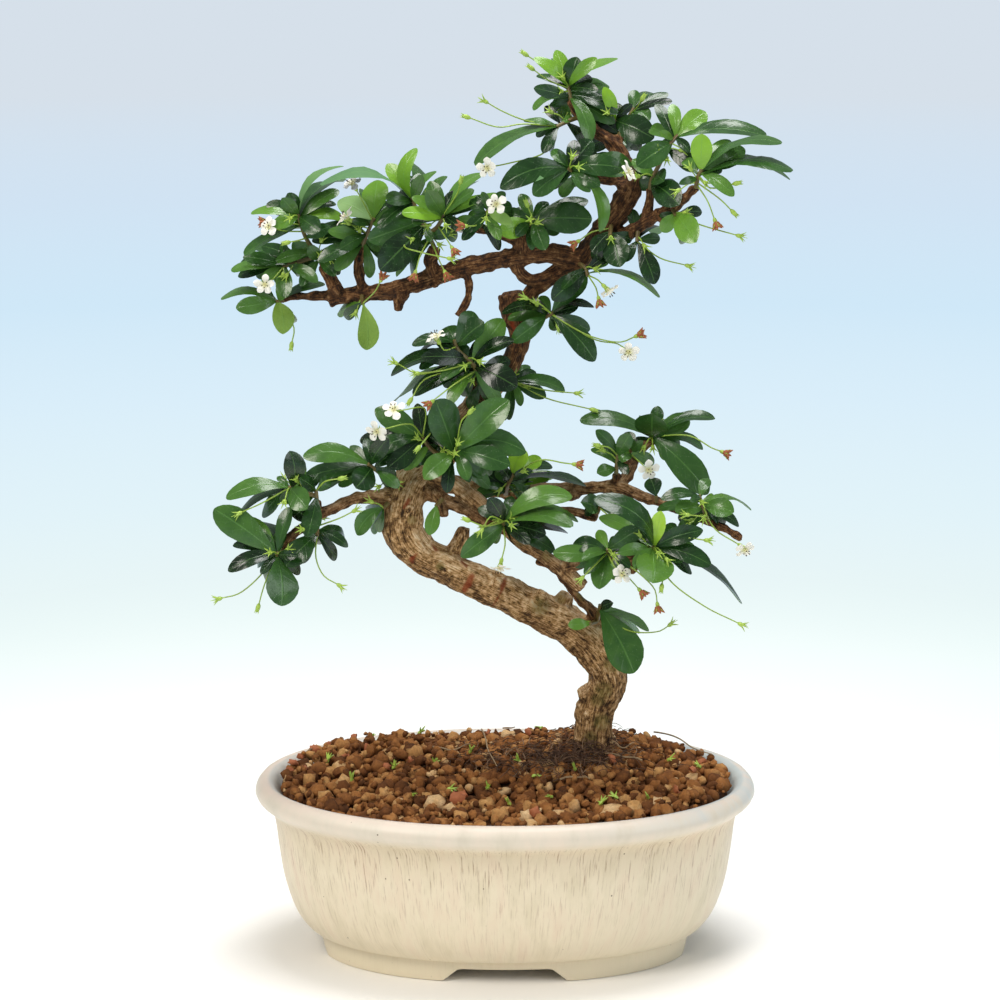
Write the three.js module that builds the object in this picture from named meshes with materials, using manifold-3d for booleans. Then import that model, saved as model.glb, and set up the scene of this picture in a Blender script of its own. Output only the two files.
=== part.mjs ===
// A fukien tea bonsai in an oval glazed pot: pot, drain nets, soil, one body of wood with roots,
// leafy sprays on their short stems, and the white flowers that sit on them.
// Millimetres, +Z up. The origin is the middle of the pot on the surface that it stands on.
import * as THREE from 'three';
import { mergeVertices } from 'three/addons/utils/BufferGeometryUtils.js';
import Module from 'manifold-3d';

const wasm = await Module();
wasm.setup();

// Driving dimensions of the pot
const POT_LENGTH = 220;
const POT_DEPTH = 156;
const POT_HEIGHT = 78;
const FLOOR_UNDERSIDE = 9.5;
const FLOOR_TOP = 16;
const FOOT_WIDTH = 8;
const FOOT_GAP_HEIGHT = 6;
const LONG_GAP = [27, 20];
const END_GAP = [16, 11];
const FOOT_INSET = 28;
const DRAIN_RADIUS = 6;
const DRAIN_X = 38;
const NET_SIDE = 22;
const NET_THICKNESS = 0.8;
const NET_EYES = 2;
const NET_EYE_SHARE = 0.7;

// Driving dimensions of the soil, the wood and the leaves
const SOIL_LEVEL = 72;
const MOUND_HEIGHT = 12;
const MOUND_SPREAD = 38;
const MOUND_X = 41;
const MOUND_Y = 20;
const HEAP_HEIGHT = 5.5;
const HEAP_SPREAD = 30;
const HEAP_X = -45;
const HEAP_Y = 36;
const GRANULE = 15.4;
const GRANULE_HEIGHT = 4.2;
const GRANULE_SCATTER = 2.4;
const CLEARANCE = 0.3;
const STEM_RADIUS = 1.25;
const STALK_RADIUS = 0.45;
const LEAF_THICKNESS = 0.7;
const LEAF_SLENDER = 0.4;
const CANOPY_HALF_DEPTH = 75;
const SLIVER = 0.0005;
const PETAL_LENGTH = 4.6;
const PETAL_WIDTH = 3.0;

// The photograph is 1000 pixels square. These are the eye's place, its dip and its focal length in
// pixels, so that a pixel and a depth behind or before the middle of the pot give a place in space.
const EYE = new THREE.Vector3(-2.2, -1187, 441);
const EYE_DIP = THREE.MathUtils.degToRad(11.4);
const FOCAL = 2800;
const PICTURE_MIDDLE = 500;

function spot([px, py, depth]) {
  const slope = (PICTURE_MIDDLE - py) / FOCAL;
  const away = depth - EYE.y;
  const rise = away * (slope * Math.cos(EYE_DIP) - Math.sin(EYE_DIP))
    / (Math.cos(EYE_DIP) + slope * Math.sin(EYE_DIP));
  const range = away * Math.cos(EYE_DIP) - rise * Math.sin(EYE_DIP);
  return new THREE.Vector3(EYE.x + (px - PICTURE_MIDDLE) * range / FOCAL, depth, EYE.z + rise);
}

const millimetresPerPixel = (place) => place.distanceTo(EYE) / FOCAL;

// Repeatable random numbers from 0 to 1, a linear congruential sequence
function seeded(seed) {
  let state = seed;
  return () => {
    state = (state * 1664525 + 1013904223) % 4294967296;
    return state / 4294967296;
  };
}

// Volume inside a closed set of triangles, below zero where its faces point inwards
function enclosed(positions, index) {
  const corner = (k) => new THREE.Vector3().fromArray(positions, 3 * index[k]);
  let volume = 0;
  for (let k = 0; k < index.length; k += 3) {
    volume += corner(k).dot(corner(k + 1).cross(corner(k + 2))) / 6;
  }
  return volume;
}

// A closed body from rings of points. A ring of one point closes the body to a tip, and a
// longer ring at either end is capped flat.
function skin(rings, closedOnItself = false) {
  const positions = [];
  const index = [];
  const starts = [];
  for (const ring of rings) {
    starts.push(positions.length / 3);
    for (const p of ring) positions.push(p.x, p.y, p.z);
  }
  const last = rings.length - 1;
  for (let i = 0; i < rings.length - (closedOnItself ? 0 : 1); i++) {
    const next = (i + 1) % rings.length;
    const a = starts[i];
    const b = starts[next];
    const n = Math.max(rings[i].length, rings[next].length);
    for (let k = 0; k < n; k++) {
      const m = (k + 1) % n;
      if (rings[i].length === 1) index.push(a, b + m, b + k);
      else if (rings[next].length === 1) index.push(a + k, a + m, b);
      else index.push(a + k, a + m, b + m, a + k, b + m, b + k);
    }
  }
  if (!closedOnItself) {
    for (let k = 1; k < rings[0].length - 1; k++) index.push(starts[0], starts[0] + k + 1, starts[0] + k);
    for (let k = 1; k < rings[last].length - 1; k++) {
      index.push(starts[last], starts[last] + k, starts[last] + k + 1);
    }
  }
  if (enclosed(positions, index) < 0) index.reverse();
  const geometry = new THREE.BufferGeometry();
  geometry.setAttribute('position', new THREE.Float32BufferAttribute(positions, 3));
  geometry.setIndex(index);
  return geometry;
}

function solidOf(geometry) {
  const bare = geometry.clone();
  bare.deleteAttribute('normal');
  bare.deleteAttribute('uv');
  const merged = mergeVertices(bare, 1e-4);
  return new wasm.Manifold(new wasm.Mesh({
    numProp: 3,
    vertProperties: new Float32Array(merged.attributes.position.array),
    triVerts: new Uint32Array(merged.index.array),
  }));
}

const joined = (solids) => solids.reduce((whole, solid) => whole.add(solid));

// The largest body of a solid that a cut has split, so that no loose scrap stays
function largest(solid) {
  const bodies = solid.decompose();
  return bodies.reduce((best, body) => (body.volume() > best.volume() ? body : best));
}

const group = new THREE.Group();

function place(name, solid, colour, roughness) {
  const { vertProperties, triVerts } = solid.getMesh();
  const geometry = new THREE.BufferGeometry();
  geometry.setAttribute('position', new THREE.BufferAttribute(vertProperties, 3));
  geometry.setIndex(new THREE.BufferAttribute(triVerts, 1));
  geometry.computeVertexNormals();
  const material = new THREE.MeshStandardMaterial({ color: colour, roughness, metalness: 0 });
  const mesh = new THREE.Mesh(geometry, material);
  mesh.name = name;
  group.add(mesh);
}

// Pot: an oval bowl with a rolled rim on a low foot band that gaps divide into four feet
const OVAL_POWER = 2.1;
const OVAL_SIDES = 28;

function ovalRing(halfLength, halfDepth, z) {
  const ring = [];
  for (let k = 0; k < OVAL_SIDES; k++) {
    const turn = 2 * Math.PI * k / OVAL_SIDES;
    const c = Math.cos(turn);
    const s = Math.sin(turn);
    ring.push(new THREE.Vector3(
      halfLength * Math.sign(c) * Math.abs(c) ** (2 / OVAL_POWER),
      halfDepth * Math.sign(s) * Math.abs(s) ** (2 / OVAL_POWER),
      z,
    ));
  }
  return ring;
}

// Each pair is how far the surface lies inside the rim's outermost line, and its height
const OUTSIDE = [[26, 9.5], [21.5, 12], [17, 19], [12.5, 32], [9.5, 50], [8, 62],
  [1.8, 67], [0, 71], [1.2, 75], [4.2, POT_HEIGHT]];
const INSIDE = [[7.2, 77.4], [9.3, 74.5], [12, 68], [16.5, 45], [22, 26], [32, FLOOR_TOP]];
const potRing = ([inward, z]) => ovalRing(POT_LENGTH / 2 - inward, POT_DEPTH / 2 - inward, z);

// The cutter of a gap in the foot band, centred that far from the middle of the pot
function gapPrism([halfAtBottom, halfAtTop], centre, length, alongX) {
  const shape = new THREE.Shape();
  shape.moveTo(-halfAtBottom, -1);
  shape.lineTo(halfAtBottom, -1);
  shape.lineTo(halfAtTop, FOOT_GAP_HEIGHT);
  shape.lineTo(-halfAtTop, FOOT_GAP_HEIGHT);
  const geometry = new THREE.ExtrudeGeometry(shape, { depth: length, bevelEnabled: false });
  geometry.translate(0, 0, centre - length / 2);
  geometry.rotateX(Math.PI / 2);
  if (alongX) geometry.rotateZ(Math.PI / 2);
  return solidOf(geometry);
}

function makePot() {
  const bowl = solidOf(skin([...OUTSIDE, ...INSIDE].map(potRing)));
  const bandTop = FLOOR_UNDERSIDE + 1.5;
  const bandEdge = (inward, z) => potRing([FOOT_INSET + inward, z]);
  const band = solidOf(skin([
    bandEdge(0, 0),
    bandEdge(-0.6, bandTop),
    bandEdge(FOOT_WIDTH + 1, bandTop),
    bandEdge(FOOT_WIDTH, 0),
  ], true));
  let pot = bowl.add(band);
  const cut = 2.5 * FOOT_WIDTH;
  for (const side of [-1, 1]) {
    pot = pot.subtract(gapPrism(LONG_GAP, side * (POT_DEPTH / 2 - FOOT_INSET - 5), cut, false));
    pot = pot.subtract(gapPrism(END_GAP, side * (POT_LENGTH / 2 - FOOT_INSET - 5), cut, true));
    const drain = new THREE.CylinderGeometry(DRAIN_RADIUS, DRAIN_RADIUS, 2 * FLOOR_TOP, 16);
    drain.rotateX(Math.PI / 2);
    drain.translate(side * DRAIN_X, 0, FLOOR_TOP);
    pot = pot.subtract(solidOf(drain));
  }
  return pot;
}

// Drain net: a square of plastic mesh over each drain hole, under the soil
function makeNet(x) {
  const z = FLOOR_TOP + CLEARANCE + NET_THICKNESS / 2;
  const sheet = new THREE.BoxGeometry(NET_SIDE, NET_SIDE, NET_THICKNESS);
  sheet.translate(x, 0, z);
  let net = solidOf(sheet);
  const pitch = NET_SIDE / NET_EYES;
  const eyeSide = pitch * NET_EYE_SHARE;
  const first = (1 - NET_EYES) / 2;
  for (let i = 0; i < NET_EYES; i++) {
    for (let j = 0; j < NET_EYES; j++) {
      const eye = new THREE.BoxGeometry(eyeSide, eyeSide, 4 * NET_THICKNESS);
      eye.translate(x + pitch * (first + i), pitch * (first + j), z);
      net = net.subtract(solidOf(eye));
    }
  }
  return net;
}

// Wood: each limb is a list of picture points with a depth and a radius in millimetres
const TRUNK = [[594, 765, 24, 11.5], [596, 748, 20, 10.5], [594, 732, 16, 8.4], [599, 702, 14, 8.3],
  [608, 682, 12, 8.2], [602, 660, 10, 8.4], [587, 640, 8, 8.6], [563, 622, 6, 8.6],
  [530, 607, 2, 7.8], [500, 591, -1, 7.8], [470, 578, -4, 7.3], [440, 563, -6, 7.4],
  [418, 552, -7, 8.2], [404, 535, -7, 8.8], [401, 517, -6, 9.2], [404, 498, -4, 9.4],
  [412, 482, 0, 8.2], [430, 466, 4, 7], [450, 445, 8, 6], [465, 420, 10, 5.6], [480, 400, 10, 5.3],
  [498, 380, 10, 4.8], [512, 360, 9, 4.6], [519, 340, 8, 4.6], [516, 318, 6, 5.6], [511, 293, 6, 5.4]];
const LEADER = [[517, 326, 6, 4], [530, 296, 4, 3.6], [545, 280, 2, 3.2], [562, 270, 0, 3.6],
  [580, 261, -1, 4.2], [596, 240, -2, 4.8], [611, 220, -2, 5.2], [624, 203, -2, 5.2],
  [631, 189, -2, 4.8], [632, 177, -1, 4.2], [622, 160, 0, 3.8], [611, 142, 1, 3], [591, 127, 3, 2.4],
  [577, 112, 5, 2.2], [571, 100, 6, 1.9]];
const LIMBS = [
  [[424, 474, 0, 4], [445, 480, -5, 3.6], [465, 492, -9, 3.5], [485, 508, -13, 3.5],
    [503, 525, -15, 3.4], [520, 540, -16, 3.4], [540, 553, -17, 3.2], [560, 568, -17, 3.2],
    [582, 587, -17, 3.4]],
  [[412, 484, -2, 3.4], [440, 498, -6, 2.8], [460, 507, -10, 2.6], [480, 519, -14, 2.6],
    [502, 531, -15, 2.6]],
  [[437, 494, -6, 3], [442, 503, -8, 2.3], [444, 516, -9, 2]],
  [[598, 622, 8, 3.4], [590, 609, 3, 2.4], [575, 595, 0, 1.9], [562, 578, -2, 1.6],
    [550, 567, -3, 1.5], [537, 560, -3, 1.3]],
  [[560, 567, -17, 2.8], [583, 562, -21, 2.5], [605, 557, -25, 2.3], [628, 557, -28, 2.2],
    [646, 556, -31, 2]],
  [[624, 558, -27, 2.2], [636, 570, -27, 2.4]],
  [[430, 478, 2, 5], [468, 487, 7, 3.8], [500, 490, 8, 3.4], [530, 490, 6, 3.1], [564, 488, 2, 2.8],
    [595, 488, -2, 2.7], [617, 487, -5, 3], [642, 497, -11, 2.3], [671, 506, -18, 2.1],
    [690, 514, -22, 2], [710, 522, -26, 1.9], [729, 531, -29, 1.7], [742, 539, -31, 1.5]],
  [[619, 487, -5, 2.8], [629, 472, -2, 2.5], [635, 457, 2, 2.3], [643, 446, 5, 2.2],
    [653, 441, 7, 2]],
  [[633, 463, 0, 2], [624, 457, -3, 2.4]],
  [[614, 488, -5, 2], [616, 474, -6, 1.7]],
  [[572, 487, 1, 2.4], [575, 499, -1, 2.9]],
  [[500, 491, 8, 2.4], [530, 504, 6, 2.2], [555, 512, 2, 2.1], [575, 512, -1, 2.1],
    [597, 517, -4, 2.4]],
  [[396, 500, -6, 5], [375, 497, -12, 3.2], [353, 499, -17, 2.7], [334, 508, -21, 2.4],
    [318, 516, -24, 2.2], [305, 526, -27, 2], [290, 538, -30, 1.9], [278, 552, -33, 1.6]],
  [[320, 515, -24, 1.8], [317, 501, -27, 1.4]],
  [[457, 552, -5, 5], [462, 536, -4, 3.4], [464, 527, -4, 2.6]],
  [[560, 607, 6, 5], [566, 594, 5, 3.4]],
  [[588, 694, 14, 5], [583, 691, 12, 3.4]],
  [[481, 398, 10, 3.4], [470, 372, -2, 3], [462, 347, -8, 3.2]],
  [[583, 260, -1, 4.4], [548, 253, -3, 4.4], [520, 256, -3, 4.1], [485, 263, 1, 3.9],
    [453, 271, 5, 3.9], [421, 281, 9, 3.8], [386, 291, 13, 3.7], [358, 294, 16, 3.5],
    [330, 300, 18, 3.2]],
  [[340, 297, 17, 2.4], [312, 296, 20, 1.9], [292, 297, 22, 1.6], [281, 300, 22, 1.4]],
  [[515, 259, -3, 3], [520, 273, -2, 2.7], [532, 280, -1, 2.5], [552, 275, 0, 2.4]],
  [[400, 292, 11, 3.2], [399, 311, 10, 1.7]],
  [[466, 271, 3, 2], [469, 290, 1, 1.7], [465, 305, -2, 1.6], [456, 316, -4, 1.5]],
  [[337, 294, 17, 3], [330, 277, 17, 2.8], [322, 265, 18, 2.4]],
  [[363, 290, 15, 2.4], [358, 267, 13, 2.1], [362, 246, 12, 1.9]],
  [[434, 277, 7, 3.1], [430, 260, 4, 2.8], [435, 247, 1, 2.5]],
  [[524, 254, -3, 4.2], [521, 234, -5, 3.9]],
  [[515, 238, -5, 2.8], [495, 232, -8, 2.2], [476, 228, -11, 1.8]],
  [[612, 240, -3, 3.6], [632, 231, -7, 2.9], [655, 217, -13, 2.6], [672, 208, -18, 2.5],
    [685, 198, -22, 2.3], [696, 187, -25, 2]],
  [[645, 223, -10, 2.3], [649, 205, -10, 2], [650, 188, -10, 1.8]],
  [[661, 214, -15, 2.6], [667, 222, -16, 2.6]],
  [[629, 182, -2, 3], [605, 179, -7, 2.1], [584, 175, -13, 1.9]],
  [[613, 148, 1, 2.4], [619, 137, 4, 1.9]],
];
const ROOTS = [[34, -16, 52, 4.4], [20, 42, 56, 4], [78, 30, 54, 4.4], [60, -12, 56, 3.6]];
const BARK_STEP = 14;
const LIMB_STEP = 16;
const WHOLE_SPAN = 1000;
const barkRelief = (turn, run) => 0.06 * Math.sin(3 * turn + 0.11 * run)
  + 0.045 * Math.sin(5 * turn - 0.23 * run) + 0.035 * Math.sin(0.42 * run + turn);

// A round limb through its points, swollen and ridged by the relief, with its ends cut square
function limb(points, radii, sides, step, relief, extra) {
  const curve = new THREE.CatmullRomCurve3(points, false, 'centripetal');
  const spans = points.length - 1;
  const stations = [];
  for (let i = 0; i < spans; i++) {
    const pieces = Math.max(1, Math.round(points[i].distanceTo(points[i + 1]) / step));
    for (let j = 0; j < pieces; j++) stations.push((i + j / pieces) / spans);
  }
  stations.push(1);
  let across = new THREE.Vector3(0, 1, 0);
  let run = 0;
  let before = null;
  const rings = stations.map((t) => {
    const centre = curve.getPoint(t);
    const along = curve.getTangent(t);
    if (before) run += centre.distanceTo(before);
    before = centre;
    across = across.clone().addScaledVector(along, -across.dot(along)).normalize();
    const up = new THREE.Vector3().crossVectors(along, across);
    const at = Math.min(spans - 1e-9, t * spans);
    const i = Math.floor(at);
    const radius = radii[i] + (radii[i + 1] - radii[i]) * (at - i);
    const ring = [];
    for (let k = 0; k < sides; k++) {
      const turn = 2 * Math.PI * k / sides;
      const reach = radius * (1 + relief(turn, run)) + extra;
      ring.push(centre.clone().addScaledVector(across, reach * Math.cos(turn))
        .addScaledVector(up, reach * Math.sin(turn)));
    }
    return ring;
  });
  if (extra > 0) {
    const ends = [curve.getTangent(0).multiplyScalar(-extra), curve.getTangent(1).multiplyScalar(extra)];
    rings[0].forEach((p) => p.add(ends[0]));
    rings[rings.length - 1].forEach((p) => p.add(ends[1]));
  }
  return solidOf(skin(rings));
}

// The whole wood, or with extra a body that stands that much proud of it on every side
function makeWood(extra) {
  const pieces = [];
  const smooth = () => 0;
  const add = (rows, sides, step, relief) => {
    pieces.push(limb(rows.map(spot), rows.map((row) => row[3]), sides, step, relief, extra));
  };
  add(TRUNK, 9, BARK_STEP, barkRelief);
  add(LEADER, 6, BARK_STEP, barkRelief);
  for (const rows of LIMBS) {
    const isLong = rows.length > 5;
    add(rows, isLong ? 5 : 4, LIMB_STEP, isLong ? barkRelief : smooth);
  }
  const collar = spot(TRUNK[1]);
  for (const [x, y, z, radius] of ROOTS) {
    const end = new THREE.Vector3(x, y, z);
    const bend = collar.clone().lerp(end, 0.45).setZ(collar.z - MOUND_HEIGHT);
    pieces.push(limb([collar, bend, end], [radius + 2, radius, radius * 0.5], 5, WHOLE_SPAN, smooth, extra));
  }
  return joined(pieces);
}

// Soil: fills the pot and rises to a mound round the trunk and a lower heap at the left, its top
// covered with granules
function soilHeight(x, y) {
  const mound = ((x - MOUND_X) ** 2 + (y - MOUND_Y) ** 2) / (2 * MOUND_SPREAD ** 2);
  const heap = ((x - HEAP_X) ** 2 + (y - HEAP_Y) ** 2) / (2 * HEAP_SPREAD ** 2);
  return SOIL_LEVEL + MOUND_HEIGHT * Math.exp(-mound) + HEAP_HEIGHT * Math.exp(-heap);
}

// Rows of triangles in which each granule is a hexagonal lump, six faces round one peak
function makeGranules() {
  const side = GRANULE / Math.sqrt(3);
  const rowStep = GRANULE / 2;
  const columns = Math.ceil(POT_LENGTH / side) + 1;
  const rows = Math.ceil(POT_DEPTH / rowStep) + 1;
  const random = seeded(7);
  const ring = (i, j) => i * (rows + 1) + j;
  const positions = [];
  const bottom = [];
  for (let i = 0; i <= columns; i++) {
    for (let j = 0; j <= rows; j++) {
      const odd = j % 2;
      const peak = ((i - (j - odd) / 2 - j) % 3 + 3) % 3 === 0;
      const x = (i + odd / 2 - columns / 2) * side + (random() - 0.5) * GRANULE_SCATTER;
      const y = (j - rows / 2) * rowStep + (random() - 0.5) * GRANULE_SCATTER;
      const lift = peak ? GRANULE_HEIGHT * (0.6 + 0.8 * random()) : 0;
      positions.push(x, y, soilHeight(x, y) + lift);
      bottom.push(x, y, 0);
    }
  }
  const under = positions.length / 3;
  const index = [];
  const face = (a, b, c) => index.push(a, b, c, under + a, under + c, under + b);
  for (let i = 0; i < columns; i++) {
    for (let j = 0; j < rows; j++) {
      const corners = [ring(i, j), ring(i + 1, j), ring(i + 1, j + 1), ring(i, j + 1)];
      if (j % 2 === 0) {
        face(corners[0], corners[1], corners[3]);
        face(corners[1], corners[2], corners[3]);
      } else {
        face(corners[0], corners[1], corners[2]);
        face(corners[0], corners[2], corners[3]);
      }
    }
  }
  const wall = (a, b) => index.push(a, under + a, under + b, a, under + b, b);
  for (let i = 0; i < columns; i++) {
    wall(ring(i, 0), ring(i + 1, 0));
    wall(ring(i + 1, rows), ring(i, rows));
  }
  for (let j = 0; j < rows; j++) {
    wall(ring(columns, j), ring(columns, j + 1));
    wall(ring(0, j + 1), ring(0, j));
  }
  const geometry = new THREE.BufferGeometry();
  geometry.setAttribute('position', new THREE.Float32BufferAttribute([...positions, ...bottom], 3));
  geometry.setIndex(index);
  return solidOf(geometry);
}

function makeSoil(fatWood) {
  const inward = CLEARANCE + 0.1;
  const fill = INSIDE.slice(1).reverse().map(([reach, z]) => [reach + inward, z]);
  fill[0][1] += CLEARANCE;
  fill.push([INSIDE[1][0] + inward, SOIL_LEVEL + 3 * MOUND_HEIGHT]);
  let soil = solidOf(skin(fill.map(potRing))).intersect(makeGranules());
  const recess = NET_SIDE + 2 * CLEARANCE;
  for (const side of [-1, 1]) {
    const box = new THREE.BoxGeometry(recess, recess, 4 * NET_THICKNESS);
    box.translate(side * DRAIN_X, 0, FLOOR_TOP + CLEARANCE);
    soil = soil.subtract(solidOf(box));
  }
  return largest(soil.subtract(fatWood));
}

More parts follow.
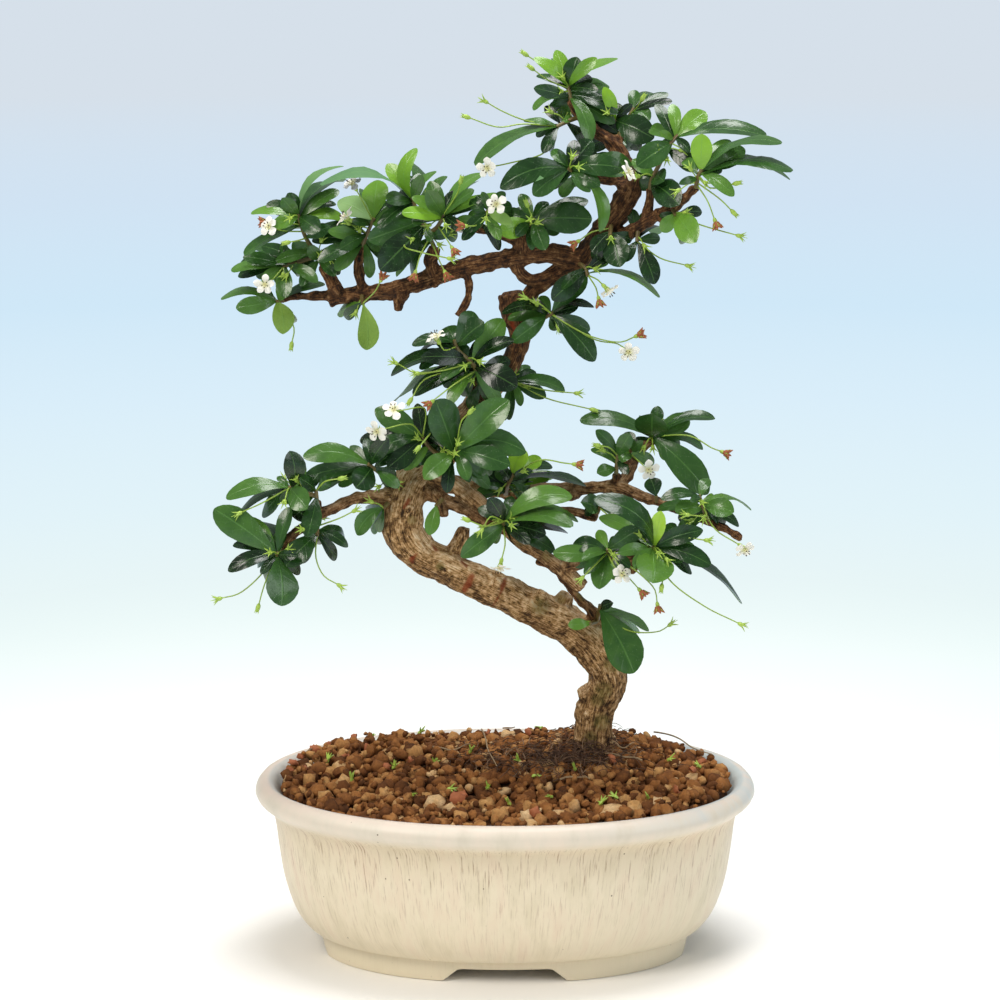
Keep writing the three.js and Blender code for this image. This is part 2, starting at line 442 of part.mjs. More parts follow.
// Leafy sprays. Each has a name, its green stems as lists of picture points with a depth, and its
// leaves: the pixel where the blade starts, the pixel of its tip, its width in the picture in
// pixels, how many millimetres the tip lies behind the stem, and how far it arches. Its stalks
// have a kind, open, side, dry, bud or cup, and picture points with a depth.
const SPRAYS = [
  ['apex', [[[573, 106, 6], [570, 97, 7], [568, 84, 9]]],
    [[566, 84, 534, 58, 12, -4, 0.16], [571, 80, 556, 50, 14, 6], [573, 80, 597, 58, 13, -6],
      [574, 80, 617, 58, 8, 9], [564, 88, 537, 75, 9, 8], [575, 85, 598, 91, 10, -10],
      [574, 84, 609, 86, 11, 12], [560, 98, 534, 87, 10, -8], [575, 98, 552, 105, 10, -10],
      [575, 98, 618, 113, 14, -8], [566, 104, 590, 142, 16, -13], [560, 112, 533, 110, 8, -6]],
    [['bud', [[566, 86, 9], [546, 68, 6], [528, 56, 4]]],
      ['bud', [[564, 90, 8], [548, 80, 4], [534, 70, 2]]]]],
  ['apex_left', [[[579, 117, 4], [566, 122, 0], [556, 127, -4]]],
    [[553, 130, 475, 165, 13, -12], [553, 132, 543, 153, 13, -8]],
    [['cup', [[556, 126, -4], [524, 120, -7], [500, 110, -9], [488, 103, -10]]],
      ['bud', [[556, 128, -4], [522, 124, -9], [498, 127, -11], [470, 118, -13]]],
      ['open', [[560, 128, -3], [545, 152, -10], [510, 163, -14], [490, 167, -17]]]]],
  ['crown_front', [[[590, 177, -12], [576, 173, -16], [568, 168, -20]]],
    [[568, 165, 575, 140, 14, 6], [572, 168, 623, 168, 22, -6, 0.2], [566, 165, 500, 187, 20, -6, 0.14],
      [567, 172, 533, 195, 18, -12], [567, 170, 530, 183, 8, 8], [572, 172, 590, 192, 15, -12]],
    [['open', [[575, 170, -17], [605, 172, -22], [624, 173, -24]]]]],
  ['crown_right', [
    [[650, 193, -10], [651, 183, -11], [660, 163, -10], [671, 143, -10], [678, 135, -10]]],
    [[650, 172, 665, 179, 16, -9], [650, 182, 679, 205, 28, -10], [650, 178, 632, 160, 14, 9],
      [677, 135, 706, 113, 18, 5], [675, 133, 672, 104, 13, 7], [680, 137, 767, 135, 12, -6, 0.16],
      [670, 132, 656, 104, 14, 9], [668, 142, 637, 165, 22, -10]],
    [['cup', [[668, 142, -10], [690, 152, -14], [705, 157, -16]]]]],
  ['crown_back', [[[617, 141, 4], [622, 128, 8], [634, 108, 10]], [[622, 128, 8], [614, 120, 8]]],
    [[612, 120, 652, 138, 24, -9], [640, 106, 668, 93, 10, 6], [642, 104, 672, 101, 8, -4]],
    [['bud', [[630, 114, 9], [638, 106, 6], [641, 101, 5]]]]],
  ['right_tip', [[[696, 188, -26], [698, 177, -27], [702, 169, -27]]],
    [[698, 171, 702, 134, 22, -4], [702, 170, 745, 150, 18, 7], [705, 165, 782, 142, 8, 12],
      [700, 176, 794, 169, 9, 2, 0.12], [704, 176, 792, 178, 12, 5], [704, 176, 734, 196, 14, -10]],
    [['bud', [[700, 178, -27], [710, 188, -31], [733, 184, -34]]],
      ['bud', [[699, 182, -27], [721, 200, -33], [731, 210, -34]]],
      ['dry', [[698, 184, -27], [708, 202, -33], [714, 218, -34]]]]],
  ['right_under', [[[673, 209, -20], [676, 216, -23]]],
    [[675, 213, 692, 232, 20, -8], [676, 216, 696, 242, 26, -12], [674, 214, 662, 232, 15, -5],
      [678, 214, 702, 212, 12, 8]],
    [['cup', [[677, 218, -24], [704, 226, -30], [736, 235, -34]]]]],
  ['crown_low', [[[611, 226, -6], [610, 236, -14]]],
    [[610, 232, 620, 267, 27, -8], [608, 232, 592, 252, 16, -6]],
    [['dry', [[609, 226, -8], [592, 232, -12], [580, 240, -13]]]]],
  ['crown_low_right', [[[638, 229, -9], [637, 242, -12]]],
    [[637, 246, 654, 284, 18, -6], [638, 240, 660, 238, 12, 9]],
    [['cup', [[638, 242, -12], [660, 258, -15], [685, 265, -16]]]]],
  ['pad_high', [[[324, 270, 18], [318, 256, 17], [306, 238, 14], [297, 212, 10]],
    [[318, 256, 17], [298, 262, 18], [282, 267, 18]]],
    [[290, 215, 251, 213, 10, 3, 0.14], [297, 210, 345, 166, 8, 6, 0.22], [303, 212, 336, 204, 9, 6],
      [297, 213, 320, 231, 20, -9], [300, 213, 345, 219, 13, -3], [296, 214, 272, 226, 14, -8],
      [316, 256, 346, 249, 14, -6], [316, 262, 336, 276, 12, -10], [300, 262, 262, 246, 14, 8],
      [281, 262, 243, 257, 13, -3], [285, 268, 245, 267, 9, 8], [281, 268, 231, 270, 11, -2],
      [283, 266, 247, 248, 8, 10], [282, 270, 285, 298, 17, -9], [286, 268, 318, 282, 13, -9]],
    [['side', [[300, 232, 12], [284, 231, 8], [276, 229, 6]]],
      ['bud', [[304, 236, 13], [300, 240, 6], [290, 242, 4]]],
      ['open', [[284, 268, 16], [272, 280, 8], [266, 284, 4]]],
      ['dry', [[298, 224, 11], [280, 222, 6], [270, 222, 5]]]]],
  ['pad_middle', [[[361, 249, 12], [367, 234, 10], [374, 218, 8]]],
    [[370, 215, 338, 201, 22, 3], [376, 220, 375, 179, 24, 8], [368, 233, 311, 232, 9, 3, 0.12],
      [366, 234, 340, 249, 14, -9], [372, 222, 398, 232, 12, -8], [374, 218, 392, 202, 13, 10]],
    [['side', [[372, 220, 8], [362, 200, 3], [357, 191, 2]]],
      ['side', [[368, 228, 9], [361, 226, 4], [354, 222, 3]]]]],
  ['pad_end', [[[284, 300, 22], [276, 302, 21]]],
    [[274, 300, 236, 308, 18, -5], [278, 303, 283, 334, 22, -9], [272, 298, 221, 298, 9, 3, 0.2]],
    [['bud', [[276, 304, 21], [294, 328, 14], [292, 342, 12]]]]],
  ['pad_hanging', [[[362, 296, 12], [363, 304, 8]]],
    [[363, 304, 367, 350, 22, -4], [363, 302, 345, 318, 12, 8]],
    [['dry', [[364, 303, 8], [376, 290, -1], [380, 282, -3]]]]],
  ['centre_top', [[[435, 249, 0], [428, 234, 0], [420, 216, 1], [411, 198, 2]],
    [[428, 234, 0], [438, 226, -4], [444, 214, -6]]],
    [[407, 193, 387, 165, 12, 5], [411, 197, 416, 148, 16, 6], [415, 193, 436, 171, 7, 4],
      [413, 195, 422, 175, 13, -9], [405, 197, 318, 185, 8, 3, 0.16], [416, 200, 378, 228, 12, -8],
      [440, 216, 408, 200, 12, -7, 0.16], [445, 216, 502, 197, 11, -4], [441, 212, 427, 190, 18, -8],
      [446, 208, 482, 173, 12, 8], [447, 208, 474, 190, 10, -6], [440, 215, 402, 213, 14, -12],
      [442, 221, 412, 223, 8, -16], [424, 224, 380, 270, 32, -10], [446, 214, 464, 232, 12, -10],
      [422, 214, 446, 176, 12, 14]],
    [['dry', [[438, 226, -4], [446, 238, -12], [451, 246, -14]]],
      ['cup', [[426, 230, 0], [404, 246, -8], [420, 252, -13], [447, 258, -16]]],
      ['dry', [[430, 236, 0], [420, 256, -10], [416, 270, -12]]],
      ['bud', [[445, 210, -6], [458, 192, -10], [460, 184, -11]]],
      ['dry', [[432, 240, 0], [440, 262, -10], [444, 270, -12]]]]],
  ['centre_mid', [[[478, 229, -11], [484, 218, -13], [489, 209, -14]]],
    [[490, 214, 512, 224, 12, -8], [486, 216, 500, 240, 12, -8]],
    [['open', [[490, 210, -14], [496, 207, -19], [497, 205, -22]]],
      ['dry', [[484, 222, -13], [474, 226, -20], [468, 226, -21]]]]],
  ['centre_knob', [[[521, 238, -6], [527, 228, -8], [534, 218, -9]]],
    [[529, 223, 499, 232, 20, -8], [536, 214, 504, 213, 14, 4], [537, 219, 545, 250, 15, -8],
      [531, 224, 560, 232, 14, 8], [528, 226, 532, 250, 12, -10]],
    [['bud', [[534, 218, -9], [530, 212, -14], [528, 207, -15]]]]],
  ['leader_right', [[[577, 262, -3], [585, 268, -9], [588, 276, -12]]],
    [[586, 274, 660, 297, 8, -4, 0.14], [586, 270, 614, 251, 14, 8], [584, 268, 562, 290, 10, -10]],
    [['side', [[588, 276, -12], [598, 280, -16], [602, 284, -17]]],
      ['dry', [[588, 278, -12], [596, 288, -15], [598, 296, -16]]]]],
  ['stump_side', [[[524, 324, 3], [540, 320, -4], [553, 313, -8]]],
    [[553, 308, 585, 273, 20, 5], [548, 314, 502, 313, 11, -4, 0.2], [549, 317, 512, 342, 19, -8, 0.2],
      [558, 312, 594, 307, 8, -4, 0.16], [555, 317, 584, 364, 20, -6, 0.22],
      [558, 312, 576, 296, 14, 10]],
    [['cup', [[553, 310, -8], [540, 304, -13], [528, 299, -15]]],
      ['dry', [[555, 316, -8], [590, 336, -16], [621, 342, -20], [634, 337, -21]]],
      ['open', [[556, 318, -8], [596, 340, -15], [618, 344, -19], [627, 350, -21]]]]],
  ['middle_left', [[[484, 386, 0], [478, 374, -9], [472, 363, -14], [458, 350, -16], [454, 340, -17]]],
    [[475, 362, 503, 319, 25, 6], [478, 357, 514, 340, 14, -4], [470, 370, 517, 387, 27, -8],
      [468, 363, 421, 357, 18, -8], [466, 364, 391, 375, 14, 6], [462, 370, 413, 395, 17, -10],
      [464, 368, 393, 402, 8, 12], [470, 371, 449, 405, 14, -12], [462, 350, 446, 327, 20, 6, 0.2],
      [452, 342, 412, 345, 12, -4, 0.14], [458, 346, 484, 322, 22, -4], [470, 362, 440, 380, 12, 12],
      [474, 370, 492, 402, 14, 6]],
    [['side', [[456, 346, -16], [444, 350, -24], [440, 344, -26]]],
      ['cup', [[466, 366, -14], [440, 371, -24], [420, 373, -27]]],
      ['dry', [[472, 372, -12], [452, 386, -26], [434, 400, -29]]],
      ['bud', [[466, 368, -14], [424, 380, -22], [412, 398, -26]]],
      ['cup', [[464, 364, -14], [420, 374, -21], [398, 364, -24]]]]],
  ['middle_right', [[[505, 378, 8], [513, 382, 10]]],
    [[514, 378, 565, 391, 14, 7, 0.12], [514, 384, 546, 397, 15, -3], [510, 386, 509, 420, 12, -2],
      [512, 378, 530, 366, 10, 9]],
    [['cup', [[515, 382, 10], [545, 390, 5], [574, 393, 3]]],
      ['bud', [[513, 386, 10], [546, 398, 6], [590, 409, 3]]]]],
  ['middle_low', [[[436, 463, -3], [444, 458, -14], [452, 456, -19], [457, 450, -21]],
    [[444, 458, -14], [430, 448, -15], [422, 436, -16]]],
    [[457, 450, 509, 400, 32, -6], [451, 449, 436, 400, 34, -9], [452, 454, 424, 479, 22, -8, 0.14],
      [461, 454, 510, 465, 24, -9], [460, 448, 524, 452, 22, 9, 0.2], [420, 432, 375, 409, 24, 3],
      [420, 434, 370, 455, 17, -5, 0.16], [420, 438, 388, 468, 24, -11], [422, 440, 360, 440, 20, 9],
      [428, 446, 404, 470, 13, -4], [458, 452, 468, 480, 15, -8], [456, 450, 470, 418, 16, 10],
      [424, 436, 440, 412, 14, 9], [458, 454, 484, 478, 13, 4]],
    [['open', [[420, 434, -16], [424, 408, -26], [404, 410, -31], [396, 411, -33]]],
      ['open', [[420, 438, -16], [410, 424, -26], [388, 428, -29], [380, 430, -31]]],
      ['bud', [[424, 440, -16], [430, 434, -28], [420, 446, -33]]],
      ['bud', [[458, 448, -21], [462, 420, -30], [468, 414, -31]]]]],
  ['left_upper', [[[317, 503, -28], [316, 490, -29]],
    [[316, 496, -28], [300, 491, -29], [288, 487, -30]]],
    [[282, 487, 226, 498, 17, -4, 0.12], [294, 481, 290, 451, 22, -5], [292, 484, 307, 509, 24, -10],
      [284, 490, 238, 513, 9, 8], [317, 496, 307, 537, 20, -8], [290, 486, 272, 500, 12, 9],
      [302, 492, 296, 470, 11, 9]],
    [['cup', [[284, 490, -30], [262, 503, -36], [242, 512, -38]]],
      ['bud', [[318, 488, -29], [326, 481, -34], [338, 479, -35]]]]],
  ['left_inner', [[[395, 485, -5], [380, 473, -17], [368, 464, -22]]],
    [[364, 461, 303, 456, 22, -4, 0.12], [364, 466, 303, 478, 18, 2], [366, 468, 318, 489, 14, 10],
      [372, 464, 356, 488, 26, -10], [374, 458, 388, 438, 18, -5], [376, 470, 398, 488, 12, -14]],
    []],
  ['left_low', [[[318, 519, -26], [317, 536, -30]]],
    [[316, 539, 286, 566, 24, -8], [321, 530, 348, 547, 11, -3], [317, 538, 296, 562, 18, 8],
      [317, 534, 336, 560, 12, 8], [316, 530, 290, 507, 18, 4]],
    [['cup', [[316, 540, -30], [316, 558, -33], [324, 576, -34], [337, 584, -35]]],
      ['cup', [[318, 526, -28], [340, 518, -33], [352, 512, -34]]]]],
  ['left_end', [[[281, 549, -33], [276, 556, -36]]],
    [[266, 550, 215, 511, 24, -3], [275, 556, 246, 517, 15, 5], [276, 562, 292, 607, 34, -9],
      [262, 552, 228, 571, 16, -6], [268, 553, 233, 545, 12, 5], [278, 552, 282, 530, 13, 8],
      [278, 560, 300, 574, 12, 8]],
    [['cup', [[272, 562, -36], [256, 580, -40], [238, 594, -42], [222, 598, -43]]],
      ['bud', [[272, 564, -36], [264, 586, -41], [259, 604, -42]]]]],
  ['bend_low', [[[388, 503, -14], [383, 508, -17]]],
    [[384, 507, 357, 536, 20, -4], [384, 508, 378, 532, 10, 8]],
    []],
  ['right_high', [[[653, 443, 6], [652, 436, 4]]],
    [[650, 430, 580, 420, 16, -3, 0.1], [652, 440, 652, 414, 34, -7], [654, 432, 658, 406, 14, 8],
      [660, 431, 715, 418, 12, 3, 0.1], [658, 434, 708, 494, 30, -9], [660, 436, 703, 448, 12, 8],
      [654, 438, 668, 460, 14, 9]],
    [['dry', [[658, 434, 4], [690, 436, -3], [712, 448, -6], [720, 451, -7]]]]],
  ['right_twig', [[[616, 475, -6], [617, 462, -7], [618, 452, -8]]],
    [[619, 452, 596, 430, 11, -3], [616, 464, 591, 449, 9, 4], [619, 456, 632, 434, 12, -7]],
    [['bud', [[617, 456, -8], [608, 447, -13], [601, 446, -14]]]]],
  ['right_inner', [[[628, 455, -3], [632, 449, -6]]],
    [[634, 454, 654, 464, 13, 10]],
    [['open', [[634, 456, -6], [642, 464, -12], [646, 468, -15]]]]],
  ['right_heart', [[[657, 502, -16], [656, 496, -17]]],
    [[656, 496, 650, 478, 18, -3]],
    []],
  ['right_outer', [[[708, 520, -27], [704, 510, -30], [699, 495, -31]]],
    [[694, 492, 661, 499, 12, -4, 0.18], [706, 506, 734, 512, 20, -7], [700, 508, 675, 511, 17, -6],
      [703, 504, 751, 509, 6, 7, 0.12], [708, 512, 739, 526, 10, 3], [702, 514, 678, 531, 14, 4],
      [702, 512, 657, 509, 12, 14]],
    [['side', [[704, 512, -30], [716, 530, -38], [738, 544, -41]]],
      ['cup', [[704, 508, -30], [706, 516, -37], [690, 515, -38]]]]],
  ['inner_stub', [[[597, 513, -8], [600, 507, -9]]],
    [[598, 509, 581, 502, 18, -7], [602, 508, 629, 513, 15, -5]],
    [['cup', [[600, 508, -9], [612, 517, -15], [627, 519, -16]]]]],
  ['low_right', [[[646, 552, -32], [655, 546, -35]]],
    [[658, 544, 661, 511, 16, -5], [653, 544, 594, 499, 20, -8, 0.22], [654, 548, 653, 583, 38, -12],
      [662, 544, 703, 530, 19, -4], [664, 550, 711, 565, 19, -8], [660, 554, 742, 603, 10, 5, 0.12],
      [650, 548, 618, 553, 13, -7], [656, 544, 696, 548, 13, 9], [652, 546, 634, 568, 14, 8]],
    [['bud', [[656, 552, -35], [664, 568, -40], [662, 584, -43]]],
      ['cup', [[658, 552, -35], [668, 578, -41], [704, 606, -43], [738, 623, -44]]],
      ['cup', [[660, 546, -35], [684, 538, -40], [704, 540, -41]]]]],
  ['low_middle', [[[607, 555, -27], [608, 549, -30]]],
    [[612, 548, 641, 528, 17, -4, 0.12], [610, 548, 644, 544, 12, 8], [606, 548, 573, 544, 17, 2, 0.18],
      [602, 554, 553, 553, 18, -5], [606, 554, 599, 589, 22, -7], [604, 553, 582, 560, 10, -13],
      [608, 552, 630, 568, 13, -6], [606, 548, 598, 530, 12, 10], [604, 552, 584, 574, 12, 9]],
    [['dry', [[610, 550, -30], [624, 572, -37], [638, 588, -39]]],
      ['open', [[608, 553, -30], [614, 566, -37], [620, 574, -39]]],
      ['dry', [[611, 552, -30], [640, 574, -36], [655, 590, -37], [657, 602, -38]]],
      ['cup', [[605, 552, -30], [594, 566, -38], [584, 576, -39]]]]],
  ['trunk_shoot', [[[597, 621, 5], [599, 612, -3], [600, 605, -6]], [[597, 621, 5], [590, 624, -4]]],
    [[600, 608, 634, 673, 38, -10], [602, 610, 649, 630, 9, 5]],
    [['cup', [[601, 612, -5], [630, 631, -10], [660, 631, -12], [668, 626, -12]]]]],
  ['centre_low', [[[503, 529, -17], [504, 521, -23]]],
    [[509, 515, 572, 496, 22, -4, 0.12], [510, 518, 578, 522, 14, 6], [510, 520, 573, 528, 18, -5],
      [510, 524, 546, 534, 17, -9], [503, 519, 491, 498, 15, -5], [500, 522, 461, 557, 21, -7],
      [502, 518, 478, 508, 13, 8], [506, 524, 530, 544, 13, 8]],
    [['cup', [[502, 519, -23], [490, 517, -30], [483, 528, -32]]],
      ['side', [[505, 526, -23], [505, 545, -29], [502, 558, -31]]],
      ['bud', [[500, 520, -23], [484, 526, -32], [470, 521, -34]]]]],
  ['young_shoot', [[[506, 494, 0], [508, 484, -8], [514, 474, -12]]],
    [[515, 472, 524, 449, 17, -4], [508, 488, 544, 475, 11, 4], [512, 476, 541, 458, 15, 9],
      [510, 484, 586, 486, 8, 10, 0.12], [506, 488, 471, 465, 18, 3], [506, 490, 476, 492, 10, -5],
      [508, 484, 490, 470, 12, 12]],
    [['dry', [[514, 476, -12], [540, 460, -17], [564, 463, -19], [572, 464, -19]]]]],
  ['limb_leaf', [[[442, 499, -11], [436, 506, -15]]],
    [[437, 506, 429, 535, 15, -4]],
    []],
];

// A blade is widest past its middle and blunt at its tip, half its width at t from root to tip
const bladeHalf = (t) => Math.max(0, Math.sin(Math.PI * t ** 1.55)) ** 0.75;
const BLADE_FOLD = 0.1;
const DEFAULT_ARCH = 0.07;
const LONG_LEAF = 20;
const NECK_RIB = 1.2;
const DEPTH_TRIES = [0, 5, -5, 10, -10, 15, -15, 20, -20];
const LONG_STATIONS = [0, 0.3, 0.62, 0.87, 1];
const SHORT_STATIONS = [0, 0.4, 0.78, 1];
const TEST_STATIONS = [0.04, 0.28, 0.45, 0.7, 0.9, 1];
const OUTER_STATIONS = [0.28, 0.45, 0.7, 0.9, 1];
const still = () => 0;

// The blade's own directions: it shows the picture's width to the eye and turns its upper side up
function bladeFrame(root, tip, pixels) {
  const along = tip.clone().sub(root);
  const length = along.length();
  along.normalize();
  const middle = root.clone().lerp(tip, 0.5);
  const sight = middle.clone().sub(EYE).normalize();
  const across = new THREE.Vector3().crossVectors(along, sight).normalize();
  const facing = new THREE.Vector3().crossVectors(along, across);
  const shown = pixels * millimetresPerPixel(middle);
  const width = Math.max(shown, LEAF_SLENDER * length);
  const cosine = shown / width;
  const sine = Math.sqrt(1 - cosine * cosine) * (across.z > 0 ? 1 : -1);
  const side = across.clone().multiplyScalar(cosine).addScaledVector(facing, -sine);
  const normal = facing.clone().multiplyScalar(cosine).addScaledVector(across, sine);
  return { root, along, length, width, side, normal };
}

// A thin arched blade: it starts at a point in the stem, and each section has its two edges and
// the rib that stands out of its underside, deeper near the stem
function blade(frame, arch, stations, extra) {
  const { root, along, length, width, side, normal } = frame;
  const centreAt = (t) => root.clone().addScaledVector(along, length * t)
    .addScaledVector(normal, arch * length * 4 * t * (1 - t));
  const rings = stations.map((t) => {
    const centre = centreAt(t);
    if (t <= 0) return [centre];
    if (t >= 1) return [centre.addScaledVector(along, extra)];
    const half = width / 2 * bladeHalf(t) + extra;
    const rib = (t < 0.5 ? NECK_RIB : LEAF_THICKNESS) + extra;
    const edge = centre.clone().addScaledVector(normal, BLADE_FOLD * half + extra);
    return [
      edge.clone().addScaledVector(side, half),
      edge.clone().addScaledVector(side, -half),
      centre.clone().addScaledVector(normal, -rib),
    ];
  });
  return solidOf(skin(rings));
}

// Seats are picture points with a depth along a spray's stems, those that lie outside the wood.
// The seat nearest to a pixel is taken, where each one already taken counts as a little further.
const STEM_SEATS = 12;
const LAST_SEAT = 0.94;
const SEAT_TAKEN = 1;
function seatsOnStems(stems, fatWood) {
  const seats = [];
  for (const stem of stems) {
    for (let k = 0; k <= STEM_SEATS; k++) {
      const at = Math.min(LAST_SEAT, k / STEM_SEATS) * (stem.length - 1);
      const i = Math.floor(at);
      const point = stem[i].map((value, axis) => value + (stem[i + 1][axis] - value) * (at - i));
      const probe = new THREE.BoxGeometry(1, 1, 1).translate(...spot(point));
      if (solidOf(probe).intersect(fatWood).volume() < SLIVER) seats.push({ point, taken: 0 });
    }
  }
  return seats;
}

function nearestSeat(spray, px, py) {
  const cost = (seat) => Math.hypot(seat.point[0] - px, seat.point[1] - py) + SEAT_TAKEN * seat.taken;
  const seat = spray.seats.reduce((best, other) => (cost(other) < cost(best) ? other : best));
  seat.taken += 1;
  return seat.point;
}

// One leaf in eight has a mate behind it, a little shorter and turned, that fills the plant's back
const MATE_EVERY = 8;
const MATE_DEPTH = 17;
const MATE_WIDTH = 12;
function matesOf(leaves, random) {
  const mates = [];
  leaves.forEach(([bx, by, tx, ty, width, behind], i) => {
    if (i % MATE_EVERY !== 1) return;
    const turn = (random() - 0.5) * 0.6;
    const reach = 0.72 + 0.16 * random();
    const dx = (tx - bx) * reach;
    const dy = (ty - by) * reach;
    mates.push([bx, by, bx + dx * Math.cos(turn) - dy * Math.sin(turn),
      by + dx * Math.sin(turn) + dy * Math.cos(turn), Math.max(MATE_WIDTH, width * 0.9),
      Math.max(behind, 0) + MATE_DEPTH + 5 * random()]);
  });
  return mates;
}

const PETALS = 5;
const PETAL_CORNERS = [0, 0.31, 0.69];
const NOTCH_HEIGHT = 1.3;
const TIP_HEIGHT = 1.9;
const THROAT_HEIGHT = 1.4;

// A shallow five-petalled star. Three points of its rim belong to each petal: the notch beside it
// and the two corners of its blunt tip.
function makeCorolla(seat, facing, size) {
  const across = new THREE.Vector3(0.3, 0.2, 1).cross(facing).normalize();
  const up = new THREE.Vector3().crossVectors(facing, across);
  const rim = [];
  for (let k = 0; k < 3 * PETALS; k++) {
    const isNotch = k % 3 === 0;
    const turn = 2 * Math.PI * (Math.floor(k / 3) + PETAL_CORNERS[k % 3]) / PETALS;
    const radius = (isNotch ? PETAL_WIDTH / 2 : PETAL_LENGTH) * size;
    rim.push(seat.clone().addScaledVector(facing, (isNotch ? NOTCH_HEIGHT : TIP_HEIGHT) * size)
      .addScaledVector(across, radius * Math.cos(turn)).addScaledVector(up, radius * Math.sin(turn)));
  }
  return solidOf(skin([[seat], rim, [seat.clone().addScaledVector(facing, THROAT_HEIGHT * size)]]));
}

const sprays = [];
const obstacles = [];

function boxesMeet(a, b) {
  for (let k = 0; k < 3; k++) {
    if (a.min[k] > b.max[k] || b.min[k] > a.max[k]) return false;
  }
  return true;
}

// Whether a solid crosses one of the obstacles that the test picks
function crosses(solid, picks) {
  const box = solid.boundingBox();
  return obstacles.some((other) => picks(other) && boxesMeet(box, other.box)
    && solid.intersect(other.solid).volume() > SLIVER);
}

// Whether a solid clears every other spray, stays within the crown's depth and, where the wood is
// given, clears the wood
function isClear(solid, owner, fatWood) {
  const box = solid.boundingBox();
  if (box.min[1] < -CANOPY_HALF_DEPTH || box.max[1] > CANOPY_HALF_DEPTH) return false;
  if (crosses(solid, (other) => other.owner !== owner)) return false;
  return !fatWood || solid.intersect(fatWood).volume() < SLIVER;
}

function keep(spray, solid, isBlade = false) {
  spray.solids.push(solid);
  obstacles.push({ owner: spray.name, solid, box: solid.boundingBox(), isBlade });
}

// What a stalk ends in, as pairs of a distance past its last point and a radius. An open flower
// sits on a cup, and a dried one is a narrow trumpet.
const CUP_LENGTH = 2.6;
const CUP_END = [[CUP_LENGTH * 0.3, 1.1], [CUP_LENGTH, 1.6]];
const STALK_ENDS = {
  bud: [[1, 1.4], [4, 0.5]],
  dry: [[CUP_LENGTH * 0.3, 1.1], [CUP_LENGTH, 1.2], [CUP_LENGTH * 2, 2.3]],
};

// A stalk with what it ends in, moved to the first depth at which it clears the other sprays
function addStalk(spray, kind, rows, fatWood) {
  const ending = STALK_ENDS[kind] ?? CUP_END;
  const foot = nearestSeat(spray, ...rows[0]);
  for (const shift of DEPTH_TRIES) {
    const points = rows.map(([px, py, depth], i) => spot(i ? [px, py, depth + shift] : foot));
    const end = points[points.length - 1];
    const run = end.clone().sub(points[points.length - 2]).normalize();
    const toEye = EYE.clone().sub(end).normalize();
    const facing = kind === 'open' ? toEye.addScaledVector(run, 0.35).normalize() : run;
    const head = ending.map(([reach]) => end.clone().addScaledVector(facing, reach));
    const headRadii = ending.map(([, radius]) => radius);
    const stalkRadii = points.map(() => STALK_RADIUS);
    const free = points.length > 2 ? points.slice(1) : points;
    const freeRadii = free.map(() => STALK_RADIUS);
    if (!isClear(limb(points, stalkRadii, 4, WHOLE_SPAN, still, CLEARANCE), spray.name, null)) continue;
    if (!isClear(limb(free, freeRadii, 4, WHOLE_SPAN, still, CLEARANCE), spray.name, fatWood)) continue;
    if (!isClear(limb(head, headRadii, 4, WHOLE_SPAN, still, CLEARANCE), spray.name, fatWood)) continue;
    const hasPetals = kind === 'open' || kind === 'side';
    const seat = end.clone().addScaledVector(facing, CUP_LENGTH + CLEARANCE);
    if (hasPetals && !isClear(makeCorolla(seat, facing, 1.15), spray.name, fatWood)) continue;
    keep(spray, limb([...points, ...head], [...stalkRadii, ...headRadii], 3, WHOLE_SPAN, still, 0));
    if (hasPetals) {
      const corolla = makeCorolla(seat, facing, 1);
      spray.blooms.push(corolla);
      obstacles.push({ owner: 'bloom', solid: corolla, box: corolla.boundingBox() });
    }
    return;
  }
}

// A leaf is moved in depth until it clears the rest. Where no depth does, it may cross its own spray.
function addLeaf(spray, row, fatWood, isMate) {
  const [bx, by, tx, ty, pixels, behind, arch = DEFAULT_ARCH] = row;
  const foot = nearestSeat(spray, bx, by);
  const root = spot(foot);
  for (const alone of isMate ? [true] : [true, false]) {
    for (const shift of DEPTH_TRIES) {
      const tip = spot([tx, ty, foot[2] + behind + shift]);
      const frame = bladeFrame(root, tip, pixels);
      const outer = blade(frame, arch, OUTER_STATIONS, CLEARANCE);
      if (!isClear(blade(frame, arch, TEST_STATIONS, CLEARANCE), spray.name, null)) continue;
      if (outer.intersect(fatWood).volume() > SLIVER) continue;
      if (alone && crosses(outer, (other) => other.owner === spray.name && other.isBlade)) continue;
      const leaf = blade(frame, arch, frame.length > LONG_LEAF ? LONG_STATIONS : SHORT_STATIONS, 0);
      if (leaf.intersect(fatWood).volume() > SLIVER) continue;
      keep(spray, leaf, true);
      return;
    }
  }
}

function makeSprays(fatWood) {
  for (const [name, stems, leaves, stalks] of SPRAYS) {
    const seats = seatsOnStems(stems, fatWood);
    const spray = { name, seats, leaves, stalks, solids: [], blooms: [] };
    for (const stem of stems) {
      const radii = stem.map((point, i) => STEM_RADIUS * (1 - 0.2 * i / (stem.length - 1)));
      keep(spray, limb(stem.map(spot), radii, 3, WHOLE_SPAN, still, 0));
    }
    sprays.push(spray);
  }
  for (const spray of sprays) {
    for (const [kind, rows] of spray.stalks) addStalk(spray, kind, rows, fatWood);
  }
  for (const spray of sprays) {
    for (const row of spray.leaves) addLeaf(spray, row, fatWood, false);
  }
  const random = seeded(11);
  for (const spray of sprays) {
    for (const row of matesOf(spray.leaves, random)) addLeaf(spray, row, fatWood, true);
  }
}

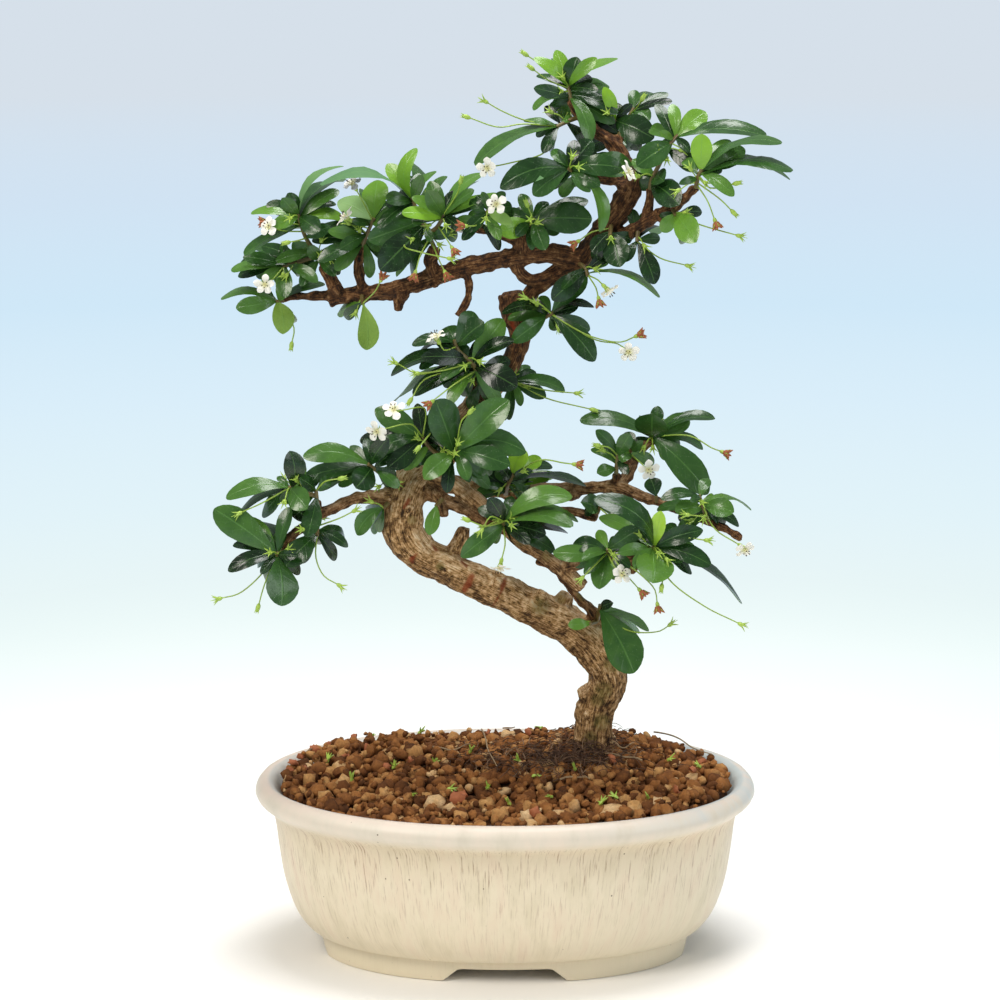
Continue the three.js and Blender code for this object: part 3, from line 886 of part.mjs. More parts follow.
const wood = makeWood(0);
const fatWood = makeWood(CLEARANCE);
makeSprays(fatWood);
place('pot', makePot(), 0xe6dcc6, 0.45);
place('drain_net_left', makeNet(-DRAIN_X), 0x2b2c2b, 0.7);
place('drain_net_right', makeNet(DRAIN_X), 0x2b2c2b, 0.7);
place('soil', makeSoil(fatWood), 0x6a4326, 0.95);
place('wood', wood, 0x8a6a45, 0.9);
let bloomCount = 0;
for (const spray of sprays) {
  const whole = joined(spray.solids).subtract(fatWood);
  place(`spray_${spray.name}`, largest(whole), 0x2f6b2a, 0.4);
  for (const bloom of spray.blooms) {
    bloomCount += 1;
    place(`flower_${bloomCount}`, bloom, 0xf2ead8, 0.6);
  }
}

export default group;
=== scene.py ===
# Looks of a small fukien tea tree in its oval glazed pot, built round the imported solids.
# Lengths in the lists and formulas are millimetres, and meshes are written in metres.
import math

import bpy
import numpy as np
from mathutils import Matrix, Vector
from mathutils.bvhtree import BVHTree


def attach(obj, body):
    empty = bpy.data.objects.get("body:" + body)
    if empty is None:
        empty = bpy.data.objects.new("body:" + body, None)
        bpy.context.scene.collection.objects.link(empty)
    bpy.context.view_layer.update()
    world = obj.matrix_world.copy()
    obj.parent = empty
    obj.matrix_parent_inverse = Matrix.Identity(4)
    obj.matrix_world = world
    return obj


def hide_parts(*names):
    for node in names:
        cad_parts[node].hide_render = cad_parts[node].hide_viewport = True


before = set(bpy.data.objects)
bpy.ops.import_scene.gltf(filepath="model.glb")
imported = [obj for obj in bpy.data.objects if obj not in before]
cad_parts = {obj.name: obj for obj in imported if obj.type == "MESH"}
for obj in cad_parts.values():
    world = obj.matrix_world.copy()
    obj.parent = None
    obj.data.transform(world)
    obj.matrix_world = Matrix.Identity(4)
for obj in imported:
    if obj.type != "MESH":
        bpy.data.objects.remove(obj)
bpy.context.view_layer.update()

# Camera
# The eye stands 1.19 m in front of the pot and 0.44 m above the table, and looks 11.4 degrees
# down. Through it a point of a picture 1000 pixels square, with a depth, gives a place in space.
EYE = np.array([-2.2, -1187.0, 441.0])
EYE_DIP = math.radians(11.4)
FOCAL = 2800.0
PICTURE_MIDDLE = 500.0
MM = 0.001

lens = bpy.data.cameras.new("eye")
lens.sensor_width = 36.0
lens.lens = lens.sensor_width * FOCAL / (2 * PICTURE_MIDDLE)
lens.clip_start = 0.05
lens.clip_end = 20.0
camera = bpy.data.objects.new("eye", lens)
camera.location = EYE * MM
camera.rotation_euler = (math.pi / 2 - EYE_DIP, 0.0, 0.0)
bpy.context.scene.collection.objects.link(camera)
bpy.context.scene.camera = camera


def spot(points):
    """Places of picture points (x, y, depth): the ray through the pixel, followed until it is that
    depth behind the middle of the pot."""
    px, py, depth = np.moveaxis(np.asarray([row[:3] for row in points], float), -1, 0)
    slope = (PICTURE_MIDDLE - py) / FOCAL
    away = depth - EYE[1]
    rise = away * (slope * math.cos(EYE_DIP) - math.sin(EYE_DIP))
    rise = rise / (math.cos(EYE_DIP) + slope * math.sin(EYE_DIP))
    reach = away * math.cos(EYE_DIP) - rise * math.sin(EYE_DIP)
    return np.stack([EYE[0] + (px - PICTURE_MIDDLE) * reach / FOCAL, depth, EYE[2] + rise], -1)


def picture_of(places):
    """Picture points (x, y) of places in space: the sideways and upward shares of their offset from
    the eye, over its share along the view, times the focal length."""
    offset = np.asarray(places, float) - EYE
    reach = offset[..., 1] * math.cos(EYE_DIP) - offset[..., 2] * math.sin(EYE_DIP)
    lift = offset[..., 1] * math.sin(EYE_DIP) + offset[..., 2] * math.cos(EYE_DIP)
    return np.stack([PICTURE_MIDDLE + FOCAL * offset[..., 0] / reach,
                     PICTURE_MIDDLE - FOCAL * lift / reach], -1)


# Pot
# One slip-cast stoneware bowl with a rolled rim, on a low foot band that gaps divide into four
# feet. A thin cream glaze has run down it in the kiln and broken into fine vertical streaks.
POT_LENGTH = 220.0
POT_DEPTH = 156.0
POT_CREST = 78.0
POT_UNDERSIDE = 9.5
OVAL_POWER = 2.1
POT_COLUMNS = 240
# Pairs of how far the surface lies inside the rim's outermost line, and its height
POT_OUTSIDE = [(60, 9.5), (36, 9.5), (28.5, 9.6), (26, 9.9), (23.6, 10.9), (21.5, 12.6), (17, 19),
               (12.5, 32), (9.7, 50), (8.7, 58.5), (7.6, 63.4), (5.6, 66.2), (3, 68.4), (1, 70.4),
               (0.1, 72.6), (0.8, 75.3), (2.4, 77.2), (4.4, 78)]
POT_INSIDE = [(6.4, 77.7), (8.3, 76.2), (9.4, 74), (12, 68), (16.5, 45), (22, 26), (32, 17), (60, 16)]
FOOT_INSET = 28.0
FOOT_WIDTH = 8.0
FOOT_TOP = 11.0
FOOT_GAP_HEIGHT = 6.0
LONG_GAP = (27.0, 20.0)
END_GAP = (16.0, 11.0)
DRAIN_RADIUS = 6.0
DRAIN_X = 38.0


def linear(colour):
    """Linear red, green, blue and alpha of an sRGB hex colour."""
    parts = np.array([int(colour[i:i + 2], 16) for i in (1, 3, 5)]) / 255
    parts = np.where(parts <= 0.04045, parts / 12.92, ((parts + 0.055) / 1.055) ** 2.4)
    return (*parts.tolist(), 1.0)


def add_node(tree, kind, inputs=None, stops=None, output=None, **settings):
    """Adds a node, makes its settings, fills or links its inputs and sets a ramp's colour stops.
    Gives back its output of that name, or else the first that it has in use."""
    node = tree.nodes.new("ShaderNode" + kind)
    for key, value in settings.items():
        setattr(node, key, value)
    for key, value in (inputs or {}).items():
        if isinstance(value, bpy.types.NodeSocket):
            tree.links.new(value, node.inputs[key])
        else:
            node.inputs[key].default_value = linear(value) if isinstance(value, str) else value
    if stops:
        ramp = node.color_ramp
        while len(ramp.elements) < len(stops):
            ramp.elements.new(1.0)
        for element, (place, colour) in zip(ramp.elements, stops):
            element.position = place
            element.color = linear(colour)
    return node.outputs[output] if output else next((out for out in node.outputs if out.enabled), None)


def new_material(name):
    """A material with an empty node tree, and that tree."""
    material = bpy.data.materials.new(name)
    material.use_nodes = True
    material.node_tree.nodes.clear()
    return material, material.node_tree


def new_mesh(name, points, faces):
    """A mesh from points in millimetres and lists of face corners."""
    mesh = bpy.data.meshes.new(name)
    mesh.from_pydata((np.asarray(points, float) * MM).tolist(), [], faces)
    return mesh


def new_piece(name, points, faces, materials, nodes=(), face_materials=None, sharp_degrees=40):
    """A mesh object from points in millimetres and lists of face corners. It rides on the root,
    takes the given materials and hides the given CAD nodes, for which it stands."""
    mesh = new_mesh(name, points, faces)
    for material in materials:
        mesh.materials.append(material)
    if face_materials is not None:
        mesh.polygons.foreach_set("material_index", np.asarray(face_materials, np.int32))
    mesh.polygons.foreach_set("use_smooth", np.ones(len(mesh.polygons), bool))
    mesh.set_sharp_from_angle(angle=math.radians(sharp_degrees))
    mesh.update()
    piece = bpy.data.objects.new(name, mesh)
    bpy.context.scene.collection.objects.link(piece)
    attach(piece, "root")
    if nodes:
        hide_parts(*nodes)
    return piece


def add_numbers(piece, name, values, domain="POINT"):
    """Stores one number, or one vector, for each point or face of a piece's mesh."""
    values = np.asarray(values, np.float32)
    is_vector = values.ndim == 2
    kind = "FLOAT_VECTOR" if is_vector else "FLOAT"
    attribute = piece.data.attributes.new(name, kind, domain)
    attribute.data.foreach_set("vector" if is_vector else "value", values.ravel())


def points_of(mesh):
    """Array of a mesh's points, in millimetres."""
    flat = np.empty(len(mesh.vertices) * 3)
    mesh.vertices.foreach_get("co", flat)
    return flat.reshape(-1, 3) / MM


def ring_faces(rows, columns, first=0, loops=False, caps=True):
    """Faces between rings of points, row after row, each ring closed on itself. The rows close on
    themselves too if they loop, and otherwise a cap may close each end."""
    down, round_ = np.meshgrid(np.arange(rows if loops else rows - 1), np.arange(columns), indexing="ij")
    below = (down + 1) % rows
    beside = (round_ + 1) % columns
    faces = np.stack([down * columns + round_, down * columns + beside,
                      below * columns + beside, below * columns + round_], -1)
    faces = (faces.reshape(-1, 4) + first).tolist()
    if caps and not loops:
        faces.append((first + np.arange(columns))[::-1].tolist())
        faces.append((first + (rows - 1) * columns + np.arange(columns)).tolist())
    return faces


def smooth_run(points, step):
    """Places about a step apart on a centripetal Catmull-Rom curve through the points, and the
    position of each in the list of points. Each span is the cubic whose end slopes come from its
    neighbours, with spans weighted by the square root of their length."""
    points = np.asarray(points, float)
    padded = np.vstack([2 * points[0] - points[1], points, 2 * points[-1] - points[-2]])
    gaps = np.maximum(np.linalg.norm(np.diff(padded, axis=0), axis=1), 1e-6) ** 0.5
    places, positions = [], []
    for i in range(len(points) - 1):
        a, b, c, d = padded[i:i + 4]
        before, span, after = gaps[i:i + 3]
        leave = ((b - a) / before - (c - a) / (before + span) + (c - b) / span) * span
        arrive = ((c - b) / span - (d - b) / (span + after) + (d - c) / after) * span
        count = max(1, round(float(np.linalg.norm(c - b)) / step))
        t = (np.arange(count) / count)[:, None]
        places.append(b + leave * t + (3 * (c - b) - 2 * leave - arrive) * t ** 2
                      + (2 * (b - c) + leave + arrive) * t ** 3)
        positions.append(i + t[:, 0])
    places.append(points[-1:])
    positions.append(np.array([len(points) - 1.0]))
    return np.vstack(places), np.concatenate(positions)


def lump_noise(points, size, seed):
    """Smooth noise from -1 to 1 at each place: random values on the corners of a cubic lattice of
    that cell size, blended by the smooth step of the place inside its cell."""
    cell = np.asarray(points, float) / size
    corner = np.floor(cell).astype(np.int64)
    part = cell - corner
    part = part * part * (3 - 2 * part)
    total = np.zeros(cell.shape[:-1])
    for offset in np.ndindex(2, 2, 2):
        lattice = corner + np.array(offset)
        mixed = lattice @ np.array([374761393, 668265263, 914744123]) + seed * 1013904223
        mixed = ((mixed ^ (mixed >> 13)) & 0xFFFFFFFF) * 1274126177
        value = ((mixed ^ (mixed >> 16)) & 0xFFFFFF) / 0x7FFFFF - 1
        total += value * np.where(np.array(offset) == 1, part, 1 - part).prod(axis=-1)
    return total


def oval(half_length, half_depth, turn):
    """Points of a superellipse: each coordinate is its half size times the signed power 2/2.1 of
    the cosine or sine of the turn."""
    power = 2 / OVAL_POWER
    c, s = np.cos(turn), np.sin(turn)
    return (half_length * np.sign(c) * np.abs(c) ** power,
            half_depth * np.sign(s) * np.abs(s) ** power)


def oval_share(points):
    """How far each point lies out from the pot's middle, as a share of the rim's outermost oval in
    the same direction."""
    along, deep = np.abs(points[..., 0]) * 2 / POT_LENGTH, np.abs(points[..., 1]) * 2 / POT_DEPTH
    return (along ** OVAL_POWER + deep ** OVAL_POWER) ** (1 / OVAL_POWER)


def oval_wall(profile, columns):
    """Grid of points of a wall carried round the oval: a row for each pair of an inward distance
    and a height, a column for each turn."""
    inward, height = np.asarray(profile, float).T[:, :, None]
    turn = 2 * math.pi * np.arange(columns)[None, :] / columns
    x, y = oval(POT_LENGTH / 2 - inward, POT_DEPTH / 2 - inward, turn)
    return np.stack([x, y, np.broadcast_to(height, x.shape)], -1)


def profile_curve(pairs, step, low, high):
    """A smooth curve through pairs of an inward distance and a height, kept between two heights."""
    curve = smooth_run([(a, b, 0) for a, b in pairs], step)[0][:, :2]
    return np.stack([np.maximum(curve[:, 0], 0), np.clip(curve[:, 1], low, high)], -1)


WALL_STEP = 1.8
# The cast wall is uneven: the width of its swellings, half of their depth at a wall that stands so far
# from the pot's middle, the height at which they end, and the height over which they fade
SWELL_WIDTH = 24.0
SWELL_DEPTH = 0.18
WALL_REACH = 90.0
SWELL_END = 74.0
SWELL_FADE = 20.0
bowl_grid = oval_wall(profile_curve(POT_OUTSIDE + POT_INSIDE, WALL_STEP, POT_UNDERSIDE, POT_CREST),
                      POT_COLUMNS)
swell = SWELL_DEPTH * (lump_noise(bowl_grid, SWELL_WIDTH, 3) - 1)
swell *= np.clip((SWELL_END - bowl_grid[..., 2]) / SWELL_FADE, 0, 1)
bowl_grid[..., :2] *= (1 + swell / WALL_REACH)[..., None]

# The foot band is a closed ring whose lower part is pressed up over each gap, with slanted ends
foot_outer = [(-0.6, FOOT_TOP), (-0.3, 6), (-0.1, 1.2), (0.2, 0.3), (1, 0)]
foot_inner = [(-1, 0), (-0.2, 0.3), (0, 1.2), (0.5, 6), (1, FOOT_TOP)]
band_grid = oval_wall([(FOOT_INSET + inward, height) for inward, height in foot_outer]
                      + [(FOOT_INSET + FOOT_WIDTH + inward, height) for inward, height in foot_inner],
                      POT_COLUMNS)


def gap_roof(along, half_at_bottom, half_at_top):
    """Height of a gap's roof over a place along the band: full inside the narrower half width,
    none outside the wider one, and straight between."""
    share = (half_at_bottom - np.abs(along)) / (half_at_bottom - half_at_top)
    return FOOT_GAP_HEIGHT * np.clip(share, 0, 1)


is_long_side = np.abs(band_grid[..., 1]) / POT_DEPTH > np.abs(band_grid[..., 0]) / POT_LENGTH
roof = np.where(is_long_side, gap_roof(band_grid[..., 0], *LONG_GAP),
                gap_roof(band_grid[..., 1], *END_GAP))
band_grid[..., 2] = roof + band_grid[..., 2] * (FOOT_TOP - roof) / FOOT_TOP

# Glazed stoneware, dipped and fired: a satin beige skin that shows the brown body through it in
# thin faint streaks, thickest under the rim. The rim stays smooth, pinkish where the glaze is thin
# on its crest and a milky grey-blue where it has pooled inside and at the right.
GLAZE_STREAK = 0.75
# Shares that follow the height: where each starts and where it is full, its least and its most, and
# whether it starts and ends softly
HEIGHT_SHARES = {"under rim": (69, 64, 0, 1, True), "up wall": (22, 64, 0.2, 1, False),
                 "rim": (65, 70, 0, 1, True), "crest": (75.2, 77.8, 0, 0.3, False),
                 "pool band": (71, 74.5, 0, 1, True), "blush": (48, 64, 0, 0.32, False),
                 "fold start": (63.5, 65.5, 0, 1, False), "fold": (69, 66.5, 0, 1, False),
                 "foot": (16, 5, 0, 0.75, False), "low right": (60, 15, 0, 0.35, False)}
glaze, tree = new_material("beige_glazed_stoneware")
run = add_node(tree, "Attribute", output="Vector", attribute_name="glaze_run")
stretched = add_node(tree, "Mapping", {"Vector": run, "Scale": (1.0, 1.0, 0.07)})
streak = add_node(tree, "TexNoise", {"Vector": stretched, "Detail": 4.0, "Scale": 1 / GLAZE_STREAK,
                                     "Roughness": 0.62})
drift_place = add_node(tree, "Mapping", {"Vector": run, "Scale": (1.0, 1.0, 0.4)})
drift = add_node(tree, "TexNoise", {"Vector": drift_place, "Scale": 0.09, "Detail": 4.0, "Roughness": 0.6})
speck = add_node(tree, "TexVoronoi", {"Vector": run, "Scale": 0.11})
pit = add_node(tree, "TexNoise", {"Vector": run, "Scale": 1.1, "Detail": 2.0})
height_mm = add_node(tree, "SeparateXYZ", {"Vector": run}, output="Z")
sideways_mm = add_node(tree, "SeparateXYZ", {"Vector": run}, output="X")
share = {"inside": add_node(tree, "Attribute", output="Fac", attribute_name="inside")}
for name, (start, full, least, most, is_soft) in HEIGHT_SHARES.items():
    share[name] = add_node(tree, "MapRange", {"Value": height_mm, "From Min": start, "From Max": full,
                                              "To Min": least, "To Max": most},
                           interpolation_type="SMOOTHSTEP" if is_soft else "LINEAR")
for name, value, start, full, most in (
        ("right", sideways_mm, 25, 105, 1), ("streak", streak, 0.54, 0.74, 1),
        ("pool line", drift, 0.36, 0.72, 1), ("speck", speck, 0.05, 0.035, 1),
        ("pit", pit, 0.6, 0.68, 0.5)):
    share[name] = add_node(tree, "MapRange", {"Value": value, "From Min": start, "From Max": full,
                                              "To Max": most})
share["pooled"] = add_node(tree, "Math", {0: share["inside"], 1: drift, 2: share["right"]},
                           operation="MULTIPLY_ADD")
# Products of two shares each
for name, one, other in (("wall", "under rim", "up wall"), ("streak", "streak", "wall"),
                         ("pooled", "pooled", "inside"), ("pool line", "pool band", "pool line"),
                         ("pool line", "pool line", "right"), ("blush", "blush", "under rim"),
                         ("fold", "fold start", "fold"), ("pit", "pit", "fold"),
                         ("low right", "low right", "right")):
    share[name] = add_node(tree, "Math", {0: share[one], 1: share[other]}, operation="MULTIPLY")
skin = add_node(tree, "ValToRGB", {"Fac": drift}, [(0.3, "#d6c8ab"), (0.5, "#e2d4b9"), (0.68, "#dfccb2")])
rim_colour = add_node(tree, "ValToRGB", {"Fac": drift},
                      [(0.3, "#d2c7b4"), (0.48, "#dbcfbd"), (0.62, "#e0d1bf")])
streak_colour = add_node(tree, "ValToRGB", {"Fac": drift}, [(0.35, "#7f5636"), (0.62, "#8f5d42")])
# The foot's pale tint is painted light: it lifts the foot band under the belly, which the lamps leave in
# shade
for name, tint in (("rim", rim_colour), ("crest", "#e8cdbf"), ("pooled", "#b9c0be"),
                   ("pool line", "#c4c9c6"), ("blush", "#b9a07c"), ("streak", streak_colour),
                   ("speck", "#7d6a55"), ("pit", "#9a8368"), ("foot", "#ecdfc2"), ("low right", "#c2bda6")):
    skin = add_node(tree, "Mix", {"Factor": share[name], "A": skin, "B": tint}, data_type="RGBA")
relief = add_node(tree, "Bump", {"Height": streak, "Strength": 0.15, "Distance": 0.0004})
gloss = add_node(tree, "MapRange", {"Value": streak, "To Min": 0.32, "To Max": 0.52})
shader = add_node(tree, "BsdfPrincipled", {"Base Color": skin, "IOR": 1.5, "Roughness": gloss,
                                           "Normal": relief})
add_node(tree, "OutputMaterial", {"Surface": shader})

# The drain holes are cut by cylinders with so many sides, between these two heights
DRAIN_SIDES = 48
DRAIN_CUT = (30.0, -5.0)


def drain_cutters():
    """Points and faces of two upright cylinders through the floor, where the drain holes are."""
    turn = 2 * math.pi * np.arange(DRAIN_SIDES) / DRAIN_SIDES
    points, faces = [], []
    for side in (-1, 1):
        ring = np.stack([side * DRAIN_X + DRAIN_RADIUS * np.cos(turn), DRAIN_RADIUS * np.sin(turn),
                         0 * turn], -1)
        faces += ring_faces(2, DRAIN_SIDES, first=len(points) * DRAIN_SIDES)
        points += [ring + [0, 0, height] for height in DRAIN_CUT]
    return np.vstack(points), faces


def baked(piece, name):
    """Swaps a piece's mesh for the one that its modifiers make, and drops the modifiers."""
    graph = bpy.context.evaluated_depsgraph_get()
    mesh = bpy.data.meshes.new_from_object(piece.evaluated_get(graph))
    mesh.name = name
    piece.modifiers.clear()
    piece.data = mesh
    return mesh


pot = new_piece("pot_bowl", bowl_grid.reshape(-1, 3), ring_faces(*bowl_grid.shape[:2]), [glaze],
                ["pot"])
band = new_mesh("band", band_grid.reshape(-1, 3), ring_faces(*band_grid.shape[:2], loops=True))
drains = new_mesh("drains", *drain_cutters())
for mesh, operation in ((band, "UNION"), (drains, "DIFFERENCE")):
    tool = bpy.data.objects.new(mesh.name, mesh)
    bpy.context.scene.collection.objects.link(tool)
    cut = pot.modifiers.new(mesh.name, "BOOLEAN")
    cut.operation = operation
    cut.solver = "EXACT"
    cut.object = tool
pot_mesh = baked(pot, "pot_bowl")
for mesh in (band, drains):
    bpy.data.objects.remove(bpy.data.objects[mesh.name])
pot_mesh.polygons.foreach_set("use_smooth", np.ones(len(pot_mesh.polygons), bool))
pot_mesh.set_sharp_from_angle(angle=math.radians(35))
pot_points = points_of(pot_mesh)
outline = pot_points[:, :2] / np.maximum(oval_share(pot_points), 0.05)[:, None]
add_numbers(pot, "glaze_run", np.column_stack([outline, pot_points[:, 2]]))
pot_normals = np.empty(pot_points.size)
pot_mesh.vertices.foreach_get("normal", pot_normals)
# The inside is where the wall faces the pot's middle, in the upper half that the soil leaves bare
outward = pot_points[:, :2] / np.maximum(np.hypot(*pot_points[:, :2].T), 1)[:, None]
faces_out = (pot_normals.reshape(-1, 3)[:, :2] * outward).sum(axis=1)
is_upper_half = pot_points[:, 2] > POT_CREST / 2 + 1
add_numbers(pot, "inside", np.clip(0.3 - 2 * faces_out, 0, 1) * is_upper_half)

# Drain nets
# Two squares of black moulded polyethylene mesh lie over the drain holes, and keep the soil in.
# Polyethylene is matt and slightly waxy, and the clay has left brown dust in its pores.
net_plastic, tree = new_material("black_polyethylene_mesh")
place = add_node(tree, "TexCoord", output="Object")
dust = add_node(tree, "TexNoise", {"Vector": place, "Scale": 400.0, "Detail": 4.0})
dusty = add_node(tree, "ValToRGB", {"Fac": dust}, [(0.45, "#232423"), (0.7, "#4a3a2c")])
relief = add_node(tree, "Bump", {"Height": dust, "Strength": 0.2, "Distance": 0.0002})
shader = add_node(tree, "BsdfPrincipled", {"Base Color": dusty, "IOR": 1.51, "Roughness": 0.6,
                                           "Normal": relief})
add_node(tree, "OutputMaterial", {"Surface": shader})
for side in ("left", "right"):
    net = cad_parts["drain_net_" + side]
    net.data.materials.clear()
    net.data.materials.append(net_plastic)

# Soil
# The pot is filled with baked red-brown clay granules, poured in dry and heaped to a low mound
# round the trunk, over finer crumbs. Paler pebbles have worked up along the front rim.
SOIL_LEVEL = 72.0
MOUND_HEIGHT = 12.0
MOUND_SPREAD = 38.0
MOUND_MIDDLE = (41.0, 20.0)
HEAP_HEIGHT = 5.5
HEAP_SPREAD = 36.0
HEAP_MIDDLE = (-58.0, 26.0)
SOIL_EDGE = 12.0
# Distance from the rim's outermost line that the middles of loose things keep
SOIL_MARGIN = 13.5
# Granules on a shaken lattice, and finer crumbs between them: their least and greatest length, and
# the least and greatest height of their middles over the soil
GRANULE_PITCH = 6.0
GRANULE_SHIFT = 1.6
GRANULE_LENGTHS = (4.6, 8.4)
GRANULE_LIFTS = (-1.2, 1.4)
CRUMB_COUNT = 2600
CRUMB_LENGTHS = (1.5, 4.0)
CRUMB_LIFTS = (-0.6, 3.4)
# Depth of the bed's top under the soil's height, and the height of its lumps
BED_DEPTH = 1.6
BED_LUMPS = 0.7
BED_COLUMNS = 120
# Tone of the bed, darker than the grains, as painted shade in the hollows between them
BED_SHADE_TONE = -0.12
# Nearly half of the grains on the left heap lie up to that much higher
HEAP_LIFT = 3.6
# How far grains may reach over the soil's edge, and how far they stay from the trunk's foot
GRAIN_OVERLAP = 2.2
TRUNK_CLEARANCE = 9.0
TRUNK_FOOT = (595, 740, 18)
PEBBLE_LIFT = 1.2
# Picture points and lengths of the paler stones that show
PEBBLES = [(499, 819, 8.5), (508, 815, 6), (526, 821, 7), (559, 818, 7.5), (587, 821, 6.5), (613, 815, 9),
           (435, 808, 10), (460, 821, 7), (418, 766, 8), (411, 760, 7), (541, 747, 7.5), (522, 750, 6),
           (384, 797, 7), (345, 787, 9), (331, 776, 7), (309, 772, 6), (634, 813, 8), (658, 806, 7),
           (288, 783, 6), (398, 806, 6), (372, 801, 8), (571, 795, 5), (581, 782, 5), (690, 795, 6)]


def soil_height(x, y):
    """Height of the soil: its level plus a bell-shaped mound round the trunk and a low heap of
    granules at the left."""
    reach = (x - MOUND_MIDDLE[0]) ** 2 + (y - MOUND_MIDDLE[1]) ** 2
    far = (x - HEAP_MIDDLE[0]) ** 2 + (y - HEAP_MIDDLE[1]) ** 2
    return (SOIL_LEVEL + MOUND_HEIGHT * np.exp(-reach / (2 * MOUND_SPREAD ** 2))
            + HEAP_HEIGHT * np.exp(-far / (2 * HEAP_SPREAD ** 2)))


def on_soil(pixels):
    """Places on the soil under picture points: of 161 depths along each ray, the one where the ray
    is nearest to the soil's height, drawn in where it is too near to the pot's wall."""
    pixels = np.asarray(pixels, float)[:, :2]
    depths = np.linspace(-80, 80, 161)
    rays = np.stack([spot(np.column_stack([pixels, np.full(len(pixels), depth)])) for depth in depths])
    miss = np.abs(rays[..., 2] - soil_height(rays[..., 0], rays[..., 1]))
    places = rays[miss.argmin(axis=0), np.arange(len(pixels))]
    reach = np.hypot(*places[:, :2].T)
    places[:, :2] *= np.minimum(1, 1 / oval_share(places) - SOIL_MARGIN / reach)[:, None]
    places[:, 2] = soil_height(*places[:, :2].T)
    return places


def turned(vectors, random):
    """Each group of vectors turned by a random rotation, from a random unit quaternion."""
    q = random.normal(size=(len(vectors), 4))
    w, x, y, z = (q / np.linalg.norm(q, axis=1, keepdims=True)).T
    matrix = np.stack([1 - 2 * (y * y + z * z), 2 * (x * y - z * w), 2 * (x * z + y * w),
                       2 * (x * y + z * w), 1 - 2 * (x * x + z * z), 2 * (y * z - x * w),
                       2 * (x * z - y * w), 2 * (y * z + x * w), 1 - 2 * (x * x + y * y)], -1)
    return np.einsum("nij,nkj->nki", matrix.reshape(-1, 3, 3), vectors)


def lump_base():
    """A ball of 26 points and 24 four-sided faces: the outer points of a 3 by 3 by 3 grid drawn
    towards the unit sphere, and the quarters of the cube's sides."""
    cells = [cell for cell in np.ndindex(3, 3, 3) if cell != (1, 1, 1)]
    number = {cell: i for i, cell in enumerate(cells)}
    points = np.array(cells, float) - 1
    points /= np.linalg.norm(points, axis=1, keepdims=True) ** 0.85
    faces = []
    for axis in range(3):
        for level in (0, 2):
            for a, b in np.ndindex(2, 2):
                corners = [(a, b), (a + 1, b), (a + 1, b + 1), (a, b + 1)]
                face = [number[tuple(np.insert(corner, axis, level))] for corner in corners]
                faces.append(face if (level == 2) == (axis != 1) else face[::-1])
    return points, np.array(faces)


def lumps(centres, lengths, flatness, random, roughness=0.22):
    """Points and faces of rough stones: the ball with its points moved in or out at random, made
    narrower on two axes, turned at random and set at its centre."""
    base, faces = lump_base()
    count = len(centres)
    shape = base * (1 + roughness * random.uniform(-1, 1, (count, len(base), 1)))
    shape *= np.stack([np.ones(count), random.uniform(flatness, 1, count),
                       random.uniform(flatness, 1, count)], -1)[:, None]
    points = centres[:, None] + turned(shape, random) * (lengths / 2)[:, None, None]
    first = (np.arange(count) * len(base))[:, None, None]
    return points.reshape(-1, 3), (faces[None] + first).reshape(-1, 4).tolist(), len(base)


# Fired clay, crushed and sieved: dull and porous, red-brown, each grain its own shade, with lighter
# dust on its corners. The near-black hollows between the grains are painted shade: the bed that shows there
# is given a darker tone.
clay, tree = new_material("baked_clay_granules")
place = add_node(tree, "TexCoord", output="Object")
grain_tone = add_node(tree, "Attribute", output="Fac", attribute_name="tone")
grit = add_node(tree, "TexNoise", {"Vector": place, "Scale": 900.0, "Detail": 5.0, "Roughness": 0.7})
patch = add_node(tree, "TexNoise", {"Vector": place, "Scale": 150.0, "Detail": 2.0})
tone = add_node(tree, "Math", {0: patch, 1: 0.5, 2: grain_tone}, operation="MULTIPLY_ADD")
clay_colour = add_node(tree, "ValToRGB", {"Fac": tone}, [(0.05, "#3c2312"), (0.3, "#724624"),
                                                         (0.52, "#9a6536"), (0.78, "#bf9059"),
                                                         (1.0, "#dcbb8e")])
grit_shade = add_node(tree, "MapRange", {"Value": grit, "From Min": 0.25, "From Max": 0.75,
                                         "To Min": 0.62, "To Max": 1.25})
clay_colour = add_node(tree, "Mix", {"Factor": 1.0, "A": clay_colour, "B": grit_shade}, data_type="RGBA",
                       blend_type="MULTIPLY")
relief = add_node(tree, "Bump", {"Height": grit, "Strength": 0.7, "Distance": 0.0005})
shader = add_node(tree, "BsdfPrincipled", {"Base Color": clay_colour, "Roughness": 0.95, "Normal": relief,
                                           "Specular IOR Level": 0.25})
add_node(tree, "OutputMaterial", {"Surface": shader})

# The crumbs under the granules, as one filled body: floor, wall against the pot and heaped top
bed_profile = np.array([(70, 17.2), (33, 17.4), (23, 26.5), (17.2, 45), (SOIL_EDGE + 0.6, 68),
                        (SOIL_EDGE, 70.5)])
top_rows = np.linspace(SOIL_EDGE + 2, 76, 22)
bed_grid = oval_wall(np.vstack([bed_profile, np.column_stack([top_rows, 0 * top_rows])]), BED_COLUMNS)
bed_top = bed_grid[len(bed_profile):]
bed_top[..., 2] = 70.0
bed_top[..., 2] = (soil_height(bed_top[..., 0], bed_top[..., 1]) - BED_DEPTH
                   + BED_LUMPS * lump_noise(bed_top, 7, 5))
bed = new_piece("soil_bed", bed_grid.reshape(-1, 3), ring_faces(*bed_grid.shape[:2]), [clay],
                ["soil"])
add_numbers(bed, "tone", np.full(bed_grid[..., 0].size, BED_SHADE_TONE))

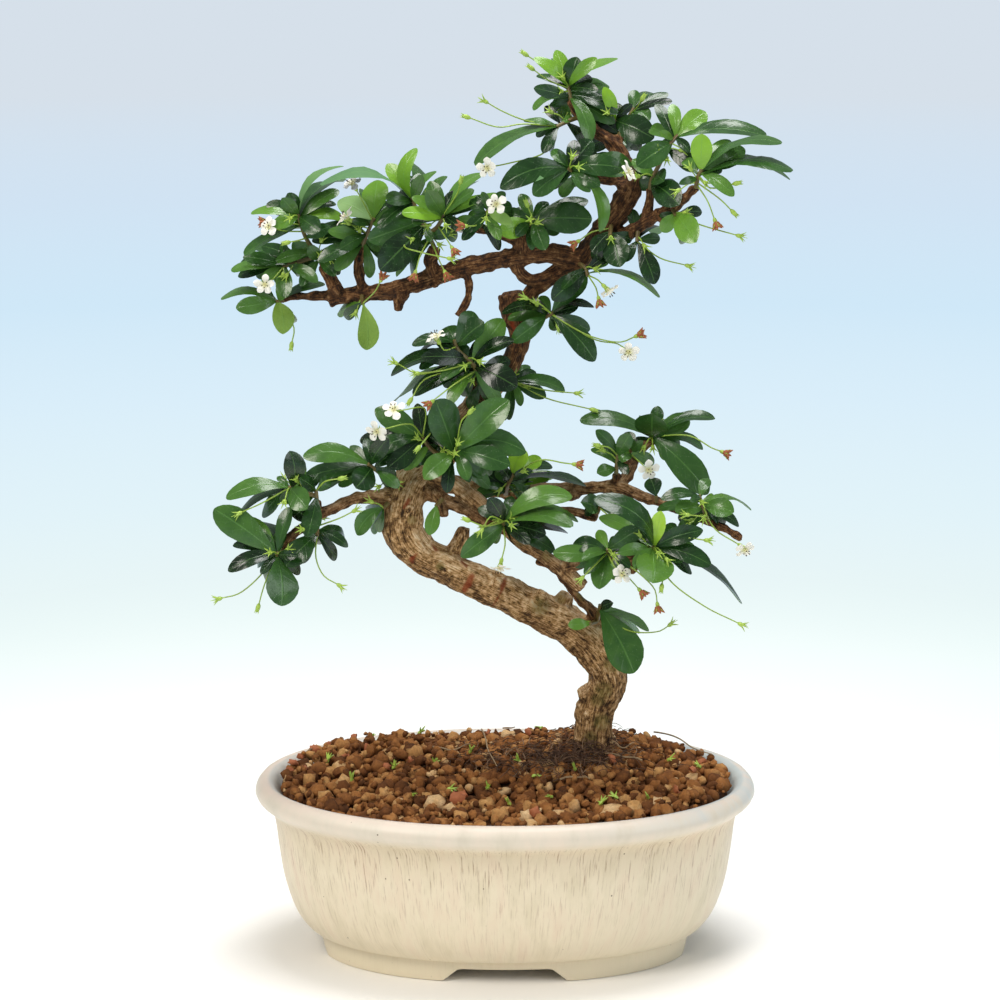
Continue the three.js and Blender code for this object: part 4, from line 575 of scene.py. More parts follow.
random = np.random.default_rng(7)
lattice = np.stack(np.meshgrid(np.arange(-18, 19), np.arange(-14, 15), indexing="ij"), -1)
lattice = lattice.reshape(-1, 2).astype(float)
lattice[:, 0] += 0.5 * (lattice[:, 1] % 2)
granule_xy = lattice * [GRANULE_PITCH, GRANULE_PITCH * 0.87]
granule_xy += random.uniform(-GRANULE_SHIFT, GRANULE_SHIFT, granule_xy.shape)
crumb_xy = random.uniform(-1, 1, (CRUMB_COUNT, 2)) * [POT_LENGTH / 2, POT_DEPTH / 2]
grain_xy = np.vstack([granule_xy, crumb_xy])
grain_length = np.concatenate([random.uniform(*GRANULE_LENGTHS, len(granule_xy)),
                               random.uniform(*CRUMB_LENGTHS, CRUMB_COUNT)])
grain_lift = np.concatenate([random.uniform(*GRANULE_LIFTS, len(granule_xy)),
                             random.uniform(*CRUMB_LIFTS, CRUMB_COUNT)])
inner = np.array([POT_LENGTH / 2, POT_DEPTH / 2]) - SOIL_EDGE + GRAIN_OVERLAP
inner_share = ((np.abs(grain_xy) / (inner - grain_length[:, None] / 2)) ** OVAL_POWER).sum(axis=1)
on_heap = np.exp(-((grain_xy - HEAP_MIDDLE) ** 2).sum(axis=1) / (2 * HEAP_SPREAD ** 2))
grain_lift += HEAP_LIFT * on_heap * (random.random(len(grain_xy)) < 0.45)
trunk_foot = spot([TRUNK_FOOT])[0]
is_kept = (inner_share < 1) & (np.hypot(*(grain_xy - trunk_foot[:2]).T) > TRUNK_CLEARANCE)
grains = np.column_stack([grain_xy, soil_height(*grain_xy.T) + grain_lift])[is_kept]
centres = np.vstack([grains, on_soil(PEBBLES) + [0, 0, PEBBLE_LIFT]])
lengths = np.concatenate([grain_length[is_kept], [row[2] for row in PEBBLES]])
points, faces, per_grain = lumps(centres, lengths, 0.6, random)
granules = new_piece("soil_granules", points, faces, [clay], ["soil"], sharp_degrees=75)
# One grain in six is a pale one
grain_tones = random.uniform(-0.08, 0.36, len(grains)) + 0.3 * (random.random(len(grains)) < 0.16)
grain_tones = np.append(grain_tones, random.uniform(0.42, 0.7, len(PEBBLES)))
add_numbers(granules, "tone", np.repeat(grain_tones, per_grain))

# Root mat and litter
# Fine dead roots lie matted on the soil beside the trunk. Small things have dropped on it: spent
# calyxes that are still green, dry orange petals and bits of straw-coloured twig.
MAT_MIDDLE = (548, 765)
MAT_SPREAD = (44, 8)
MAT_ROOTS = 460
COLLAR_MIDDLE = (590, 752)
COLLAR_SPREAD = (20, 8)
COLLAR_ROOTS = 240
ROOT_STEPS = 6
ROOT_STRIDES = (0.8, 2.6)
ROOT_RADII = (0.24, 0.12)
# How much higher the mat lies where it touches the trunk
COLLAR_RISE = 4.5
# Heights over the soil at which fallen things lie, and their tones
TWIG_LIFT = 4.6
TWIG_TONE = 0.62
TWIG_RADII = (0.42, 0.25)
CALYX_LIFT = 3.6
CALYX_TONE = 0.66
PETAL_LIFT = 4.4
PETAL_TONE = 0.35
CALYXES = [(433, 772), (487, 797), (448, 797), (510, 812), (533, 784), (552, 805), (392, 733),
           (547, 733), (393, 776), (413, 802), (327, 770), (370, 745), (600, 812), (617, 806),
           (648, 806), (575, 778), (470, 760), (700, 775), (520, 770), (352, 789), (668, 768)]
DRY_PETALS = [(284, 772, 5), (293, 765, 4.5), (301, 758, 5), (289, 780, 4.5), (306, 778, 4),
              (319, 753, 4.5), (353, 747, 4), (366, 757, 4), (411, 771, 4.5), (701, 771, 5), (693, 779, 4),
              (457, 808, 6), (535, 822, 4.5), (345, 765, 4), (612, 768, 4.5), (488, 742, 4),
              (528, 741, 4), (387, 776, 3.5), (463, 804, 4), (676, 800, 4)]
TWIGS = [[(481, 738), (486, 750), (489, 762), (497, 777)], [(642, 771), (626, 766), (606, 764)],
         [(502, 720), (508, 728), (517, 733)], [(668, 742), (684, 749), (700, 762), (722, 766)],
         [(610, 752), (622, 757), (634, 753)], [(430, 757), (452, 759), (470, 754)],
         [(300, 762), (316, 757), (330, 759)], [(560, 790), (580, 786), (590, 790)]]


def unit(vectors):
    """Vectors scaled to length one."""
    return vectors / np.maximum(np.linalg.norm(vectors, axis=-1, keepdims=True), 1e-9)


def path_frames(places):
    """Directions along a path at each place, and two more at right angles to it. The first of
    these starts towards the back and is carried along with the least turn."""
    along = unit(np.gradient(places, axis=0))
    across = np.empty_like(along)
    guide = np.array([0.0, 1.0, 0.0])
    for i, ahead in enumerate(along):
        guide = unit(guide - ahead * (guide @ ahead))
        across[i] = guide
    return along, across, np.cross(along, across)


def tube(places, radii, sides, relief=None):
    """Grid of points round a path: a ring at each place, at the radius there times one plus the
    relief, if it has any. The relief is a formula of the turn and of the run in millimetres."""
    along, across, up = path_frames(places)
    turn = 2 * math.pi * np.arange(sides)[None, :] / sides
    run = np.concatenate([[0], np.linalg.norm(np.diff(places, axis=0), axis=1).cumsum()])[:, None]
    reach = np.asarray(radii, float)[:, None] * (1 + (relief(turn, run) if relief else 0 * turn))
    return (places[:, None] + (reach * np.cos(turn))[..., None] * across[:, None]
            + (reach * np.sin(turn))[..., None] * up[:, None])


def tubes(paths, sides):
    """Points and faces of many closed tubes, each path a pair of its places and its radii."""
    points, faces, first = [], [], 0
    for places, radii in paths:
        points.append(tube(places, radii, sides).reshape(-1, 3))
        faces += ring_faces(len(places), sides, first)
        first += len(points[-1])
    return np.vstack(points), faces


def tapered(points, step, first, last):
    """A smooth path through points, and its radius at each place, which changes evenly."""
    places = smooth_run(points, step)[0]
    return places, np.linspace(first, last, len(places))


def on_line(start, way, distances):
    """Places on a straight line at distances from its start."""
    return start + way * np.array(distances)[:, None]


def plain_material(name, stops, scale, roughness):
    """A matt material: the colour of a ramp at the points' tone plus a fine noise."""
    material, tree = new_material(name)
    place = add_node(tree, "TexCoord", output="Object")
    tone = add_node(tree, "Attribute", output="Fac", attribute_name="tone")
    noise = add_node(tree, "TexNoise", {"Vector": place, "Scale": scale, "Detail": 3.0})
    shade = add_node(tree, "Math", {0: noise, 1: 0.3, 2: tone}, operation="MULTIPLY_ADD")
    colour = add_node(tree, "ValToRGB", {"Fac": shade}, stops)
    relief = add_node(tree, "Bump", {"Height": noise, "Strength": 0.3, "Distance": 0.0002})
    shader = add_node(tree, "BsdfPrincipled", {"Base Color": colour, "Roughness": roughness,
                                               "Normal": relief})
    add_node(tree, "OutputMaterial", {"Surface": shader})
    return material


# Dead root and straw: matt fibre, from near black where it is damp to the grey-tan of dry straw
root_fibre = plain_material("dry_root_fibre", [(0.1, "#3a261a"), (0.45, "#6b4c38"), (0.75, "#8f7759"),
                                               (1.0, "#c2ab84")], 500.0, 0.85)
# Fresh green stalk: a thin waxy skin, brown where it has turned woody and yellow-green at its end
green_stalk = plain_material("waxy_green_stalk", [(0.1, "#5b3a24"), (0.35, "#77703a"),
                                                  (0.65, "#93b13f"), (1.0, "#c3dc66")], 350.0, 0.42)
# Withered corolla: papery and orange-brown, darker at its folds
dry_petal = plain_material("withered_petal", [(0.1, "#5e2f18"), (0.5, "#a6603a"), (0.9, "#cf8f60")],
                           700.0, 0.75)

random = np.random.default_rng(19)
mat_pixels = np.vstack([random.normal(MAT_MIDDLE, MAT_SPREAD, (MAT_ROOTS, 2)),
                        random.normal(COLLAR_MIDDLE, COLLAR_SPREAD, (COLLAR_ROOTS, 2))])
# Each root is a thin thread that bends evenly one way, arched a little over the soil
root_paths = []
for start in on_soil(mat_pixels):
    heading = random.uniform(0, 2 * math.pi) + np.linspace(0, random.uniform(-1.6, 1.6), ROOT_STEPS)
    strides = np.column_stack([np.cos(heading), np.sin(heading), 0 * heading])
    places = start + random.uniform(*ROOT_STRIDES) * strides.cumsum(axis=0)
    rise = COLLAR_RISE * math.exp(-((start[:2] - trunk_foot[:2]) ** 2).sum() / 250)
    lift = random.uniform(2.0, 4.6 + rise)
    lift = lift + random.uniform(0, 2.0) * np.sin(np.linspace(0, math.pi, ROOT_STEPS))
    places[:, 2] = soil_height(places[:, 0], places[:, 1]) + lift
    root_paths.append((places, np.linspace(*ROOT_RADII, ROOT_STEPS)))
points, faces = tubes(root_paths, 3)
root_mat = new_piece("root_mat", points, faces, [root_fibre])
add_numbers(root_mat, "tone", np.repeat(random.uniform(-0.1, 0.5, len(root_paths)), 3 * ROOT_STEPS))

# Bits of twig, each a little wavy
twig_paths = [tapered(on_soil(row) + [0, 0, TWIG_LIFT], 2.0, *TWIG_RADII) for row in TWIGS]
for places, _ in twig_paths:
    places[:, 2] += 0.5 * np.sin(np.linspace(0, 9, len(places)))
points, faces = tubes(twig_paths, 5)
twigs = new_piece("fallen_twigs", points, faces, [root_fibre])
add_numbers(twigs, "tone", np.full(len(points), TWIG_TONE))

# Spent calyxes: a small cup each, and five teeth that spread from it
calyx_paths = []
for place in on_soil(CALYXES):
    lean = unit(np.array([random.uniform(-1, 1), random.uniform(-1, 0.3), random.uniform(0.3, 1.1)]))
    base = place + [0, 0, CALYX_LIFT]
    calyx_paths.append((on_line(base, lean, [-0.6, 0.2, 1.0, 1.6]), [0.3, 0.85, 0.8, 0.3]))
    for _ in range(5):
        spread = unit(lean + 0.42 * random.normal(size=3))
        length = random.uniform(2.4, 4.0)
        calyx_paths.append((base + lean + spread * np.array([[0.0], [0.4], [0.75], [1.0]]) * length,
                            [0.42, 0.4, 0.25, 0.06]))
points, faces = tubes(calyx_paths, 4)
calyxes = new_piece("fallen_calyxes", points, faces, [green_stalk])
add_numbers(calyxes, "tone", np.full(len(points), CALYX_TONE))

petal_lengths = np.array([row[2] for row in DRY_PETALS], float)
points, faces, _ = lumps(on_soil(DRY_PETALS) + [0, 0, PETAL_LIFT], petal_lengths, 0.35, random, 0.35)
fallen_petals = new_piece("fallen_petals", points, faces, [dry_petal], sharp_degrees=60)
add_numbers(fallen_petals, "tone", np.full(len(points), PETAL_TONE))

# Wood
# One living body: trunk, leader, limbs and the roots that it stands on, grown in an S and pruned
# back to stubs. Its thin tan bark has split into ridges that run along each limb.
# Paths through picture points, each with a depth and a radius. The roots are given by the place in
# space where each one ends, and its radius
TRUNK = [[594, 765, 24, 11.5], [596, 748, 20, 10.5], [594, 732, 16, 8.4], [599, 702, 14, 8.3],
         [608, 682, 12, 8.2], [602, 660, 10, 8.4], [587, 640, 8, 8.6], [563, 622, 6, 8.6],
         [530, 607, 2, 7.8], [500, 591, -1, 7.8], [470, 578, -4, 7.3], [440, 563, -6, 7.4],
         [418, 552, -7, 8.2], [404, 535, -7, 8.8], [401, 517, -6, 9.2], [404, 498, -4, 9.4],
         [412, 482, 0, 8.2], [430, 466, 4, 7], [450, 445, 8, 6], [465, 420, 10, 5.6], [480, 400, 10, 5.3],
         [498, 380, 10, 4.8], [512, 360, 9, 4.6], [519, 340, 8, 4.6], [516, 318, 6, 5.6],
         [511, 293, 6, 5.4]]
LEADER = [[517, 326, 6, 4], [530, 296, 4, 3.6], [545, 280, 2, 3.2], [562, 270, 0, 3.6],
          [580, 261, -1, 4.2], [596, 240, -2, 4.8], [611, 220, -2, 5.2], [624, 203, -2, 5.2],
          [631, 189, -2, 4.8], [632, 177, -1, 4.2], [622, 160, 0, 3.8], [611, 142, 1, 3],
          [591, 127, 3, 2.4], [577, 112, 5, 2.2], [571, 100, 6, 1.9]]
LIMBS = [
    [[424, 474, 0, 4], [445, 480, -5, 3.6], [465, 492, -9, 3.5], [485, 508, -13, 3.5],
     [503, 525, -15, 3.4], [520, 540, -16, 3.4], [540, 553, -17, 3.2], [560, 568, -17, 3.2],
     [582, 587, -17, 3.4]],
    [[412, 484, -2, 3.4], [440, 498, -6, 2.8], [460, 507, -10, 2.6], [480, 519, -14, 2.6],
     [502, 531, -15, 2.6]],
    [[437, 494, -6, 3], [442, 503, -8, 2.3], [444, 516, -9, 2]],
    [[598, 622, 8, 3.4], [590, 609, 3, 2.4], [575, 595, 0, 1.9], [562, 578, -2, 1.6], [550, 567, -3, 1.5],
     [537, 560, -3, 1.3]],
    [[560, 567, -17, 2.8], [583, 562, -21, 2.5], [605, 557, -25, 2.3], [628, 557, -28, 2.2],
     [646, 556, -31, 2]],
    [[624, 558, -27, 2.2], [636, 570, -27, 2.4]],
    [[430, 478, 2, 5], [468, 487, 7, 3.8], [500, 490, 8, 3.4], [530, 490, 6, 3.1], [564, 488, 2, 2.8],
     [595, 488, -2, 2.7], [617, 487, -5, 3], [642, 497, -11, 2.3], [671, 506, -18, 2.1],
     [690, 514, -22, 2], [710, 522, -26, 1.9], [729, 531, -29, 1.7], [742, 539, -31, 1.5]],
    [[619, 487, -5, 2.8], [629, 472, -2, 2.5], [635, 457, 2, 2.3], [643, 446, 5, 2.2], [653, 441, 7, 2]],
    [[633, 463, 0, 2], [624, 457, -3, 2.4]],
    [[614, 488, -5, 2], [616, 474, -6, 1.7]],
    [[572, 487, 1, 2.4], [575, 499, -1, 2.9]],
    [[500, 491, 8, 2.4], [530, 504, 6, 2.2], [555, 512, 2, 2.1], [575, 512, -1, 2.1],
     [597, 517, -4, 2.4]],
    [[396, 500, -6, 5], [375, 497, -12, 3.2], [353, 499, -17, 2.7], [334, 508, -21, 2.4],
     [318, 516, -24, 2.2], [305, 526, -27, 2], [290, 538, -30, 1.9], [278, 552, -33, 1.6]],
    [[320, 515, -24, 1.8], [317, 501, -27, 1.4]],
    [[457, 552, -5, 5], [462, 536, -4, 3.4], [464, 527, -4, 2.6]],
    [[560, 607, 6, 5], [566, 594, 5, 3.4]],
    [[588, 694, 14, 5], [583, 691, 12, 3.4]],
    [[481, 398, 10, 3.4], [470, 372, -2, 3], [462, 347, -8, 3.2]],
    [[583, 260, -1, 4.4], [548, 253, -3, 4.4], [520, 256, -3, 4.1], [485, 263, 1, 3.9],
     [453, 271, 5, 3.9], [421, 281, 9, 3.8], [386, 291, 13, 3.7], [358, 294, 16, 3.5],
     [330, 300, 18, 3.2]],
    [[340, 297, 17, 2.4], [312, 296, 20, 1.9], [292, 297, 22, 1.6], [281, 300, 22, 1.4]],
    [[515, 259, -3, 3], [520, 273, -2, 2.7], [532, 280, -1, 2.5], [552, 275, 0, 2.4]],
    [[400, 292, 11, 3.2], [399, 311, 10, 1.7]],
    [[466, 271, 3, 2], [469, 290, 1, 1.7], [465, 305, -2, 1.6], [456, 316, -4, 1.5]],
    [[337, 294, 17, 3], [330, 277, 17, 2.8], [322, 265, 18, 2.4]],
    [[363, 290, 15, 2.4], [358, 267, 13, 2.1], [362, 246, 12, 1.9]],
    [[434, 277, 7, 3.1], [430, 260, 4, 2.8], [435, 247, 1, 2.5]],
    [[524, 254, -3, 4.2], [521, 234, -5, 3.9]],
    [[515, 238, -5, 2.8], [495, 232, -8, 2.2], [476, 228, -11, 1.8]],
    [[612, 240, -3, 3.6], [632, 231, -7, 2.9], [655, 217, -13, 2.6], [672, 208, -18, 2.5],
     [685, 198, -22, 2.3], [696, 187, -25, 2]],
    [[645, 223, -10, 2.3], [649, 205, -10, 2], [650, 188, -10, 1.8]],
    [[661, 214, -15, 2.6], [667, 222, -16, 2.6]],
    [[629, 182, -2, 3], [605, 179, -7, 2.1], [584, 175, -13, 1.9]],
    [[613, 148, 1, 2.4], [619, 137, 4, 1.9]],
]
ROOTS = [[34, -16, 52, 4.4], [20, 42, 56, 4], [78, 30, 54, 4.4], [60, -12, 56, 3.6]]
PATH_STEP = 1.3
TRUNK_SIDES = 24
LIMB_SIDES = 14
BARK_VOXEL = 0.73
BATCH = 4000
# From that height up, over so many millimetres, the bark changes to young and red-brown
YOUNG_HEIGHT = 215.0
YOUNG_SPAN = 60.0
# Bark swellings over old cuts, as picture points with a depth and a radius
KNOTS = [(497, 583, -8, 3.2), (462, 577, -10, 3.2), (433, 563, -12, 2.6), (540, 597, -4, 3.4),
         (604, 655, 3, 3.4), (588, 715, 8, 2.8), (404, 545, -13, 2.6), (408, 508, -12, 3.4),
         (396, 488, -7, 3.4), (575, 622, 0, 3.0), (516, 300, 2, 3.0), (598, 226, -5, 3.4),
         (568, 258, -3, 3.2), (506, 262, -4, 2.8), (448, 276, 3, 2.6), (622, 186, -6, 3.0),
         (434, 285, 5, 2.4), (362, 300, 13, 2.4), (405, 296, 8, 2.6), (338, 290, 14, 2.6)]
# Red sap that has dried on the bark, as strokes between two picture points with a width
SAP = [(506, 577, 503, 585, 2.2), (503, 585, 500, 594, 1.5), (500, 594, 494, 604, 1.5),
       (473, 576, 465, 590, 3.0), (411, 561, 416, 554, 2.2), (431, 544, 436, 550, 1.8),
       (461, 562, 466, 566, 1.6), (516, 338, 512, 322, 2.4), (404, 508, 409, 500, 1.6)]
# Green moss on the bark, as picture points and a radius
MOSS = [(540, 606, 16), (560, 598, 10), (601, 722, 15), (598, 700, 12), (582, 596, 9), (547, 556, 9),
        (590, 738, 12), (520, 542, 8), (604, 690, 15), (612, 664, 14), (624, 640, 12), (640, 622, 9),
        (412, 520, 8), (440, 566, 8)]
# Bark painted darker as shade, in patches, likewise
PAINTED_SHADE_PATCHES = [(402, 492, 26), (398, 528, 20), (596, 690, 18), (600, 722, 20), (596, 745, 18), (430, 500, 16)]


def bark_swell(turn, run):
    """Slow swellings of a limb: three low waves round it and along it."""
    return (0.06 * np.sin(3 * turn + 0.11 * run) + 0.045 * np.sin(5 * turn - 0.23 * run)
            + 0.035 * np.sin(0.42 * run + turn))


def patch_share(pixels, patches):
    """How far each pixel lies within the nearest of some round patches: one inside 0.4 of its
    radius, none beyond 1.4 of it, and straight between."""
    shares = [1.4 - np.hypot(*(pixels - [x, y]).T) / radius for x, y, radius in patches]
    return np.clip(np.max(shares, axis=0), 0, 1)


limb_paths = []
for rows in [TRUNK, LEADER, *LIMBS]:
    places, at = smooth_run(spot(rows), PATH_STEP)
    limb_paths.append((places, np.interp(at, np.arange(len(rows)), [row[3] for row in rows])))
collar = spot(TRUNK[1:2])[0]
for *end, radius in ROOTS:
    bend = collar + 0.45 * (np.array(end) - collar)
    bend[2] = collar[2] - MOUND_HEIGHT
    places, at = smooth_run([collar, bend, end], PATH_STEP)
    limb_paths.append((places, np.interp(at, [0, 1, 2], [radius + 2, radius, radius / 2])))

points, faces, first = [], [], 0
for number, (places, radii) in enumerate(limb_paths):
    sides = TRUNK_SIDES if number < 2 else LIMB_SIDES
    points.append(tube(places, radii, sides, bark_swell).reshape(-1, 3))
    faces += ring_faces(len(places), sides, first)
    first += len(points[-1])
random = np.random.default_rng(5)
knot_lengths = 2 * np.array([row[3] for row in KNOTS])
knot_points, knot_faces, _ = lumps(spot(KNOTS), knot_lengths, 0.8, random, 0.12)
faces += (np.array(knot_faces) + first).tolist()
points = np.vstack(points + [knot_points])

# Bark of a small evergreen tree: matt, tan on the old wood and red-brown on the young, with dark
# splits between pale ridges, a little green algae near the soil and rust-red dried sap.
bark, tree = new_material("ridged_tan_bark")
place = add_node(tree, "TexCoord", output="Object")
run = add_node(tree, "Attribute", output="Vector", attribute_name="bark_run")
split, youth, bleach, sap, moss = [add_node(tree, "Attribute", output="Fac", attribute_name=name)
                                   for name in ("ridge", "youth", "bleach", "sap", "moss")]
drawn_out = add_node(tree, "Mapping", {"Vector": run, "Scale": (1.0, 1.0, 0.42)})
fibre = add_node(tree, "TexNoise", {"Vector": drawn_out, "Scale": 1.9, "Detail": 4.0, "Roughness": 0.6})
flake = add_node(tree, "TexNoise", {"Vector": place, "Scale": 680.0, "Detail": 6.0, "Roughness": 0.72})
grain = add_node(tree, "Mix", {"Factor": 0.46, "A": fibre, "B": flake})
pits = add_node(tree, "TexVoronoi", {"Vector": run, "Scale": 0.24})
pit = add_node(tree, "MapRange", {"Value": pits, "From Min": 0.16, "From Max": 0.06, "To Max": 0.08})
patches = add_node(tree, "TexNoise", {"Vector": run, "Scale": 0.16, "Detail": 3.0})
shade = add_node(tree, "Math", {0: split, 1: 0.11, 2: grain}, operation="MULTIPLY_ADD")
shade = add_node(tree, "Math", {0: shade, 1: pit}, operation="SUBTRACT")
# Painted light: the tone is lifted where the bark faces up and lowered where it faces away or lies in
# painted shade
painted_light_tone = add_node(tree, "Math", {0: bleach, 1: 0.05, 2: shade}, operation="MULTIPLY_ADD")
skin = add_node(tree, "ValToRGB", {"Fac": painted_light_tone},
                [(0.34, "#33210f"), (0.42, "#70502f"), (0.49, "#ac8352"), (0.57, "#d8b183"),
                 (0.68, "#f0dab6")])
young_bark = add_node(tree, "ValToRGB", {"Fac": shade},
                      [(0.36, "#160c06"), (0.46, "#3f2512"), (0.55, "#6b4525"), (0.68, "#a87f55")])
age = add_node(tree, "Math", {0: patches, 1: 0.7, 2: youth}, operation="MULTIPLY_ADD")
mossy, sappy = [add_node(tree, "Math", {0: patch, 1: grain}, operation="MULTIPLY") for patch in (moss, sap)]
for value, start, full, most, tint in (
        (age, 0.35, 1.15, 1, young_bark), (mossy, 0.34, 0.6, 0.66, "#66642c"),
        (sappy, 0.14, 0.5, 0.8, "#86300d")):
    share = add_node(tree, "MapRange", {"Value": value, "From Min": start, "From Max": full,
                                        "To Max": most})
    skin = add_node(tree, "Mix", {"Factor": share, "A": skin, "B": tint}, data_type="RGBA")
relief = add_node(tree, "Bump", {"Height": shade, "Strength": 1.0, "Distance": 0.0012})
shader = add_node(tree, "BsdfPrincipled", {"Base Color": skin, "Roughness": 0.85, "Normal": relief,
                                           "Specular IOR Level": 0.3})
add_node(tree, "OutputMaterial", {"Surface": shader})

wood = new_piece("bark_and_wood", points, faces, [bark], ["wood"])
grow = wood.modifiers.new("grow", "REMESH")
grow.mode = "VOXEL"
grow.voxel_size = BARK_VOXEL * MM
grow.use_smooth_shade = True
ease = wood.modifiers.new("ease", "SMOOTH")
ease.factor = 0.5
ease.iterations = 2
wood_mesh = baked(wood, "bark_and_wood")
if not wood_mesh.materials:
    wood_mesh.materials.append(bark)

# Where each point of the bark lies: on which limb, how far along it and to which side
centres = np.vstack([places for places, _ in limb_paths])
girths = np.concatenate([radii for _, radii in limb_paths])
along, across, up = (np.vstack(parts) for parts in zip(*(path_frames(places) for places, _ in limb_paths)))
# Each limb's run starts far from the last one's, so that no two have the same bark
runs = np.concatenate([PATH_STEP * np.arange(len(places)) + 400 * number
                       for number, (places, _) in enumerate(limb_paths)])
skin_points = points_of(wood_mesh)
# The limb under each point of the bark, by its distance less the radius there, a batch at a time
nearest = np.empty(len(skin_points), int)
for start in range(0, len(skin_points), BATCH):
    some = skin_points[start:start + BATCH]
    squares = (some ** 2).sum(axis=1)[:, None] - 2 * some @ centres.T + (centres ** 2).sum(axis=1)
    nearest[start:start + BATCH] = (np.sqrt(np.maximum(squares, 0)) - girths).argmin(axis=1)
offset = skin_points - centres[nearest]
bark_run = np.column_stack([(offset * across[nearest]).sum(axis=1), (offset * up[nearest]).sum(axis=1),
                            0.2 * (runs[nearest] + (offset * along[nearest]).sum(axis=1))])
girth = girths[nearest]
# Relief: folded noise drawn out along the limb, rough scales and lumps, then eased once
ridge = 0.45 * (1 - 2.4 * np.abs(lump_noise(bark_run * [1, 1, 2.2], 2.1, 1)))
ridge += 0.55 * lump_noise(skin_points, 1.5, 2)
youth_of_skin = np.clip((skin_points[:, 2] - YOUNG_HEIGHT) / YOUNG_SPAN, 0, 1)
youth_of_skin = np.maximum(youth_of_skin, np.clip((4.2 - girth) / 3, 0, 0.75))
height = np.clip(0.04 * girth + 0.16, 0.2, 0.5) * ridge + 0.05 * girth * lump_noise(skin_points, 8, 4)
height += (0.28 + 0.5 * youth_of_skin) * lump_noise(skin_points, 2.9, 6)
normals = np.empty(len(skin_points) * 3)
wood_mesh.vertices.foreach_get("normal", normals)
edges = np.empty(len(wood_mesh.edges) * 2, np.int32)
wood_mesh.edges.foreach_get("vertices", edges)
edges = edges.reshape(-1, 2)
shares = np.bincount(edges.ravel(), minlength=len(height))
beside = np.bincount(edges[:, 0], height[edges[:, 1]], len(height))
beside += np.bincount(edges[:, 1], height[edges[:, 0]], len(height))
height = 0.7 * height + 0.3 * beside / np.maximum(shares, 1)
skin_points += normals.reshape(-1, 3) * height[:, None]
wood_mesh.vertices.foreach_set("co", (skin_points * MM).ravel())
wood_mesh.update()

pixels = picture_of(skin_points)
wander = lump_noise(skin_points, 2.6, 8)
sap_of_skin = np.zeros(len(skin_points))
for x0, y0, x1, y1, width in SAP:
    share = ((pixels - [x0, y0]) @ np.array([x1 - x0, y1 - y0])) / ((x1 - x0) ** 2 + (y1 - y0) ** 2)
    miss = pixels - [x0, y0] - np.clip(share, 0, 1)[:, None] * [x1 - x0, y1 - y0]
    stroke = np.clip(1.3 - 0.8 * np.hypot(*miss.T) / width + 0.6 * wander, 0, 1)
    sap_of_skin = np.maximum(sap_of_skin, stroke)
# Painted light and shade: bark that looks up is painted lighter, as if lit from above, and bark that looks
# down or sideways is painted darker, most of all in the patches of painted shade
painted_light_of_skin = 2.2 * normals.reshape(-1, 3)[:, 2] - 0.45 + 0.6 * lump_noise(skin_points, 11, 9)
painted_light_of_skin = np.clip(painted_light_of_skin - 1.1 * patch_share(pixels, PAINTED_SHADE_PATCHES), -1.3, 1)
for name, values in (("bark_run", bark_run), ("ridge", ridge), ("youth", youth_of_skin),
                     ("bleach", painted_light_of_skin), ("sap", sap_of_skin),
                     ("moss", patch_share(pixels, MOSS))):
    add_numbers(wood, name, values)

